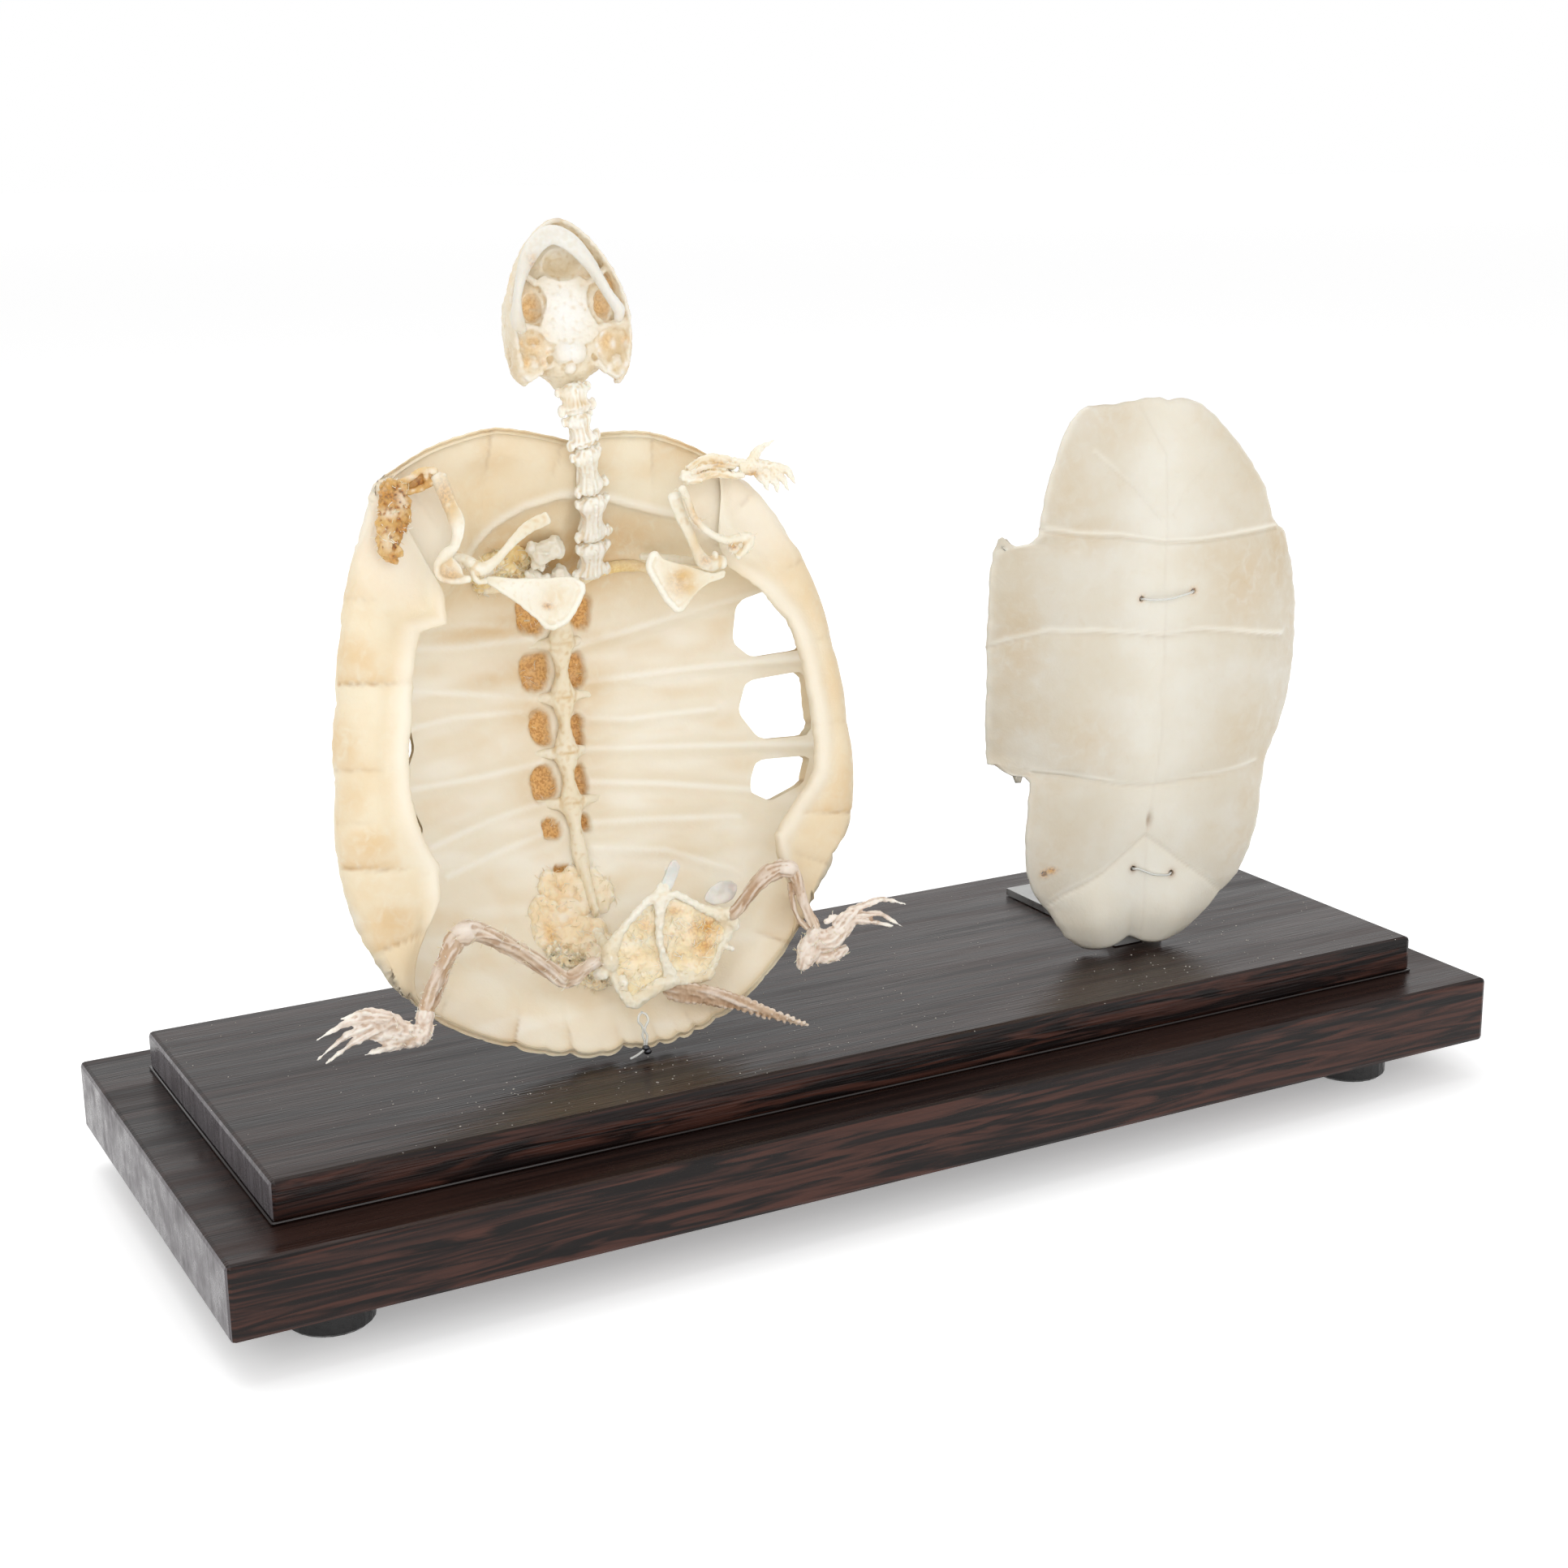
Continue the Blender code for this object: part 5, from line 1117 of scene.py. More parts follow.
for line, strength in GROOVES:
    marks[:, 3] = np.maximum(marks[:, 3], 0.55 * strength * bell(to_line(u, v - 0.9, line), 0.8))
marks[:, 1] += 0.07 * bell(to_line(u, v, MIDLINE), 0.35)
marks[:, 1] += 0.55 * bell(np.hypot((u - 2.1) / 0.7, (v - 36.1) / 2.0), 1.0)
for (hu, hv), ochre in zip(PLATE_HOLES, (1, 1, 0, 0, 1)):
    marks[:, 2 - (1 - ochre)] += 0.9 * bell(np.hypot(u - hu, v - hv), 1.1)
marks[:, 2] = np.maximum(marks[:, 2], 0.9 * bell(np.hypot((u + 26.6) / 1.7, (v - 24.4) / 1.0), 1.0))
paint(plate, marks)
settle_down(plate, plate_look, "plate_bone", "plastron")

# %% [markdown]
# ## Growing a bone
#
# From here on every bone is grown the same way: bars and knobs melt together, the skin is weathered
# by noise and painted where tissue dried on it. Creases are painted darker as shade, in tan or amber,
# and ridges paler as a painted highlight. Thin tendons that dried along the limbs are extra bars that
# wind a little round the bone. Neck bones, limbs and feet also show fibres: a noise drawn out along
# the bone lifts and sinks the skin; its sunken streaks get tan painted shade and its raised ones a
# white painted highlight.

# %% A helper that grows one bone
FIBRE_LIFT, FIBRE_SHADE_TAN, FIBRE_HIGHLIGHT_WHITE = 0.30, 0.52, 0.45


def drawn_out(points, lines):
    """Noise stretched along the nearest of these lines, about -1 to 1, as in fibrous bone."""
    paths = [curve_through(np.asarray(line, float)[:, :3], 0.8) for line in lines]
    path, slopes = np.vstack(paths), np.vstack([np.gradient(p, axis=0) for p in paths])
    slopes /= np.linalg.norm(slopes, axis=1)[:, None]
    far = np.concatenate([9.0 * k + 0.8 * np.arange(len(p)) for k, p in enumerate(paths)])
    parts = np.array_split(points, 1 + len(points) // 4000)
    at = np.concatenate([((part[:, None] - path) ** 2).sum(2).argmin(1) for part in parts])
    aside = points - path[at]
    along = (aside * slopes[at]).sum(1)
    aside = (aside - slopes[at] * along[:, None]) / 0.8
    far = (far[at] + along) / 7.5
    return np.array([noise.noise(Vector(a) + Vector((f, 0.5 * f, -0.3 * f))) for a, f in zip(aside, far)])


def push_out(made, lift):
    """Push every point of a piece out along its normal by lift millimetres."""
    normals = np.empty(len(made.data.vertices) * 3)
    made.data.vertices.foreach_get("normal", normals)
    moved = points_of(made.data) + normals.reshape(-1, 3) * lift[:, None] * MM
    made.data.vertices.foreach_set("co", moved.ravel())
    made.data.update()


def grow(name, look, slot, stands_for, shapes, voxel=0.30, rounds=2,
         skin=((0.10, 1.5, 1.0), (0.05, 0.6, 2.0)),
         marks=(), cuts=(), crease_shade=("tan", 0.65), ridge=0.45, fibre=None):
    made = melt(raw_object(name, shapes), voxel, rounds)
    if cuts:
        melt(carve(made, cuts), voxel, 1)
    weather(made, skin)
    grain = drawn_out(measure(SHELL, points_of(made.data)), fibre) if fibre else 0
    if fibre:
        push_out(made, FIBRE_LIFT * grain)
    painted = spots(measure(SHELL, points_of(made.data)), marks)
    # painted shade in the sunken fibre streaks and a painted highlight on the raised ones
    if fibre:
        painted[:, 0] = np.maximum(painted[:, 0], FIBRE_SHADE_TAN * smooth_step(0.04, 0.46, -grain))
        painted[:, 3] = np.maximum(painted[:, 3], FIBRE_HIGHLIGHT_WHITE * smooth_step(0.05, 0.46, grain))
    # painted shade: creases are darkened by crease_shade, and ridge paints a highlight onto the ridges
    deep, high = creases(made.data)
    k = CHANNELS[crease_shade[0]]
    painted[:, k] = np.maximum(painted[:, k], crease_shade[1] * deep)
    painted[:, 3] = np.maximum(painted[:, 3] * (1 - 0.7 * deep), ridge * high * (1 - painted[:, 2]))
    return settle_down(paint(made, painted), look, slot, *stands_for)


def tendons(stations, count, seed, radius=0.40, out=1.02):
    """Thin cords that follow a bar's stations, winding a little round it."""
    chance = np.random.default_rng(seed)
    rows = np.asarray(stations, float)
    along = np.gradient(rows[:, :2], axis=0)
    sideways = np.stack([-along[:, 1], along[:, 0]], 1) / np.linalg.norm(along, axis=1)[:, None]
    cords = []
    for _ in range(count):
        phase, drift = chance.uniform(0, 2 * math.pi), chance.uniform(-0.5, 0.5)
        thin = radius * chance.uniform(0.7, 1.3)
        turn = phase + drift * np.arange(len(rows))
        line = rows.copy()
        line[:, :2] += sideways * (rows[:, 3] * out * np.cos(turn))[:, None]
        line[:, 2] += rows[:, 4] * out * np.sin(turn)
        line[:, 3:] = thin
        cords.append(bar(SHELL, line, 8))
    return cords


print("ready to grow bones")

# %% [markdown]
# ## The skull, seen from below
#
# The snout points up. In front lies the white horseshoe of the lower jaw; behind it the palate, a
# white hourglass-shaped plate, with an amber hollow on each side, and the round base of the
# braincase. Both cheeks run down to a point. We melt the parts together and then cut the eye
# sockets, the hollows and the nostril out of them.

# %% Skull
skull_shapes = [
    bar(SHELL, [(-2.9, 164.9, 7.6, 4, 3.4), (-2.8, 168.5, 7.8, 8.6, 5.6), (-2.6, 172.5, 7.9, 12.2, 6.4),
                (-2.3, 178, 7.6, 13.9, 6.8), (-1.9, 184, 7.2, 14.4, 6.8), (-1.7, 190, 7.2, 12.0, 6.2),
                (-1.7, 195.5, 8.0, 8.9, 5.8), (-1.8, 199.6, 9.0, 5.5, 4.4), (-2, 202, 9.8, 2.6, 2.6)], 28,
        0.9),
    bar(SHELL, [(-13.9, 164.9, 9.5, 0.8, 1.6), (-15.2, 168, 9.6, 1.5, 3.8), (-16.2, 174, 9.8, 1.1, 5.4),
                (-16.4, 180, 10.2, 1.0, 5.2), (-16.2, 184, 10.6, 0.9, 4.4)], 16),
    bar(SHELL, [(9.4, 164.4, 9.5, 0.8, 1.6), (10.9, 168, 9.6, 1.5, 3.8), (12.0, 174, 9.8, 1.1, 5.4),
                (12.1, 180, 10.2, 1.0, 5.2), (11.4, 184, 10.6, 0.9, 4.4)], 16),
    bar(SHELL, [(-16.9, 179, 12.8, 0.8, 2.6), (-16.6, 184.5, 13.0, 0.7, 2.6), (-14.4, 191.3, 13.0, 0.7, 2.6),
                (-11, 196.8, 12.6, 0.8, 2.5), (-6.9, 201.0, 12.2, 0.8, 2.2), (-2.9, 202.6, 12.0, 0.9, 2.0),
                (0.7, 201.2, 12.2, 0.8, 2.2), (4.6, 197.2, 12.6, 0.8, 2.5), (8.3, 191.6, 13.0, 0.7, 2.6),
                (10.9, 185.6, 13.0, 0.7, 2.6), (12.4, 179.4, 12.8, 0.8, 2.6)], 10),
    leaf(SHELL, rounded([(-10.4, 189.4), (-8.0, 185.4), (-7.9, 182.4), (-9.8, 179.0), (-10.2, 175.6),
                         (-7.4, 173.2), (-0.2, 172.6),
                         (4.4, 174.8), (4.6, 177.8), (2.2, 181.4), (2.0, 184.4), (3.8, 188.6),
                         (-3.2, 190.6)]),
         lambda u, v: 14.3 - 0.012 * (u + 3.2) ** 2 - 0.006 * max(v - 178, 0) ** 2, 0.8),
    knob(SHELL, (-5.0, 171.6, 13.9), (2.5, 2.7, 2.0)), knob(SHELL, (-1.6, 171.4, 13.9), (2.5, 2.7, 2.0)),
    knob(SHELL, (-3.4, 167.7, 13.2), (1.5, 1.5, 1.6)),
    leaf(SHELL, rounded([(-16.2, 179), (-16.8, 174), (-15.6, 167.6), (-13.8, 164.6), (-12.2, 165.6),
                         (-9.6, 167.6), (-6.6, 168.4), (-5.0, 171),
                         (-7.6, 174.4), (-10.4, 177.4)]), lambda u, v: 12.3 - 0.10 * abs(u + 11), 1.1),
    leaf(SHELL, rounded([(11.6, 178.6), (13.0, 174), (11.0, 167.2), (8.8, 164.5), (7.0, 165.4), (4.6, 167.4),
                         (1.6, 168.4), (0.2, 171),
                         (2.8, 174.4), (6.6, 177.2)]), lambda u, v: 12.3 - 0.10 * abs(u - 7), 1.1),
    knob(SHELL, (-12.6, 169.4, 12.8), (1.7, 2.1, 1.5)), knob(SHELL, (8.4, 169.0, 12.8), (1.6, 2.0, 1.5)),
    bar(SHELL, [(-5.4, 172.6, 12.6, 0.7, 0.8), (-8.4, 170.4, 13.0, 0.6, 0.7),
                (-10.6, 166.8, 12.8, 0.6, 0.7)], 8),
    bar(SHELL, [(-1.0, 172.6, 12.6, 0.7, 0.8), (2.8, 170.4, 13.0, 0.6, 0.7), (5.6, 166.6, 12.8, 0.6, 0.7)],
        8),
    bar(SHELL, [(-9.0, 176.6, 13.2, 0.9, 1.0), (-12.6, 177.9, 13.4, 0.9, 1.2),
                (-15.8, 178.4, 13.4, 1.3, 1.6)], 10),
    bar(SHELL, [(3.4, 176.4, 13.2, 0.9, 1.0), (7.0, 177.5, 13.4, 0.9, 1.2), (11.0, 177.8, 13.4, 1.3, 1.6)],
        10),
    bar(SHELL, [(-9.9, 188.0, 13.4, 0.8, 1.0), (-12.6, 190.6, 13.2, 0.8, 1.0), (-13.6, 192, 13.0, 0.8, 1.2)],
        8),
    bar(SHELL, [(3.3, 187.6, 13.4, 0.8, 1.0), (6.6, 189.8, 13.2, 0.8, 1.0), (8.0, 191.0, 13.0, 0.8, 1.2)], 8),
    bar(SHELL, [(-2.8, 161.4, 3.6, 0.6, 0.9), (-2.7, 166, 3.0, 0.9, 2.2), (-2.6, 172, 3.2, 1.2, 2.8)], 10),
]
skull_cuts = [knob(SHELL, (-3.1, 192.4, 16.4), (6.6, 4.6, 5.6)),
    knob(SHELL, (-2.2, 203.6, 7.4), (2.0, 2.2, 1.4))]
for hand in (-1, 1):
    skull_cuts += [knob(SHELL, (-3.0 + hand * 9.0 + 0.6, 182.6, 14.4), (2.7, 4.2, 4.6)),
        knob(SHELL, (-2.2 + hand * 9.6, 193.0, 5.2), (4.0, 3.9, 4.0)),
        knob(SHELL, (-2.5 + hand * 6.4, 163.0, 9), (2.9, 3.6, 9.0)),
        knob(SHELL, (-2.4 + hand * 9.4, 174.6, 15.0), (2.6, 1.6, 2.8)),
        knob(SHELL, (-2.6 + hand * 5.6, 170.0, 15.0), (1.1, 1.5, 2.8)),
        knob(SHELL, (-2.3 + hand * 15.2, 171.5, 8.6), (2.0, 2.6, 2.6)),
        knob(SHELL, (-2.0 + hand * 7.0, 167.5, 2.2), (3.6, 6.5, 2.8))]
skull_marks = []
for hand, middle_u in ((-1, -2.9), (1, -2.3)):
    skull_marks += [("amber", (middle_u + hand * 8.6, 182.6, 10.5), (2.8, 4.2, 4.2), 0.85),
        ("tan", (middle_u + hand * 10.6, 172.6, 12), (4.6, 4.6, 5), 0.95),
        ("amber", (middle_u + hand * 8.5, 173.6, 12), (2.6, 2.4, 3), 0.55),
        ("tan", (middle_u + hand * 12.2, 168.5, 10), (2.6, 3.6, 4), 0.75),
        ("amber", (middle_u + hand * 11.8, 188.8, 11), (1.6, 3.2, 3), 0.6),
        ("tan", (middle_u + hand * 5.6, 168.2, 11), (2.0, 2.6, 3), 0.8)]
skull_marks += [("white", (-3.2, 181, 15), (6.2, 8.5, 2.4), 0.95),
    ("white", (-3.3, 171.6, 15), (3.8, 3.6, 2.6), 0.95), ("tan", (-4.1, 191.4, 12), (5.5, 2.4, 3.5), 0.8),
    ("white", (-3.0, 195.6, 13), (5.0, 1.2, 3.5), 0.4),
    ("amber", (2.6, 188.6, 12.6), (2.2, 2.4, 2.4), 0.35), ("tan", (-2.6, 203, 12), (3, 2, 3), 0.8),
    ("seam", (-2.9, 203.2, 12), (0.8, 0.9, 2), 0.5), ("white", (-3.4, 167.7, 14), (1.4, 1.2, 1.5), 0.8)]
chance = np.random.default_rng(11)
for centre_u in (-11.4, 7.6):
    for _ in range(16):
        at = (centre_u + chance.uniform(-4.5, 4.5), chance.uniform(165.5, 177.5), 13)
        skull_marks.append(
            (chance.choice(["white", "white", "tan", "amber"]), at,
                (chance.uniform(0.5, 1.2), chance.uniform(0.6, 1.5), 2), 0.7))
grow("skull_bones", skull_look, "skull_bone", ["skull"], skull_shapes, 0.30, 2,
    ((0.24, 2.0, 1.0), (0.16, 0.8, 2.0)), skull_marks, skull_cuts, crease_shade=("tan", 0.8), ridge=0.35)

# %% Lower jaw
JAW = [(-15.9, 176.6, 18.6, 1.2, 1.4), (-16.9, 178.6, 18.8, 1.7, 1.8), (-16.5, 183.6, 18.6, 1.0, 1.7),
    (-14.9, 188.6, 18.2, 1.25, 1.6), (-12.7, 193, 17.6, 1.9, 1.4), (-9.5, 197, 17.0, 2.3, 1.25),
    (-5.7, 198.8, 16.8, 2.4, 1.2), (-1.7, 197.0, 17.0, 2.3, 1.25), (1.7, 193, 17.6, 1.8, 1.4),
    (4.1, 188.6, 18.2, 1.3, 1.6), (6.3, 184, 18.6, 1.15, 1.8), (8.3, 180.4, 19.0, 1.4, 1.8),
    (8.0, 178.0, 18.8, 1.0, 1.4)]
grow("lower_jaw", jaw_look, "jaw_bone", ["mandible"], [bar(SHELL, JAW, 16, 0.6)], 0.26, 2,
    crease_shade=("tan", 0.15), ridge=0.0,
    marks=[("amber", (-11.6, 192.4, 18.6), (1.5, 1.9, 1.4), 0.6),
        ("tan", (-16.4, 177, 19), (2.0, 2.4, 2.4), 0.45), ("tan", (8, 177.6, 19), (2.0, 2.2, 2.4), 0.4),
        ("white", (-4.5, 197, 18), (9, 5, 3), 0.6)])

# %% [markdown]
# ## Eight neck bones
#
# The first five neck bones are waisted bodies with a keel down the middle, two lobes at each end and
# a low arch behind; the last three are waisted bodies with small lumps instead. The same recipe
# makes all of them; only the ends, the widths and the keel change.

# %% Neck
NECK = [((-3.0, 163.7, 12.4), (-1.9, 157.7, 11.2), 4.6, 3.6, 2.9),
    ((-2.3, 157.3, 11.0), (0.2, 149.9, 7.6), 4.1, 2.7, 2.9),
    ((0.3, 149.4, 7.3), (3.9, 138.8, -1.6), 4.3, 2.6, 2.9),
    ((4.0, 138.3, -2.0), (6.0, 127.6, -11.0), 4.7, 3.0, 2.9),
    ((6.1, 127.1, -11.5), (7.2, 118.8, -18.6), 4.8, 3.4, 2.9),
    ((2.0, 116.2, -19.6), (-2.0, 121.2, -18.6), 2.6, 2.3, 2.0),
    ((-9.0, 124.9, -15.6), (-1.2, 127.1, -15.2), 3.5, 3.2, 2.6),
    ((-9.4, 121.4, -19.2), (-3.6, 116.0, -21.2), 2.4, 2.1, 1.8)]


def vertebra(start, end, wide, waist, thick, keeled=True):
    """Body, keel, end lobes and arch of one neck bone; without a keel, the body and small lumps."""
    start, end = np.array(start), np.array(end)
    along = (end - start) / np.linalg.norm(end - start)
    across_it = np.cross(along, (0, 0, 1.0))
    across_it /= np.linalg.norm(across_it)
    out = np.cross(across_it, along)

    def at(t, aside=0.0, lift=0.0):
        return start + (end - start) * t + across_it * aside + out * lift

    body = [
        (*at(t), waist * 0.86 + (wide * 0.92 - waist * 0.86) * w, thick * (0.62 + 0.2 * w))
            for t, w in ((0.10, 0.25), (0.20, 0.9), (0.36, 0.35), (0.55, 0.0), (0.72, 0.35), (0.85, 0.9),
                (0.93, 0.3))]
    shapes = [bar(SHELL, body, 16, 0.5)]
    if not keeled:
        chance = np.random.default_rng(int(abs(start[0]) * 10))
        return shapes + [
            knob(SHELL, at(*chance.uniform((0, -wide, -thick), (1, wide, thick * 0.8))),
                chance.uniform(0.28, 0.6) * thick * chance.uniform(0.6, 1.4, 3)) for _ in range(13)]
    keel = [
        (*at(t, 0, thick * 0.62 + h), 0.5, 0.85) for t, h in ((0.14, 0.15), (0.35, -0.1), (0.6, -0.1),
            (0.84, 0.35))]
    shapes.append(bar(SHELL, keel, 8, 0.5))
    for hand in (-1, 1):
        shapes += [knob(SHELL, at(0.14, hand * wide * 0.82, -0.2), (0.95, 1.25, 0.9)),
            knob(SHELL, at(0.86, hand * wide * 0.88, 0.1), (1.0, 1.6, 1.0)),
            bar(SHELL,
                [(*at(0.18, hand * wide * 0.45, -thick * 0.6), 0.8, 0.8),
                    (*at(0.5, hand * waist * 0.55, -thick * 0.8), 0.6, 0.7),
                    (*at(0.84, hand * wide * 0.5, -thick * 0.7), 0.9, 0.8)],
                8, 0.6)]
    return shapes


for number, sizes in enumerate(NECK, start=1):
    middle = (np.array(sizes[0]) + np.array(sizes[1])) / 2
    streak = [("tan", middle + (-sizes[3], 0, 0), (1.6, 4.0, 2.5), 0.55 if number in (1, 4) else 0.22)]
    if number == 1:
        streak.append(("tan", middle + (0.6, -1.6, 1.5), (3.2, 1.3, 2), 0.8))
    if number == 4:
        streak.append(("amber", middle + (-3.0, 1.0, 1.0), (0.9, 3.2, 2), 0.5))
    grow(f"neck_bone_{number}", white_look, "neck_bone", [f"neck_{number}"],
        vertebra(*sizes, keeled=number < 6), 0.25, 2,
        ((0.16 if number < 6 else 0.45, 1.4, number), (0.08, 0.6, 2.0 + number)), streak,
        crease_shade=("tan", 0.4 if number < 6 else 0.15), ridge=0.5, fibre=[sizes[:2]] if number < 6 else None)

# %% [markdown]
# ## Shoulders and arms
#
# Each shoulder is a forked bar with a fan-shaped blade. The left arm still carries dried flesh; the
# right one ends in a small hand with thin claws.

# %% Shoulder bars and blades
grow("shoulder_left", girdle_look, "girdle_bone", ["scapula_left"], [
    bar(SHELL, [(-34.6, 125.4, 5.6, 1.2, 1.3), (-31.8, 124.7, 5.6, 1.4, 1.4), (-28.6, 122.3, 5.6, 1.8, 1.6),
                (-25.2, 123.4, 5.4, 1.25, 1.2), (-21.9, 126, 5, 1.0, 0.95), (-18.5, 128.9, 4.6, 1.25, 0.9),
                (-14.6, 131.5, 4, 1.6, 0.9), (-9.8, 133.2, 3.5, 1.7, 0.8)]),
    bar(SHELL, [(-29.2, 122.4, 5, 1.5, 1.5), (-27, 122.6, -2, 1.1, 1.1), (-23.5, 122.5, -10, 1.1, 1.1),
                (-20, 122, -17.5, 1.5, 1.0)], 12, 0.7, SHELL[2]),
    bar(SHELL, [(-30.6, 121.6, 6.2, 0.7, 0.8), (-29.6, 119.4, 6.0, 0.7, 0.8), (-27.4, 119.3, 5.6, 0.8, 0.7)],
        8),
    knob(SHELL, (-31.0, 124.0, 6.3), (1.5, 1.4, 1.3))],
    marks=[("tan", (-31.6, 122.6, 5.6), (2.2, 1.8, 2.0), 0.6),
           ("white", (-29, 122.6, 6.6), (3.5, 2.0, 2), 0.7),
           ("tan", (-12, 132, 4), (3, 2, 2), 0.2)])
grow("shoulder_right", girdle_look, "girdle_bone", ["scapula_right"],
    [
        bar(SHELL,
            [(33.4, 119.2, 6.2, 1.2, 1.3), (30.4, 118.6, 6.2, 1.8, 1.6), (28.2, 119.6, 6.2, 1.9, 1.5),
                (26.8, 122.4, 6.2, 1.4, 1.2), (25.5, 126.2, 6.2, 1.45, 1.1), (23.9, 130.4, 6.2, 1.65, 1.1),
                (22.7, 134.2, 6.2, 1.75, 1.1), (22.4, 136.2, 6.2, 1.9, 1.2)]),
        bar(SHELL,
            [(29.6, 119, 5.6, 1.5, 1.5), (28, 120, -2, 1.1, 1.1), (24.5, 121.5, -10, 1.1, 1.1),
                (20.5, 122.6, -16, 1.5, 1.0)],
            12, 0.7, SHELL[2]),
        knob(SHELL, (33.2, 118.8, 6.6), (1.2, 1.8, 1.4)), knob(SHELL, (31.4, 120.6, 6.6), (0.9, 1.2, 1.2))],
    marks=[("tan", (26.5, 124, 7.2), (1.8, 4.5, 2), 0.55),
        ("amber", (28.4, 119.6, 7.8), (1.9, 1.5, 1.4), 0.45),
        ("white", (22.6, 135.6, 7), (2.4, 1.6, 2), 0.9), ("tan", (32.4, 119.6, 7.6), (1, 1, 1), 0.6)])


def fan(name, node_name, outline, level, centre, crumbs, edge):
    """A thin blade with a porous middle and a thick white rim."""
    outline = rounded(outline, 0.2, 1)
    along_edge = [
        (a[0] + (b[0] - a[0]) * t, a[1] + (b[1] - a[1]) * t)
            for a, b in zip(edge, edge[1:]) for t in (0, 0.25, 0.5, 0.75)]
    shapes = [leaf(SHELL, outline, lambda u, v: level, 0.45)]
    rim = [
        (u, v, level, *((0.85, 0.95) if to_line(u, v, edge) < 1.2 else (0.5, 0.6)))
            for u, v in outline + outline[:1]]
    shapes += [bar(SHELL, rim[a:a + 2], 8) for a in range(len(rim) - 1)]
    return grow(name, girdle_look, "girdle_bone", [node_name], shapes, 0.24, 3,
        ((0.12, 1.4, 3.0), (0.06, 0.6, 1.0)),
        [("tan", centre, (4.6, 3.8, 2), 0.45)] + crumbs + [
            ("white", (*at, level), (1.3, 1.3, 2), 0.95) for at in along_edge],
        crease_shade=("tan", 0.25), ridge=0.2)


fan("shoulder_blade_left", "coracoid_left",
    [(-27.2, 119.6), (-26.2, 120.2), (-20.4, 118.9), (-12.7, 118.4), (-5, 118.2), (-2.5, 115.8),
        (-5.3, 111.1), (-7.8, 108.1), (-12.3, 106.4), (-15.7, 110), (-19.9, 114.0), (-24.1, 117.2)],
    4.2, (-9.8, 113.6, 4.4),
    [("amber", (-12.4, 112.0, 4.8), (1.5, 0.9, 1), 0.7), ("white", (-22, 117, 4.8), (5, 2.4, 1.5), 0.7)],
    [(-2.9, 117.0), (-3.4, 114.4), (-5.6, 111.0), (-8, 108.2), (-12, 106.6)])
fan("shoulder_blade_right", "coracoid_right",
    [(34.2, 116.6), (31, 115.9), (27.8, 117.2), (22.4, 118.9), (18.4, 120.4), (16, 122.8), (14.2, 119.3),
        (16.1, 115.3), (18.3, 110.8), (21.2, 107.5), (25.8, 112.1), (29.3, 114.3), (33.6, 115.2)],
    4.6, (21.6, 114.6, 4.8),
    [("tan", (23.0, 116.4, 5.0), (3.6, 2.6, 1.5), 0.95),
        ("amber", (21.4, 114.4, 5.0), (2.6, 3.0, 1.5), 0.30),
        ("tan", (24.4, 113.6, 5.0), (3.0, 2.6, 1.5), 0.8)],
    [(16, 122.4), (14.6, 119.3), (16.3, 115.3), (18.5, 110.8), (21.2, 107.9)])

# %% Arms and hands
HUMERUS_LEFT = [(-37.2, 144.6, 8, 1.8, 1.6), (-36.2, 141.8, 8, 1.8, 1.5), (-34.9, 137.6, 8.2, 1.75, 1.5),
    (-33.8, 134.2, 8.5, 2.0, 1.6), (-33.9, 131, 8.8, 1.4, 1.5), (-35.2, 127.9, 9.1, 1.2, 1.4),
    (-37.4, 126.2, 9.2, 1.4, 1.3), (-39.7, 124.0, 9.2, 0.9, 1.1), (-39.6, 121.2, 9.2, 0.75, 0.9),
    (-36.6, 119.8, 9.2, 0.75, 0.9), (-32.6, 120.0, 9.2, 1.0, 1.0)]
grow("upper_arm_left", girdle_look, "dried_bone", ["humerus_left"],
     [bar(SHELL, HUMERUS_LEFT), leaf(SHELL, rounded([(-39.4, 125), (-39.8, 121.0), (-36.4, 119.7),
                                                     (-33.2, 120.4), (-34.4, 124.4), (-36.8, 126)]),
                                     lambda u, v: 8.8, 0.4)] + tendons(HUMERUS_LEFT[:6], 3, 11, 0.28),
     marks=[("amber", (-36.2, 140.5, 9), (2.2, 4.6, 2.6), 0.46),
            ("tan", (-35, 137.5, 9.4), (2.2, 5.5, 3), 0.75),
            ("white", (-33.6, 131.4, 9), (2.4, 2.4, 2.6), 0.8),
            ("amber", (-37.2, 121.4, 9.4), (2.2, 2.2, 2), 0.42),
            ("tan", (-38.0, 122, 9.4), (3, 3.4, 2.4), 0.7)])
grow("upper_arm_right", girdle_look, "girdle_bone", ["humerus_right"],
    [
        bar(SHELL,
            [(23.4, 137.6, 9.2, 1.15, 1.0), (24.5, 134.8, 9.4, 0.95, 0.95), (25.9, 130, 9.6, 0.9, 0.9),
                (29.1, 126.4, 9.6, 0.9, 0.9), (33.6, 124, 9.4, 1.1, 1.1), (37.4, 124.3, 9, 1.3, 1.3),
                (40.2, 124.0, 8.8, 1.5, 1.3), (38.8, 121.4, 8.8, 1.1, 1.1), (36.6, 119.8, 8.6, 0.9, 0.95)],
            12),
        knob(SHELL, (35.6, 121.8, 9.0), (1.6, 1.3, 1.2))],
    marks=[("tan", (26, 131, 10), (1.8, 5.5, 2), 0.6), ("amber", (25.6, 131, 10.2), (1.0, 4.0, 1.2), 0.28),
        ("amber", (35.2, 122.2, 10.2), (1.2, 0.9, 1.2), 0.85),
        ("white", (38.6, 123.2, 9.6), (2.4, 2.2, 2), 0.5)])
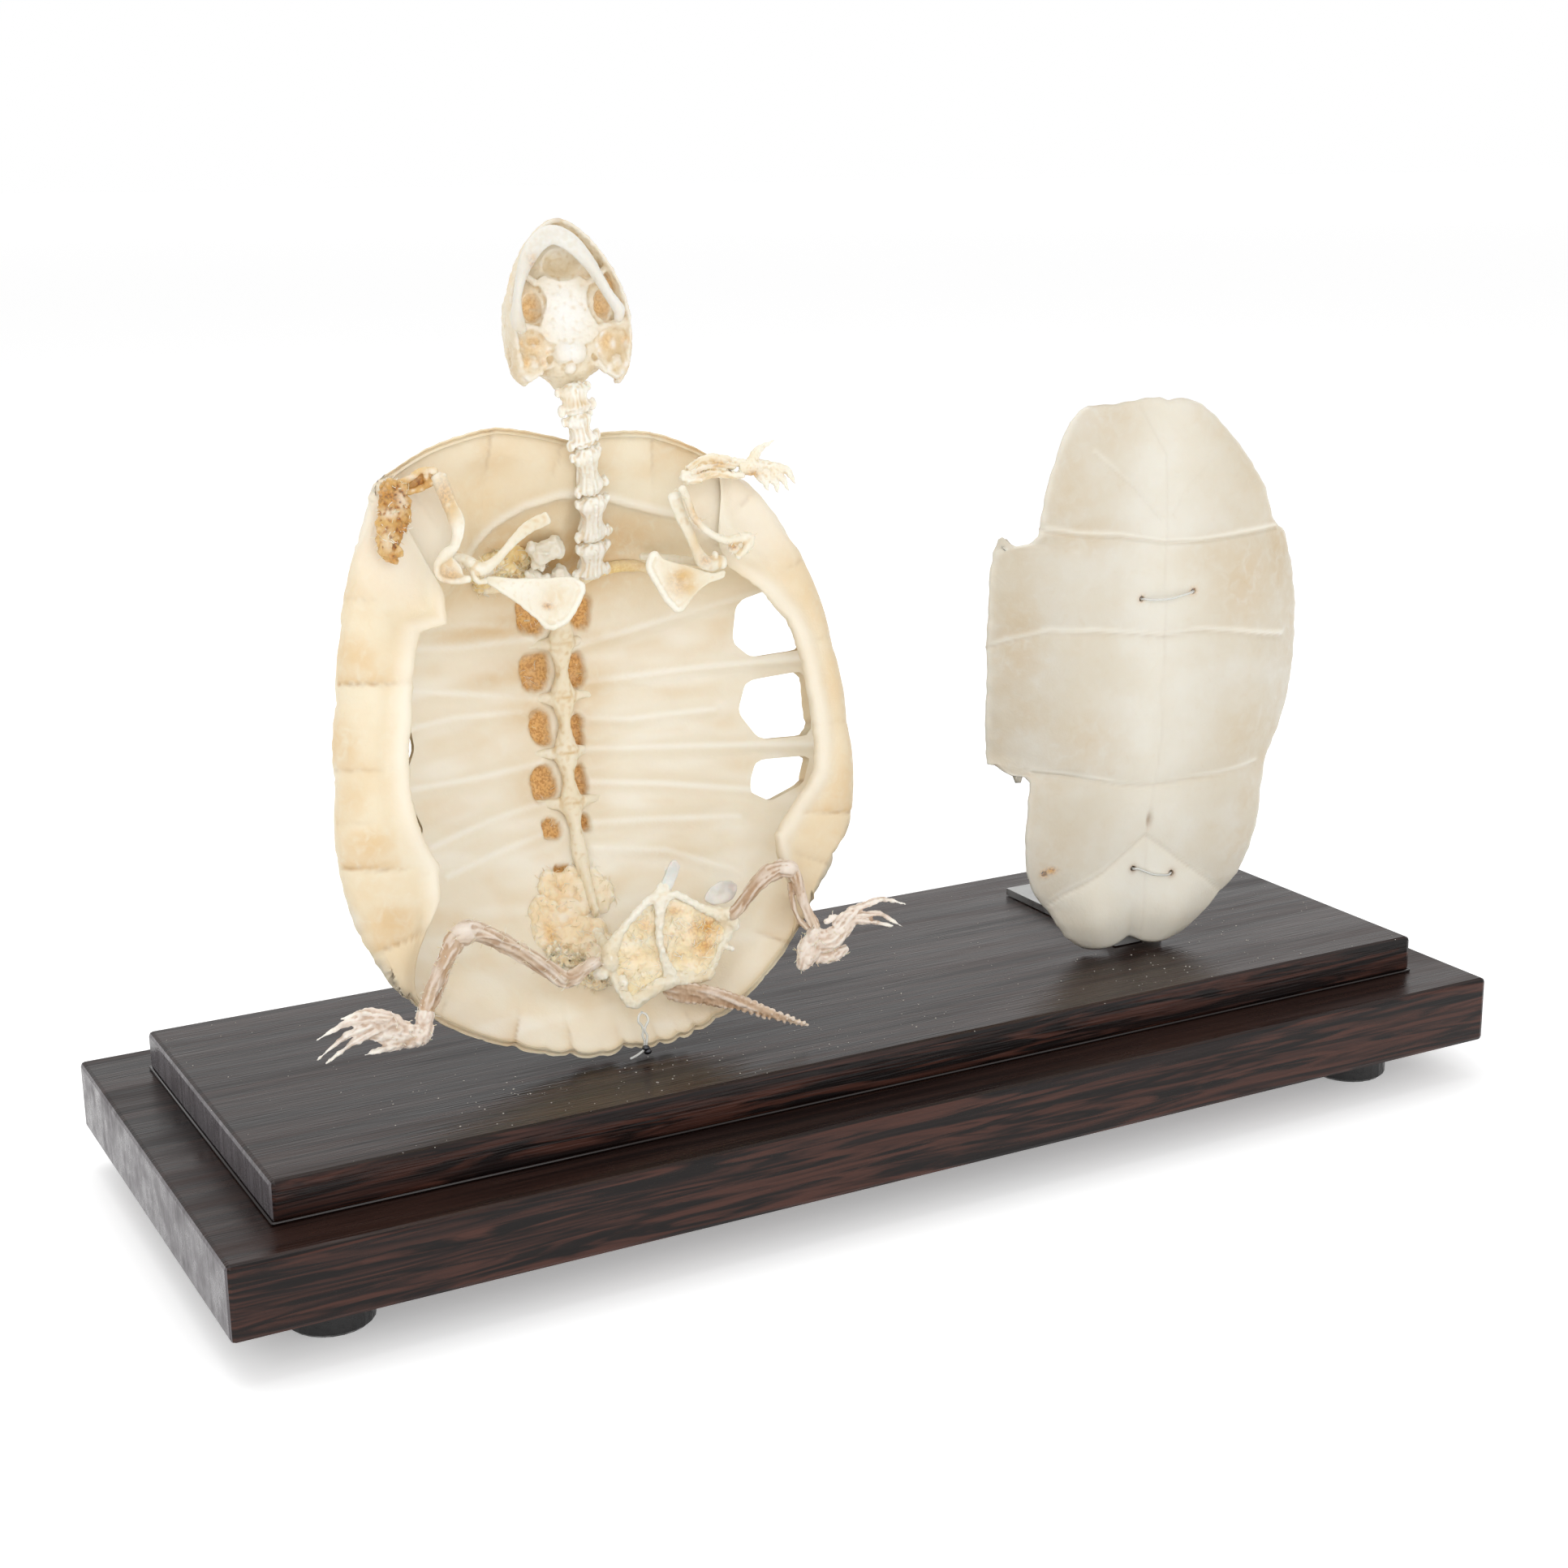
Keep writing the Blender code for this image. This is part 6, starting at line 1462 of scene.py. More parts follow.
FOREARM_L = [
    [(-37.6, 145.9, 8, 1.2, 1.1), (-40.8, 146.3, 7.8, 0.8, 0.9), (-44.6, 144.4, 7.7, 0.9, 0.9),
        (-48.6, 143.2, 7.7, 0.9, 0.9)],
    [(-37.8, 144.2, 7.6, 0.9, 1.0), (-40.4, 142.6, 7.6, 0.8, 0.9), (-43.4, 141.8, 7.6, 0.8, 0.8),
        (-46.6, 141.4, 7.6, 0.8, 0.8)],
    [(-38.6, 145.0, 7.0, 1.4, 0.6), (-42.0, 144.4, 6.8, 1.5, 0.5), (-45.4, 142.8, 6.8, 1.2, 0.5)]]
grow("forearm_bones_left", dried_look, "dried_tissue", ["forearm_left"],
    [bar(SHELL, line, 10, 0.5) for line in FOREARM_L] + [knob(SHELL, (-39.9, 144.9, 7.6), (0.9, 1.4, 1.4))],
    0.25, 1, ((0.25, 1.2, 3.0), (0.12, 0.5, 2.0)),
    [("amber", (-41.4, 143.6, 7.4), (2.2, 1.3, 2), 0.8), ("white", (-38.6, 145.9, 8.6), (2.0, 1.0, 2), 0.7),
        ("white", (-43.6, 145.0, 8), (1.6, 0.8, 2), 0.6)])
HAND_L = [(-49.6, 143.6, 8, 1.9, 1.5), (-48.4, 141, 8, 3.7, 2.0), (-48.2, 137.6, 8, 3.8, 2.2),
    (-49.4, 134, 8, 3.6, 2.2), (-50.6, 130.4, 8, 2.9, 2.2), (-50.6, 127.6, 8, 1.8, 1.6),
    (-49.3, 125.6, 8, 0.9, 0.9)]
gum_look = bone_look("dried_flesh", (0.50, 0.255, 0.055), (0.68, 0.44, 0.15), tan=(0.40, 0.165, 0.03),
    rough=0.30, grain=2.0, glow=0.25, amber=((0.50, 0.19, 0.022), (0.19, 0.062, 0.012)))
flesh = [bar(SHELL, HAND_L, 16)] + [
    knob(SHELL, at, r) for at, r in (((-46.2, 142.4, 8.4), (1.6, 1.2, 1.5)),
        ((-45.6, 139.4, 8.6), (1.3, 1.9, 1.2)), ((-51.2, 138.6, 8.6), (1.2, 2.2, 1.4)),
        ((-52.4, 132.6, 8.4), (1.3, 1.6, 1.4)), ((-47.4, 133.2, 9), (1.5, 1.4, 1.3)),
        ((-48.8, 128.2, 9), (1.2, 1.8, 1.2)), ((-50.6, 141.6, 9.2), (1.2, 1.0, 1.0)))]
grow("hand_flesh_left", gum_look, "dried_tissue", ["hand_left"], flesh, 0.25, 1,
    ((0.75, 2.0, 5.0), (0.42, 0.9, 6.0), (0.12, 0.45, 7.0)), crease_shade=("amber", 0.9), ridge=0.2,
    marks= [("amber", (-49.6, 140.6, 9), (3.4, 3.0, 3), 0.85),
        ("amber", (-47, 132.6, 9), (2.2, 2.4, 3), 0.8), ("white", (-49.8, 136.8, 10), (2.2, 1.2, 2), 0.6),
        ("white", (-51.2, 130.4, 10), (1.5, 2.6, 2), 0.45), ("amber", (-50, 126.4, 9), (1.6, 1.6, 2), 0.6),
        ("white", (-46.6, 139.6, 9.8), (1.3, 2.6, 1.6), 0.55)])
FOREARM_R = [
    [(25.2, 139.4, 8.6, 1.1, 1.1), (28.6, 139.6, 8.2, 1.0, 1.1), (32.6, 140.6, 8, 1.0, 1.0),
        (37.4, 139.8, 8, 1.0, 1.0), (40.2, 139.8, 8, 0.85, 0.9)],
    [(25.2, 140.4, 8, 0.9, 0.9), (29.5, 142.2, 7.2, 1.0, 0.9), (34.2, 142.6, 7, 1.1, 0.9),
        (38.6, 142, 7.4, 0.8, 0.85)],
    [(26.4, 142.0, 7.4, 1.1, 0.9), (30.0, 144.2, 6.8, 0.9, 0.8), (33.0, 144.6, 6.8, 1.2, 0.8),
        (37.6, 143.8, 7.2, 1.0, 0.8), (41.4, 142.4, 7.6, 1.3, 1.0)]]
arm_look = bone_look("arm_bone", (0.80, 0.71, 0.53), (0.86, 0.815, 0.70), tan=(0.68, 0.46, 0.20), rough=0.5,
    grain=1.2, amber=((0.66, 0.36, 0.08), (0.38, 0.17, 0.04)))
grow("forearm_bones_right", arm_look, "dried_tissue", ["forearm_right"],
    [bar(SHELL, line, 10, 0.5) for line in FOREARM_R] + tendons(FOREARM_R[1], 3, 5, 0.25) + [
        knob(SHELL, (25.0, 140.4, 8.4), (1.5, 1.7, 1.4)), knob(SHELL, (34.5, 142.0, 7.6), (2.2, 1.4, 1.1))],
    0.25, 1, ((0.28, 1.2, 3.0), (0.14, 0.5, 2.0)),
    [("amber", (34.5, 142.9, 8), (3.0, 1.0, 2), 0.7), ("amber", (29.0, 141.0, 8), (1.8, 1.0, 2), 0.6),
        ("tan", (30, 140, 8), (4, 2, 2), 0.5), ("white", (25.4, 140, 9.2), (2.4, 1.6, 1.6), 0.7),
        ("white", (38, 143.6, 8), (3, 1.2, 2), 0.6)],
    fibre=FOREARM_R)


def claws(tracks, radius):
    """Curved claws through a root, a middle and a tip."""
    return [
        bar(SHELL,
            [(*a, radius, radius), (*[(x + y) / 2 for x, y in zip(a, b)], radius, radius),
                (*b, radius * 0.8, radius * 0.75), (*c, 0.14, 0.14)],
            10, 0.4) for a, b, c in tracks]


HAND_R_CLAWS = [((42.6, 142.8, 7.8), (45.6, 146.0, 7.8), (49.6, 147.9, 8)),
    ((49.0, 141.4, 7.8), (52.6, 140.0, 7.8), (54.2, 136.6, 8)),
    ((48.2, 140.2, 7.8), (51.0, 138.0, 8), (52.0, 135.2, 8.2)),
    ((46.2, 140.2, 8), (48.8, 137.2, 8.2), (49.2, 134.6, 8.2)),
    ((44.2, 140.4, 8), (46.0, 137.8, 8.2), (46.6, 135.4, 8.2))]
WRIST = (41.4, 141.4, 7.8)
metacarpals = [
    bar(SHELL, [(*WRIST, 0.9, 0.9), (*[(x + y) / 2 for x, y in zip(WRIST, a)], 0.7, 0.8), (*a, 1.0, 0.95)],
        10, 0.4) for a, b, c in HAND_R_CLAWS]
grow("hand_bones_right", arm_look, "hand_bone", ["hand_right"],
    [
        bar(SHELL,
            [(40.4, 141.4, 7.8, 1.6, 1.2), (42.8, 141.6, 7.8, 2.1, 1.4), (46.6, 141.6, 7.4, 1.7, 1.0),
                (50.0, 140.8, 7.4, 1.2, 0.9)],
            14)] + metacarpals + claws(HAND_R_CLAWS, 1.25),
    0.2, 1, ((0.26, 1.2, 3.0), (0.14, 0.5, 2.0)),
    [("white", (46.5, 142.2, 9), (5, 1.8, 1.5), 0.75), ("amber", (43.0, 139.9, 8.6), (2.0, 1.2, 1.6), 0.8),
        ("tan", (49.5, 138.6, 9), (2.5, 1.5, 2), 0.5), ("white", (48, 147, 8), (3.5, 2, 2), 0.8)]
        + [("white", b, (2.0, 2.6, 1.8), 0.9) for a, b, c in HAND_R_CLAWS],
    crease_shade=("tan", 0.5))


# %% [markdown]
# ## Hips, legs and tail
#
# The hip is a ring of thin bars round two windows, still closed by a yellow membrane. Both feet are
# dried in their skin, pale brown and wrinkled, and end in long ivory claws. The tail runs forward over
# the rear rim.

# %% Hip
PELVIS = [
    [(13.6, 44.4, 1.2, 1.9, 0.7), (12.4, 41.2, 1.8, 1.4, 0.8), (10, 38, 2.6, 2.5, 1.1),
        (9, 34, 3, 1.4, 1.1), (8.1, 27.3, 3, 1.0, 1.0), (9, 22, 2.4, 1.1, 1.0), (10.6, 17, 1.6, 2.2, 1.1)],
    [(9.6, 37.6, 2.6, 1.7, 1.1), (6.2, 37, 2.8, 1.1, 1.0), (-0.3, 31.4, 2, 1.0, 1.0),
        (-4.2, 26.2, 1, 2.0, 1.7), (-5.2, 23.6, 0.6, 1.8, 1.6)],
    [(-4.9, 25.6, 0.8, 1.8, 1.5), (-4.2, 20, 1, 1.4, 1.1), (-1.4, 13.4, 1.8, 1.5, 1.1),
        (0.6, 12.6, 1.8, 1.8, 1.2), (6, 15.2, 1.8, 1.9, 1.2), (12, 16.8, 1.4, 2.1, 1.3)],
    [(9.4, 37.2, 2.6, 1.8, 1.1), (14, 37.4, 2.8, 1.0, 1.0), (20.4, 33.3, 2.2, 1.1, 1.0),
        (25.4, 31, 1.8, 1.9, 1.5), (27.4, 30, 1.6, 1.8, 1.5)],
    [(27, 30.4, 1.6, 1.6, 1.5), (27.2, 26.4, 1, 1.5, 1.3), (24.6, 23, 0.6, 1.5, 1.1),
        (22.2, 18.8, 0.6, 1.3, 1.1), (20.4, 16.4, 0.8, 1.7, 1.2), (15, 16.4, 1.2, 2.0, 1.2),
        (11, 16.9, 1.4, 2.0, 1.3)],
    [(24.8, 23.2, 0.8, 1.0, 0.9), (27.8, 21.8, 1, 0.8, 0.8)]]
BLADES = [[(-4.4, 26, 0.4, 1.7, 1.7), (-4.2, 28.4, -6, 1.3, 1.1), (-3.8, 30, -9, 1.4, 1.0)],
    [(26.4, 29, 0.8, 1.7, 1.7), (21, 31, -6, 1.2, 1.1), (14, 33.6, -13, 2.2, 1.0)]]
grow("hip", girdle_look, "pelvis_bone", ["pelvis"],
    [bar(SHELL, line, 12) for line in PELVIS]
        + [bar(SHELL, line, 12, 0.7, SHELL[2]) for line in BLADES] + [
            knob(SHELL, at, r) for at, r in (((27.4, 31.2, 2.4), (2.4, 1.8, 1.6)),
                ((28.6, 28.6, 2.2), (1.5, 2.4, 1.5)), ((-4.8, 23.2, 1.6), (2.4, 2.6, 1.6)),
                ((-7.4, 20.6, 1.4), (2.2, 1.6, 1.3)), ((-2.2, 17.4, 1.8), (1.4, 2.4, 1.2)))],
    0.28, 2, ((0.28, 1.6, 1.0), (0.14, 0.7, 2.0)), crease_shade=("tan", 0.3), ridge=0.7,
    marks=[("tan", (9.6, 30, 3), (2.0, 6, 2), 0.35), ("tan", (-4.6, 25, 1), (2.6, 2.6, 2.6), 0.55),
        ("tan", (26.6, 29.6, 2), (2.6, 2.6, 2.6), 0.5), ("white", (3, 34, 3), (4, 3, 2), 0.5),
        ("white", (17, 35.6, 3), (5, 2.6, 2), 0.5), ("tan", (6, 15, 2.4), (5, 2, 2), 0.35),
        ("tan", (19, 16, 1.6), (4, 2, 2), 0.4)])

# %% Legs
FEMUR_LEFT = [(-43.6, 36.6, 8.4, 2.2, 1.9), (-41.0, 36.6, 8.2, 2.6, 2.1), (-38, 35.8, 7.6, 2.3, 1.8),
    (-33, 32.8, 6.8, 2.1, 1.8), (-27, 28.4, 6, 2.0, 1.7), (-21.8, 24.2, 5.4, 2.1, 1.7),
    (-17.6, 21.0, 5.2, 2.1, 1.7), (-12.4, 22.8, 4.6, 1.6, 1.5), (-8.8, 24.2, 3.2, 1.2, 1.3)]
grow("thigh_left", limb_look, "limb_bone", ["femur_left"],
    [bar(SHELL, FEMUR_LEFT), knob(SHELL, (-43.0, 36.2, 9.2), (3.5, 2.8, 2.2)),
        knob(SHELL, (-40.0, 37.4, 8.2), (2.2, 1.6, 1.5))] + tendons(FEMUR_LEFT, 5, 21, 0.3),
    0.28, 1, ((0.30, 2.4, 3.0), (0.10, 0.9, 5.0)),
    [("tan", (-35, 33.0, 8), (4, 1.4, 3), 0.7), ("white", (-29, 30.8, 8), (5, 1.0, 2), 0.5),
        ("tan", (-24, 25, 6), (6, 1.4, 3), 0.8), ("white", (-10.6, 23.6, 5), (2.4, 2, 2), 0.6),
        ("amber", (-31, 30.6, 6.6), (4, 1.0, 2), 0.5), ("white", (-42.4, 37.4, 10), (4.2, 2.6, 2.4), 0.85)],
    crease_shade=("tan", 0.6), ridge=0.4, fibre=[FEMUR_LEFT])
SHIN_LEFT = [(-43.4, 37.0, 8.8, 1.9, 1.7), (-45.4, 34.6, 9, 2.5, 2.0), (-47.3, 32, 9.5, 2.1, 1.8),
    (-50, 28, 10, 1.7, 1.6), (-52.6, 23.8, 10.4, 1.6, 1.5), (-54.6, 19.8, 10.8, 1.8, 1.5)]
FIBULA_LEFT = [(-45.4, 33.4, 8.6, 0.8, 0.8), (-46.9, 29.8, 8.8, 0.7, 0.7), (-48.8, 25.6, 9.2, 0.7, 0.7),
    (-50.8, 22, 9.8, 0.7, 0.7), (-53, 19.4, 10.4, 0.9, 0.9)]
grow("shin_left", limb_look, "limb_bone", ["lower_leg_left"],
    [bar(SHELL, SHIN_LEFT), bar(SHELL, FIBULA_LEFT, 10)] + tendons(SHIN_LEFT, 5, 22, 0.28), 0.25, 1,
    ((0.30, 2.4, 3.0), (0.10, 0.9, 5.0)),
    [("tan", (-46, 33, 9), (2.4, 4, 3), 0.5), ("tan", (-50.4, 27, 10), (4, 8, 4), 0.45),
        ("white", (-51, 27, 11), (1.2, 5, 2), 0.5), ("amber", (-54.4, 19.6, 11), (2.2, 2, 2), 0.5),
        ("amber", (-48.4, 28, 9.4), (1.0, 4, 2), 0.6)],
    crease_shade=("tan", 0.6), ridge=0.4, fibre=[SHIN_LEFT, FIBULA_LEFT])
SHIN_RIGHT = [(42.6, 40.6, 9, 1.7, 1.6), (43.9, 37, 9, 1.5, 1.4), (45.2, 31.4, 9, 1.2, 1.2),
    (46.6, 27.6, 9, 1.2, 1.1), (47.6, 25, 9, 1.2, 1.1)]
FIBULA_RIGHT = [(42.2, 37.0, 8.4, 0.7, 0.8), (42.6, 32, 7.8, 0.7, 0.7), (43.8, 27.8, 7.6, 0.7, 0.7),
    (45.8, 25.2, 8.2, 0.7, 0.7)]
grow("shin_right", limb_look, "limb_bone", ["lower_leg_right"],
    [bar(SHELL, SHIN_RIGHT, 12), bar(SHELL, FIBULA_RIGHT, 10)] + tendons(SHIN_RIGHT, 4, 23, 0.26), 0.22, 1,
    ((0.30, 2.4, 3.0), (0.10, 0.9, 5.0)),
    [("white", (45, 32, 10), (1.4, 5, 2), 0.55), ("tan", (43.2, 36, 9), (2, 2, 2), 0.4)],
    crease_shade=("tan", 0.6), ridge=0.4, fibre=[SHIN_RIGHT, FIBULA_RIGHT])
FEMUR_RIGHT = [(27.6, 30.6, 2.8, 1.7, 1.6), (29.5, 32.4, 4.2, 1.5, 1.5), (31.2, 34.8, 5.6, 1.6, 1.5),
    (34.1, 38, 7, 1.9, 1.7), (37.2, 40.2, 8, 2.2, 1.8), (40.0, 41.0, 8.6, 2.0, 1.8),
    (42.4, 40.6, 9.0, 1.7, 1.6)]
grow("thigh_right", limb_look, "limb_bone", ["femur_right"],
    [bar(SHELL, FEMUR_RIGHT), knob(SHELL, (41.4, 40.9, 9.7), (2.8, 2.3, 1.8))]
        + tendons(FEMUR_RIGHT, 4, 24, 0.28),
    0.25, 1, ((0.30, 2.4, 3.0), (0.10, 0.9, 5.0)),
    [("white", (36, 39.6, 9), (3, 2, 2), 0.5), ("tan", (31.4, 35, 6.4), (2.4, 3, 3), 0.5),
        ("white", (41, 41.4, 10.4), (3.4, 2.2, 2.4), 0.85)],
    crease_shade=("tan", 0.6), ridge=0.4, fibre=[FEMUR_RIGHT])


def clawed_foot(name, node_name, look, body, tracks, radius, extra, marks, seed):
    """A wrinkled foot whose claws are chalky ivory."""
    shapes = [bar(SHELL, body, 18, 0.5)] + claws(tracks, radius) + extra
    for (a, b, c), k in zip(tracks, range(9)):
        lift = [(*a[:2], a[2] + 0.9, 0.55, 0.5), (*b[:2], b[2] + 0.7, 0.45, 0.4)]
        shapes.append(bar(SHELL, [(2 * a[0] - b[0], 2 * a[1] - b[1], a[2] + 0.6, 0.5, 0.5)] + lift, 8))
    marks = list(marks)
    for a, b, c in tracks:
        for t in (0.55, 0.75, 0.95):
            tip = np.array(b) * (1 - t) + np.array(c) * t
            marks.append(("white", tip, (1.7, 1.2, 1.4), 0.92))
        marks.append(("seam", np.array(b) * 0.92 + np.array(c) * 0.08, (0.9, 0.9, 1.4), 0.35))
    return grow(name, look, "foot_bone", [node_name], shapes, 0.25, 1,
        ((0.34, 1.7, seed), (0.14, 0.8, 2.0)), marks, crease_shade=("tan", 0.8), ridge=0.4,
        fibre=[body] + [[a, b, c] for a, b, c in tracks])


foot_look = bone_look("foot_skin", (0.72, 0.60, 0.50), (0.82, 0.74, 0.66), tan=(0.49, 0.33, 0.22),
    rough=0.55, grain=1.4, amber=((0.52, 0.31, 0.14), (0.32, 0.18, 0.09)), white=(0.88, 0.84, 0.76))
clawed_foot("foot_and_claws_left", "foot_left", foot_look,
    [(-54.6, 17.0, 10.6, 1.9, 1.7), (-56.2, 14.4, 11, 2.5, 2.1), (-60, 15.0, 11.6, 3.2, 1.8),
        (-64.4, 17.2, 12.4, 4.0, 1.5), (-68.6, 19.6, 13.2, 3.5, 1.2), (-71.2, 20.4, 13.8, 2.6, 0.9)],
    [((-66, 20, 13), (-70, 22, 14), (-75.4, 21.4, 14.6)),
        ((-69.4, 20, 13.6), (-74.4, 20.2, 14.8), (-82, 17.4, 15.6)),
        ((-69.0, 18.6, 13.4), (-75, 17.2, 14.8), (-82.2, 12.9, 15.8)),
        ((-68, 16.8, 13.2), (-73.6, 15.2, 14.6), (-80, 11.9, 15.4)),
        ((-60, 13, 11.6), (-65.2, 12.6, 12.6), (-70.4, 12.0, 13.4))],
    1.0,
    [
        knob(SHELL, at, r) for at, r in (((-54.8, 18.2, 10.8), (2.4, 2.5, 1.9)),
            ((-57.4, 13.4, 12.4), (1.6, 1.3, 1.1)), ((-61.6, 16.2, 13), (1.8, 1.2, 0.9)),
            ((-59.2, 16.4, 12.8), (1.3, 1.1, 1.0)), ((-65.8, 18.4, 13.6), (2.0, 1.0, 0.8)))],
    [("white", (-62, 14.6, 13.6), (4, 1.0, 1.2), 0.5), ("amber", (-60.6, 13.4, 13), (2.4, 1.0, 1.6), 0.55),
        ("white", (-56.6, 15.4, 13), (1.6, 1.2, 1.2), 0.6), ("tan", (-66, 19, 14), (4, 2.4, 2), 0.4)],
    7.0)
clawed_foot("foot_and_claws_right", "foot_right", foot_look,
    [(43.6, 15.6, 8, 1.5, 1.5), (45.2, 18.6, 8, 3.2, 2.0), (47.6, 21.2, 8.2, 3.2, 2.1),
        (51.6, 21.6, 8.8, 3.0, 1.9), (55.0, 24.2, 9.8, 2.4, 1.5), (58.2, 27.8, 10.8, 2.3, 1.2)],
    [((57.6, 28.4, 10.6), (65.4, 30.2, 11.2), (72.1, 28.0, 11.6)),
        ((58, 27.0, 10.6), (65, 26.4, 11.4), (70.4, 22.4, 12)),
        ((57.4, 25.8, 10.4), (63.2, 24.6, 11.2), (68, 23.0, 11.8))],
    0.92,
    [bar(SHELL, [(47, 17.4, 7.8, 1.3, 1.3), (51.6, 17.2, 7.8, 1.9, 1.3), (56, 18.4, 8, 1.1, 0.9)], 12),
        knob(SHELL, (47.3, 23.6, 8.9), (2.0, 2.2, 1.7)), knob(SHELL, (46.6, 22.6, 9.4), (1.6, 1.3, 1.0)),
        knob(SHELL, (53.4, 25.6, 10.2), (1.5, 1.3, 1.0)), knob(SHELL, (44.8, 17.4, 9.4), (1.2, 1.5, 0.9))],
    [("white", (53, 24.4, 11), (2.2, 1.2, 1.2), 0.6), ("tan", (46.6, 21, 9.6), (3, 3, 2), 0.5),
        ("white", (44.6, 18, 9.8), (1, 2, 1), 0.4)],
    9.0)

# %% Tail
TAIL = [(9.6, 14.2, -1.0, 1.9, 1.2), (13.6, 13.0, 0.6, 2.2, 1.4), (19.4, 11.6, 3.6, 2.1, 1.5),
    (26.4, 8.8, 5.8, 1.6, 1.3), (33.9, 5, 7.6, 1.2, 1.0), (39, 2.7, 8.6, 0.85, 0.85),
    (43, 1, 9.2, 0.45, 0.45)]
line = curve_through(TAIL, 1.7)
joints = []
for u, v, n, w, h in line[1:-1]:
    joints += [knob(SHELL, (u + 0.3, v + w * 0.5, n + 0.2), (0.75 * w, 0.62 * w, 0.8 * h)),
        knob(SHELL, (u - 0.5, v - w * 0.75, n + 0.1), (0.42 * w, 0.62 * w, 0.6 * h)),
        knob(SHELL, (u, v, n + h * 0.5), (0.5, 0.5, 0.6))]
grow("tail_bones", limb_look, "limb_bone", ["tail"],
    [bar(SHELL, [(u, v, n, 0.8 * w, 0.85 * h) for u, v, n, w, h in TAIL], 12)] + joints, 0.24, 1,
    ((0.25, 1.1, 4.0), (0.10, 0.5, 2.0)),
    [("tan", (14, 12, 1), (3, 2, 2.4), 0.5), ("white", (20, 12.4, 5), (3, 1.2, 1.4), 0.4),
        ("tan", (36, 4, 8.6), (6, 2, 2), 0.35), ("tan", (26, 8.6, 6), (13, 5, 4), 0.4)],
    crease_shade=("tan", 0.6), ridge=0.4, fibre=[TAIL])

# %% [markdown]
# ## Backbone and first ribs
#
# Down the middle of the hollow runs the backbone, fused to the shell: a smooth pale column, widest
# at its joints and narrow between the hollows, with a short rib end to each side of every joint. The
# first ribs stand free of the shell; the right one is stained yellow.

# %% Backbone
COLUMN = [(2.8, 116.5, 2.7), (2.4, 113, 2.3), (1.9, 108.5, 1.9), (1.3, 102.5, 3.6), (1.5, 95.5, 1.6),
    (1.5, 88.5, 3.4), (1.4, 81.5, 1.5), (1.1, 74, 3.3), (0.9, 67.5, 1.5), (0.8, 60.9, 3.0),
    (0.7, 54.5, 1.5), (0.6, 48, 2.2), (0.7, 42, 1.5), (0.8, 35.7, 1.2), (1.0, 32.5, 0.8)]


def on_bowl(line, lift, wide, thick=None):
    """Stations that follow the inside of the shell at a small height above it."""
    return [(u, v, float(bowl(u, v)) + lift, wide, wide if thick is None else thick) for u, v in line]


column = [(u, v, float(bowl(u, v)) + 1.9, w, 2.1) for u, v, w in COLUMN]
back_shapes = [bar(SHELL, column, 18, 0.5)]
back_cuts, back_marks = [], []
for u, v in ((1.3, 102.5), (1.5, 88.5), (1.1, 74.0), (0.8, 60.9)):
    top = float(bowl(u, v)) + 3.9
    back_cuts.append(
        bar(SHELL,
            [(u - 4.2, v + 0.8, top - 0.2, 0.24, 1.2), (u - 2.2, v - 0.1, top + 0.2, 0.24, 0.7),
                (u + 2.2, v - 0.1, top + 0.2, 0.24, 0.7), (u + 4.2, v + 0.9, top - 0.2, 0.24, 1.2)],
            8))
    back_marks += [("tan", (u, v - 0.1, top), (3.2, 0.5, 1.4), 0.9),
        ("white", (u - 5, v + 0.2, top - 2), (2.6, 1.6, 2.4), 0.35),
        ("white", (u + 6, v + 0.2, top - 2), (2.6, 1.6, 2.4), 0.4)]
    for hand, reach, droop in ((-1, 8.8, 0.5), (1, 8.6, 0.3)):
        line = [(u + hand * 2.0, v - 0.2), (u + hand * 4.2, v + 0.2),
            (u + hand * 6.4, v + 0.2 + 0.3 * droop), (u + hand * reach, v + droop)]
        stations = on_bowl(line, 0.1, 1.2, 0.7)
        stations[0] = (*stations[0][:2], stations[0][2] + 1.3, 2.3, 1.5)
        stations[1] = (*stations[1][:2], stations[1][2] + 0.7, 1.5, 1.2)
        stations[-1] = (*stations[-1][:2], stations[-1][2] - 0.8, 1.4, 0.6)
        back_shapes += [bar(SHELL, stations, 10),
            knob(SHELL, (u + hand * 4.8, v + 0.3, float(bowl(u + hand * 4.8, v)) + 0.7), (1.4, 1.0, 0.8))]
FIRST_RIBS = [[(4.5, 117.2), (9, 119.4), (14, 120.6), (20, 120.6), (26, 119.0)],
    [(-0.5, 116.8), (-6, 117.6), (-12, 118.2), (-19, 118.2)]]
back_shapes += [bar(SHELL, on_bowl(line, 1.1, 1.6, 1.3), 12) for line in FIRST_RIBS]
back_marks += [("amber", (13, 119.9, float(bowl(13, 119.9)) + 2), (9, 2.4, 3), 0.95),
    ("tan", (20, 120, float(bowl(20, 120)) + 2), (6, 2.4, 3), 0.8),
    ("tan", (1.6, 113, float(bowl(1.6, 113)) + 4), (3, 3, 3), 0.25),
    ("amber", (-11, 118, float(bowl(-11, 118)) + 2), (8, 1.8, 3), 0.5)]
backbone_look = bone_look("backbone_ivory", (0.83, 0.735, 0.55), (0.86, 0.79, 0.635), glow=0.15,
    white=(0.90, 0.86, 0.77), amber=((0.90, 0.70, 0.30), (0.80, 0.55, 0.20)))
grow("backbone", backbone_look, "shell_bone", [], back_shapes, 0.32, 2,
    ((0.18, 1.6, 3.0), (0.08, 0.7, 1.0)), back_marks, back_cuts, crease_shade=("tan", 0.55), ridge=0.3)

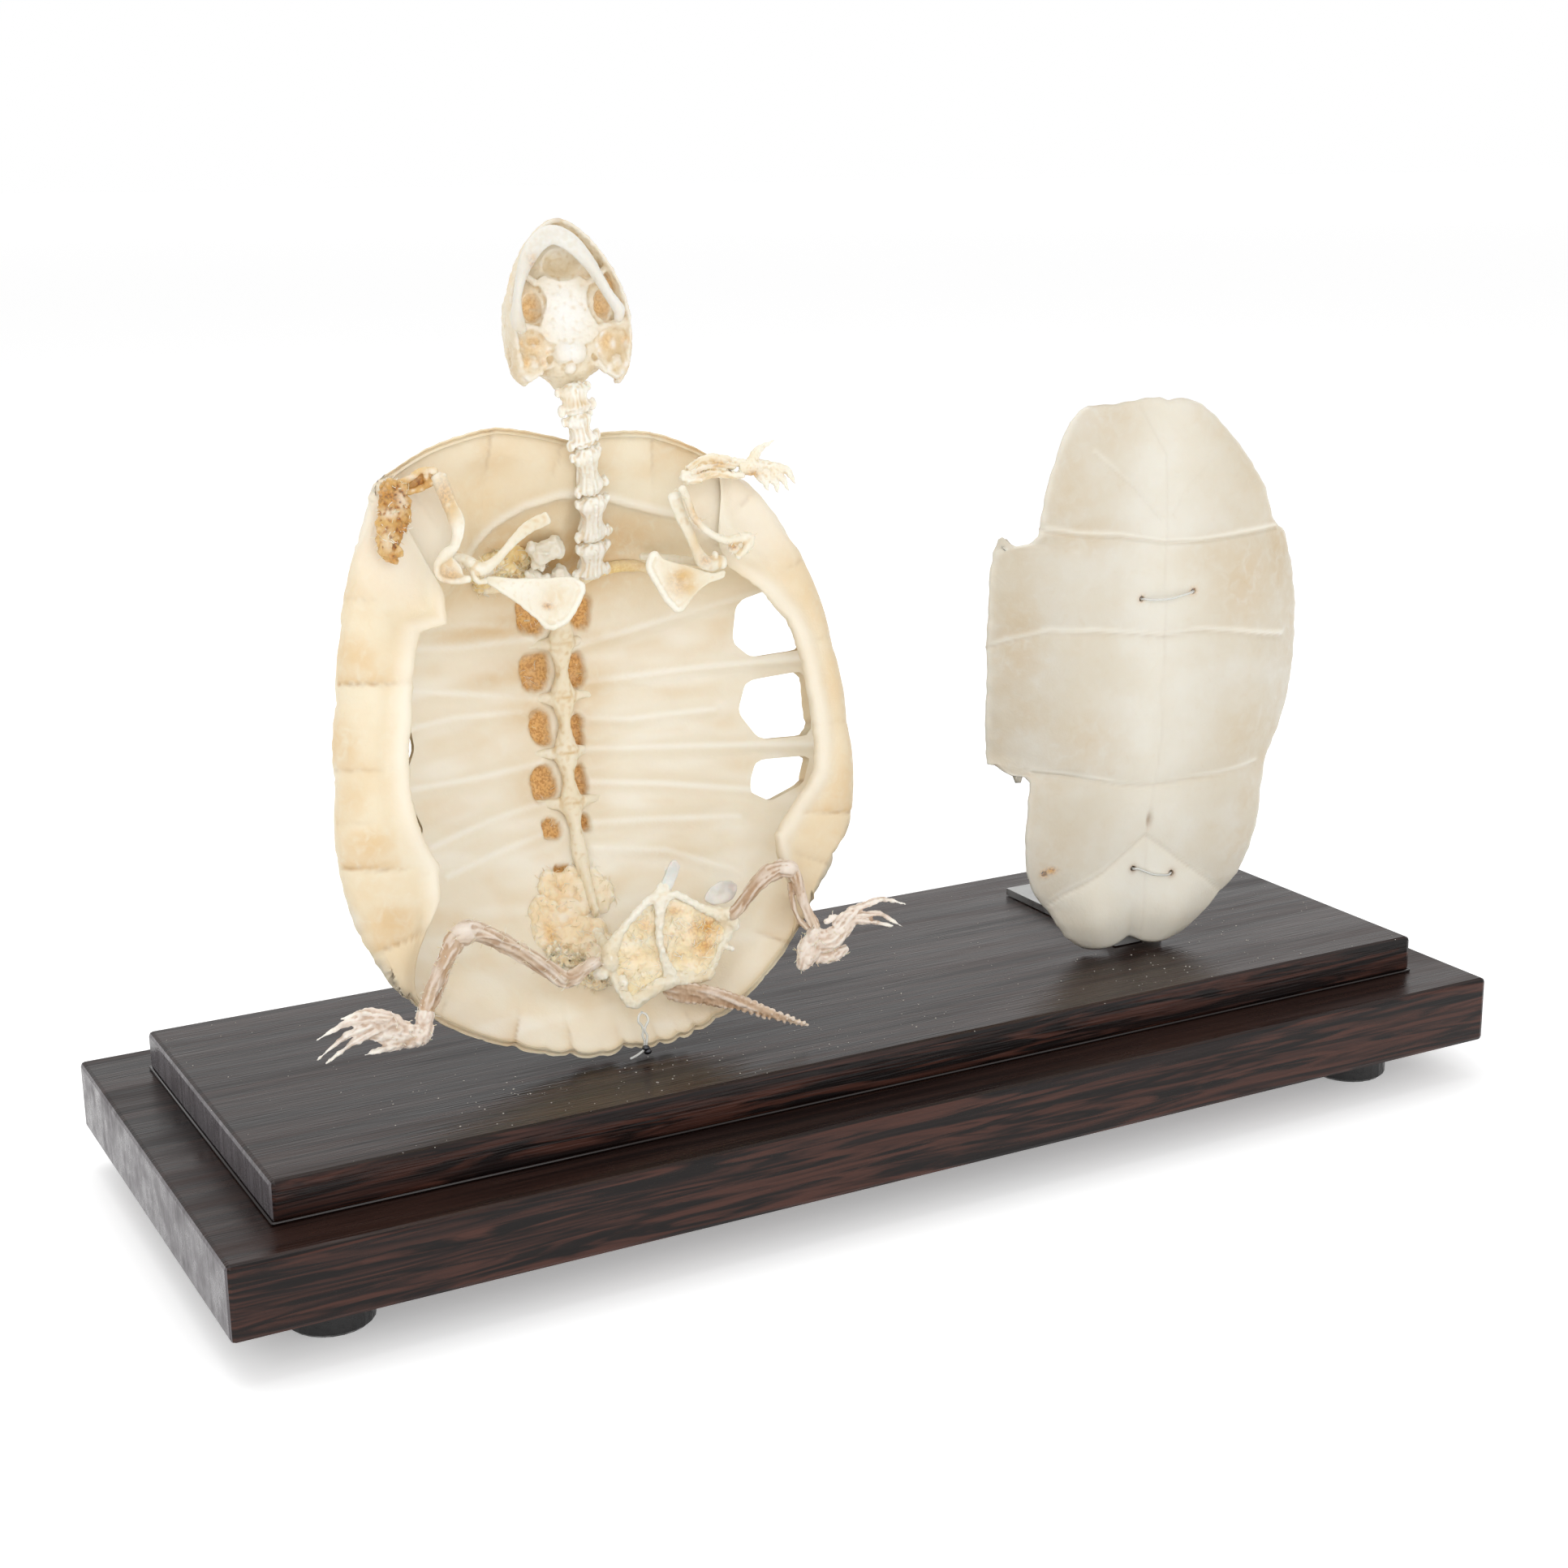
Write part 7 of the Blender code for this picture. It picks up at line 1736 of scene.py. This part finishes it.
# %% [markdown]
# ## Dried membranes, tissue and crumbs
#
# Yellow membrane still closes both windows of the hip. Amber tissue sits behind the left shoulder
# blade, and a creamy bed of it on the spine above the tail. We model the beds of this tissue here;
# fine strands follow with Geometry Nodes.

# %% Membranes, cartilage and tissue beds
membrane_look = bone_look("membrane", (0.84, 0.69, 0.44), (0.89, 0.81, 0.63), tan=(0.78, 0.58, 0.31),
    rough=0.45, grain=0.8, glow=0.3, amber=((0.74, 0.44, 0.12), (0.52, 0.24, 0.05)),
    white=(0.88, 0.83, 0.72))
cartilage_look, tree, shader = new_look("cartilage")
haze = cloud(tree, stretched(tree, (1, 1, 1)), 260.0, 4.0)
tree.links.new(blend(tree, step_up(tree, haze, 0.3, 0.7), (0.60, 0.60, 0.55), (0.72, 0.71, 0.65)),
    shader.inputs["Base Color"])
set_shader(shader, Roughness=0.35, Subsurface_Weight=0.35, Subsurface_Scale=0.002)
bumps(tree, shader, [(haze, 0.0004, 0.3)])


def sheet_of(name, look, slot, outline, level, half_thick, skin, marks=(), voxel=0.22):
    return grow(name, look, slot, [], [leaf(SHELL, rounded(outline, 0.2, 2), level, half_thick)], voxel, 1,
        skin, marks, crease_shade=("amber", 0.3), ridge=0.5)


sheet_of("hip_membrane_left", membrane_look, "dried_tissue",
    [(8.6, 35.6), (7.9, 28), (8.6, 21), (9.6, 17), (5.6, 15.2), (0.8, 13.4), (-1.2, 14.2), (-4.0, 20),
        (-4.2, 24.6), (-0.3, 31.0), (6.0, 36.4)],
    lambda u, v: 1.7 - 0.02 * ((u - 2) ** 2 + (v - 24) ** 2) ** 0.5, 0.3,
    ((0.9, 3.4, 1.0), (0.2, 0.9, 2.0)),
    [("white", (1.0, 27, 2), (4.5, 1.2, 2), 0.55), ("amber", (5, 31, 2), (3.0, 2.0, 2), 0.5),
        ("white", (4, 19.0, 2), (5, 0.8, 2), 0.5), ("amber", (-2.2, 17, 2), (1.6, 3, 2), 0.7),
        ("amber", (5, 24, 2), (3, 2, 2), 0.3)])
sheet_of("hip_membrane_right", membrane_look, "dried_tissue",
    [(10.0, 36.0), (14, 36.8), (20.2, 32.9), (25.4, 30.6), (26.2, 26.6), (24.0, 23.2), (21.6, 19),
        (19.8, 16.6), (15, 16.6), (11.4, 17), (9.6, 22), (8.9, 27.3), (9.6, 33.6)],
    lambda u, v: 1.5 - 0.025 * ((u - 17) ** 2 + (v - 26) ** 2) ** 0.5, 0.3,
    ((0.9, 3.0, 4.0), (0.24, 0.9, 5.0)),
    [("amber", (21, 28.4, 2), (4.6, 2.6, 2), 1.0), ("amber", (20, 24, 2), (3.4, 3, 2), 0.85),
        ("white", (14, 29.6, 2), (2.6, 1.2, 2), 0.4), ("white", (16, 19, 2), (4, 1.2, 2), 0.5),
        ("amber", (13, 33.4, 2), (2.4, 1.8, 2), 0.6), ("amber", (13, 22, 2), (2.4, 1.8, 2), 0.5)])
sheet_of("hip_cartilage", cartilage_look, "pelvis_bone",
    [(9.6, 39.6), (11.2, 42.6), (13.0, 45.6), (14.6, 46.4), (15.7, 44.6), (14.2, 41.6), (12.4, 38.6)],
    lambda u, v: 2.5 - 0.1 * (v - 39), 0.5, ((0.3, 1.6, 1.0),))
sheet_of("hip_flap", cartilage_look, "pelvis_bone",
    [(21.4, 35.0), (23.4, 37.8), (26.0, 39.2), (29.4, 38.9), (31.3, 37.6), (30.0, 34.8), (27.2, 33.2),
        (23.6, 33.6)],
    lambda u, v: 0.4, 0.3, ((0.4, 2.2, 2.0),))


def heap(name, look, slot, spots_at, count, size, lift, voxel, marks, seed, rough=1.0):
    """A crumbly bed of tissue lying on the inside of the shell."""
    lots = np.random.default_rng(seed)
    shapes = []
    for u, v, ru, rv in spots_at:
        for _ in range(count):
            a, r = lots.uniform(0, 2 * math.pi), math.sqrt(lots.uniform(0, 1))
            x, y = u + ru * r * math.cos(a), v + rv * r * math.sin(a)
            big = size * lots.uniform(0.5, 1.3)
            up = float(bowl(x, y)) + lift * (1.15 - r) * lots.uniform(0.2, 1.0)
            shapes.append(knob(SHELL, (x, y, up), (big, big * lots.uniform(0.6, 1.2), big * 0.7), 7, 10))
    return grow(name, look, slot, [], shapes, voxel, 3,
        ((0.35 * rough, 1.6, seed), (0.18 * rough, 0.7, 1.0 + seed)), marks, crease_shade=("amber", 0.3),
        ridge=0.6)


resin_look = bone_look("dried_resin", (0.82, 0.61, 0.27), (0.88, 0.74, 0.45), tan=(0.66, 0.41, 0.13),
                       rough=0.4, grain=1.6, glow=0.3,
                       amber=((0.78, 0.50, 0.16), (0.60, 0.33, 0.09)), white=(0.92, 0.88, 0.78))
heap("neck_tissue", resin_look, "dried_tissue",
    [(-15, 123.4, 6.6, 3.0), (-9, 123.4, 4, 3.8), (-19, 121.2, 3.6, 2.2)], 22, 1.8, 4.5, 0.3,
    [("white", (-5, 123, float(bowl(-5, 122)) + 5), (3, 3, 4), 0.8),
        ("white", (-15, 120, float(bowl(-14, 122)) + 5), (7, 1.0, 5), 0.6),
        ("white", (-19, 122, float(bowl(-19, 122)) + 5), (2.6, 1.6, 5), 0.5)],
    41)
fluff_look = bone_look("fluff", (0.92, 0.76, 0.52), (0.94, 0.85, 0.68), tan=(0.86, 0.62, 0.32), rough=0.6,
    grain=0.8, glow=0.3, amber=((0.86, 0.56, 0.22), (0.68, 0.37, 0.11)), white=(0.92, 0.89, 0.82))
heap("sacral_tissue", fluff_look, "dried_tissue",
    [(-5, 38, 6, 6), (-8, 29, 6.5, 6), (-1.5, 26, 4, 5), (3, 38, 3.0, 4), (-12.5, 31, 3, 5)], 46, 2.3, 0.2,
    0.36,
    [("white", (-3, 36, float(bowl(-3, 36)) + 2), (4, 5, 3), 0.45),
        ("amber", (-12.5, 29, float(bowl(-12, 29)) + 2), (2, 4, 4), 0.8),
        ("amber", (-6, 40, float(bowl(-6, 40)) + 2), (2, 2, 4), 0.5),
        ("white", (-8, 33, float(bowl(-8, 33)) + 2), (2.4, 2, 3), 0.6)],
    42, 0.6)
heap("hip_crumbs", fluff_look, "dried_tissue", [(-9, 21, 4.5, 4), (-4, 17.4, 3.6, 3), (-12, 25, 3, 3)], 40,
    0.8, 3.0, 0.28, [], 43)

# %% [markdown]
# ## Fibres with Geometry Nodes
#
# Sinew dried into fine strands. One node tree grows them: it scatters points over a bed, sets a
# short curve on each, turns and stretches it, lets noise bend it and gives it a thickness. How many,
# how long, how thick and how upright they are, and the seed, are inputs of the tree.

# %% A node tree that grows strands
def new_tree(name, inputs):
    tree = bpy.data.node_groups.new(name, "GeometryNodeTree")
    tree.interface.new_socket("Geometry", in_out="INPUT", socket_type="NodeSocketGeometry")
    for title, kind, value in inputs:
        socket = tree.interface.new_socket(title, in_out="INPUT", socket_type=kind)
        if value is not None:
            socket.default_value = value
    tree.interface.new_socket("Geometry", in_out="OUTPUT", socket_type="NodeSocketGeometry")
    return tree, node(tree, "NodeGroupInput").outputs, node(tree, "NodeGroupOutput")


def random_value(tree, kind, low, high, seed, number):
    made = node(tree, "FunctionNodeRandomValue", data_type=kind)
    pair = {"FLOAT": (2, 3), "FLOAT_VECTOR": (0, 1)}[kind]
    for index, value in zip(pair, (low, high)):
        if isinstance(value, bpy.types.NodeSocket):
            tree.links.new(value, made.inputs[index])
        else:
            made.inputs[index].default_value = value
    mixed = node(tree, "ShaderNodeMath", {0: seed, 1: number}, operation="ADD").outputs[0]
    tree.links.new(mixed, made.inputs["Seed"])
    return made.outputs[1 if kind == "FLOAT" else 0]


strand_tree, given, result = new_tree("strands",
    [("Per square metre", "NodeSocketFloat", 1e6), ("Length", "NodeSocketFloat", 0.004),
        ("Thickness", "NodeSocketFloat", 0.0001), ("Tangle", "NodeSocketFloat", 0.001),
        ("Upright", "NodeSocketFloat", 0.3), ("Seed", "NodeSocketInt", 1),
        ("Finish", "NodeSocketMaterial", None)])
t = strand_tree
seeds = node(t, "GeometryNodeDistributePointsOnFaces",
    {"Mesh": given["Geometry"], "Density": given["Per square metre"], "Seed": given["Seed"]})
curve = node(t, "GeometryNodeCurvePrimitiveLine", {"Start": (0, 0, -0.5), "End": (0, 0, 0.5)})
curve = node(t, "GeometryNodeResampleCurve", {"Curve": curve.outputs[0], "Count": 9})
lying = random_value(t, "FLOAT_VECTOR", (-1, -1, -1), (1, 1, 1), given["Seed"], 3)
mixed = node(t, "ShaderNodeMix", {"Factor": given["Upright"], 4: lying, 5: seeds.outputs["Normal"]},
    data_type="VECTOR")
turned = node(t, "FunctionNodeAlignRotationToVector", {"Vector": mixed.outputs[1]}, axis="Z")
long = random_value(t, "FLOAT", 0.5, 1.3, given["Seed"], 5)
long = node(t, "ShaderNodeMath", {0: long, 1: given["Length"]}, operation="MULTIPLY").outputs[0]
placed = node(t, "GeometryNodeInstanceOnPoints",
    {"Points": seeds.outputs["Points"], "Instance": curve.outputs[0], "Rotation": turned.outputs[0],
        "Scale": long})
loose = node(t, "GeometryNodeRealizeInstances", {"Geometry": placed.outputs[0]})
where = node(t, "GeometryNodeInputPosition").outputs[0]
wave = node(t, "ShaderNodeTexNoise", {"Vector": where, "Scale": 420.0, "Detail": 2.0})
centred = node(t, "ShaderNodeVectorMath", {0: wave.outputs["Color"], 1: (0.5, 0.5, 0.5)},
    operation="SUBTRACT")
shift = node(t, "ShaderNodeVectorMath", {0: centred.outputs[0], "Scale": given["Tangle"]}, operation="SCALE")
bent = node(t, "GeometryNodeSetPosition", {"Geometry": loose.outputs[0], "Offset": shift.outputs[0]})
section = node(t, "GeometryNodeCurvePrimitiveCircle", {"Resolution": 4, "Radius": given["Thickness"]})
solid = node(t, "GeometryNodeCurveToMesh",
    {"Curve": bent.outputs[0], "Profile Curve": section.outputs[0], "Fill Caps": True})
real = node(t, "GeometryNodeRealizeInstances", {"Geometry": solid.outputs[0]})
dyed = node(t, "GeometryNodeSetMaterial", {"Geometry": real.outputs[0], "Material": given["Finish"]})
t.links.new(dyed.outputs[0], result.inputs[0])


def grown_by(tree, name, points, faces, slot, values):
    """Run a node tree over a bed of faces and keep what it grows as a piece of its own."""
    made = raw_object(name, [(points, faces)])
    machine = made.modifiers.new("grow", "NODES")
    machine.node_group = tree
    sockets = {item.name: item.identifier for item in tree.interface.items_tree if item.in_out == "INPUT"}
    for title, value in values.items():
        machine[sockets[title]] = value
    look = values["Finish"]
    apply_all(made)
    return settle_down(made, look, slot)


def bed_of(made, keep=None):
    """Copy the faces of a finished piece whose points pass a test, as a bed for strands."""
    points = points_of(made.data)
    good = np.ones(len(points), bool) if keep is None else keep(measure(SHELL, points))
    faces = [tuple(p.vertices) for p in made.data.polygons if all(good[i] for i in p.vertices)]
    return points, faces


thread_look, tree, shader = new_look("sinew_thread")
tone = cloud(tree, stretched(tree, (1, 1, 1)), 300.0, 2.0)
tree.links.new(blend(tree, step_up(tree, tone, 0.4, 0.6), (0.80, 0.67, 0.44), (0.90, 0.85, 0.74)),
    shader.inputs["Base Color"])
set_shader(shader, Roughness=0.5, Subsurface_Weight=0.2, Subsurface_Scale=0.001)


def strands(name, piece, count, length, thick, tangle, upright, seed, keep=None, slot="dried_tissue",
            look=thread_look):
    """Grow about this many strands (sizes in millimetres) on a finished piece."""
    points, faces = bed_of(bpy.data.objects[piece], keep)
    corners = [points[list(f[:3])] for f in faces]
    area = sum(np.linalg.norm(np.cross(b - a, c - a)) / 2 for a, b, c in corners)
    area *= 2 if len(faces[0]) == 4 else 1
    return grown_by(strand_tree, name, points, faces, slot,
        {"Per square metre": count / area, "Length": length * MM, "Thickness": thick * MM,
            "Tangle": tangle * MM, "Upright": upright, "Seed": seed, "Finish": look})


print("strand tree has", len(strand_tree.nodes), "nodes")

# %% Strands where sinew dried
strands("strands_neck", "neck_tissue", 220, 5.0, 0.09, 3.2, 0.08, 3)
strands("strands_sacrum", "sacral_tissue", 320, 3.6, 0.07, 3.0, 0.06, 4)
strands("strands_hip_left", "hip_membrane_left", 90, 5.2, 0.09, 2.2, 0.02, 5)
strands("strands_hip_right", "hip_membrane_right", 110, 5.0, 0.09, 2.6, 0.02, 6)
strands("strands_crumbs", "hip_crumbs", 420, 3.6, 0.08, 2.6, 0.22, 7)
strands("strands_hand", "hand_flesh_left", 70, 2.4, 0.09, 2.0, 0.25, 8)
strands("strands_thigh", "thigh_left", 60, 3.2, 0.08, 2.0, 0.10, 9)
strands("strands_shin", "shin_left", 40, 2.4, 0.08, 2.0, 0.25, 10)
strands("strands_elbow", "upper_arm_right", 36, 2.6, 0.08, 2.0, 0.15, 11)
strands("strands_forearm", "forearm_bones_right", 60, 2.4, 0.08, 2.0, 0.3, 12)
strands("strands_shoulder", "shoulder_left", 36, 2.8, 0.08, 2.0, 0.1, 13, lambda p: p[:, 0] < -24)
strands("strands_pits", "shell", 46, 4.0, 0.06, 1.6, 0.02, 14,
    lambda p: (pit_share(p[:, 0], p[:, 1], 0.95) > 0.2) & (p[:, 2] < -25) & (
        p[:, 2] > bowl(p[:, 0], p[:, 1]) - 3.0 * pit_share(p[:, 0], p[:, 1]) - 0.2))
strands("strands_foot_left", "foot_and_claws_left", 40, 2.2, 0.08, 1.6, 0.3, 15, lambda p: p[:, 0] > -64)
strands("strands_foot_right", "foot_and_claws_right", 40, 2.2, 0.08, 1.6, 0.3, 16, lambda p: p[:, 0] < 57)

# %% [markdown]
# ## Nylon ties
#
# Clear nylon line holds things together: two stitches through the belly plate, and a doubled loop
# that comes down from the tail to a small screw eye at the rear rim, where its cut end sticks out.

# %% Nylon line
nylon_look, tree, shader = new_look("clear_nylon")
set_shader(shader, Base_Color=(0.88, 0.88, 0.84, 1), Roughness=0.12, Transmission_Weight=0.45, IOR=1.45,
    Subsurface_Weight=0.1)


def stitch(name, node_name, a, b, sag):
    """A stitch that dives into the plate at a and b."""
    path = [(*a, -2.6), (*a, 0.0), (a[0] + 0.5, a[1] + 0.1, 0.65), (a[0] + 1.6, a[1] - 0.1, 0.9),
        ((a[0] + b[0]) / 2, (a[1] + b[1]) / 2 - sag, 0.95), (b[0] - 1.6, b[1] - 0.3, 0.9),
        (b[0] - 0.5, b[1] - 0.1, 0.65), (*b, 0.0), (*b, -2.6)]
    made = raw_object(name, [bar(PLATE, [(*p, 0.30, 0.30) for p in path], 10, 0.3, PLATE[2])])
    return settle_down(made, nylon_look, "wire", node_name)


stitch("stitch_upper", "tie_wire_upper", (-3.1, 99.1), (12.1, 100.2), 0.9)
stitch("stitch_lower", "tie_wire_lower", (-2.5, 22.8), (9.1, 20.4), 0.8)
LOOP = [(1.2, 10.0, 4.0), (0.2, 9.3, 4.4), (-0.1, 7.9, 4.6), (0.6, 6.9, 4.5), (0.9, 5.6, 4.4),
    (0.7, 4.2, 4.3), (1.1, 2.8, 4.2), (0.9, 1.6, 4.1)]
LOOP_2 = [(1.2, 10.0, 4.0), (2.2, 9.2, 4.4), (2.4, 7.8, 4.7), (1.7, 6.8, 4.8), (1.2, 5.5, 4.8),
    (1.7, 4.2, 4.7), (1.5, 2.8, 4.7), (1.3, 1.6, 4.5)]
TAIL_END = [(1.0, 0.9, 4.4), (-0.2, 0.2, 4.5), (-1.6, -0.4, 4.7), (-3.2, -0.8, 5.0)]
tie = raw_object("rear_tie",
    [bar(SHELL, [(*p, 0.30, 0.30) for p in line], 10, 0.25) for line in (LOOP, LOOP_2, TAIL_END)])
settle_down(tie, nylon_look, "wire", "mount_wire")
knot_look = steel_look("dark_eye", (0.10, 0.10, 0.11), 0.3)
eye = raw_object("screw_eye",
    [knob(SHELL, (1.2, 1.1, 4.4), (1.0, 0.8, 0.9)), knob(SHELL, (1.6, 0.2, 4.2), (1.1, 0.9, 1.0))])
settle_down(melt(eye, 0.16, 1), knot_look, "screw_steel")

# %% [markdown]
# ## Dust and lacquer
#
# White specks of bone dust lie on the dark boards. A second node tree scatters small grains on the
# upward faces. A bead of lacquer has run together where the raised board meets the slab.

# %% A bead of lacquer round the raised board
lacquer, tree, shader = new_look("lacquer_bead")
set_shader(shader, Base_Color=(0.010, 0.005, 0.004, 1), Roughness=0.16)
corner = nodes["top_board"].bound_box
far, foot = max(c[0] for c in corner) / MM, min(c[2] for c in corner) / MM
side = max(c[1] for c in corner) / MM
path = [(-far, -side), (far, -side), (far, side), (-far, side), (-far, -side)]
bead = raw_object("lacquer_edge",
    [
        bar(FLAT, [(*a, foot + 0.15, 0.45, 0.4), (*b, foot + 0.15, 0.45, 0.4)], 8, 400.0)
            for a, b in zip(path, path[1:])])
settle_down(bead, lacquer, "board_wood")

# %% Dust
dust_tree, given, result = new_tree("dust",
    [("Per square metre", "NodeSocketFloat", 1e4), ("Size", "NodeSocketFloat", 0.0002),
        ("Seed", "NodeSocketInt", 1), ("Finish", "NodeSocketMaterial", None)])
t = dust_tree
seeds = node(t, "GeometryNodeDistributePointsOnFaces",
    {"Mesh": given["Geometry"], "Density": given["Per square metre"], "Seed": given["Seed"]})
grain = node(t, "GeometryNodeMeshIcoSphere", {"Radius": 1.0, "Subdivisions": 1})
size = random_value(t, "FLOAT", 0.35, 1.5, given["Seed"], 2)
size = node(t, "ShaderNodeMath", {0: size, 1: given["Size"]}, operation="MULTIPLY").outputs[0]
flat = node(t, "ShaderNodeCombineXYZ",
    {"X": size, "Y": size,
        "Z": node(t, "ShaderNodeMath", {0: size, 1: 0.5}, operation="MULTIPLY").outputs[0]})
placed = node(t, "GeometryNodeInstanceOnPoints",
    {"Points": seeds.outputs["Points"], "Instance": grain.outputs[0], "Scale": flat.outputs[0]})
real = node(t, "GeometryNodeRealizeInstances", {"Geometry": placed.outputs[0]})
dyed = node(t, "GeometryNodeSetMaterial", {"Geometry": real.outputs[0], "Material": given["Finish"]})
t.links.new(dyed.outputs[0], result.inputs[0])
dust_look, tree, shader = new_look("bone_dust")
set_shader(shader, Base_Color=(0.55, 0.52, 0.47, 1), Roughness=0.9)


def dust(name, low, high, level, count, size, seed):
    corners = np.array(
        [(low[0], low[1], level), (high[0], low[1], level), (high[0], high[1], level),
            (low[0], high[1], level)]) * MM
    area = (high[0] - low[0]) * (high[1] - low[1]) * MM ** 2
    return grown_by(dust_tree, name, corners, [(0, 1, 2, 3)], None,
        {"Per square metre": count / area, "Size": size * MM, "Seed": seed, "Finish": dust_look})


dust("dust_on_board", (-166, -55), (166, 55), TOP + 0.03, 420, 0.13, 5)
dust("dust_near_shell", (-120, -50), (20, -15), TOP + 0.03, 110, 0.18, 6)
dust("dust_near_plate", (70, -50), (130, -12), TOP + 0.03, 60, 0.2, 8)
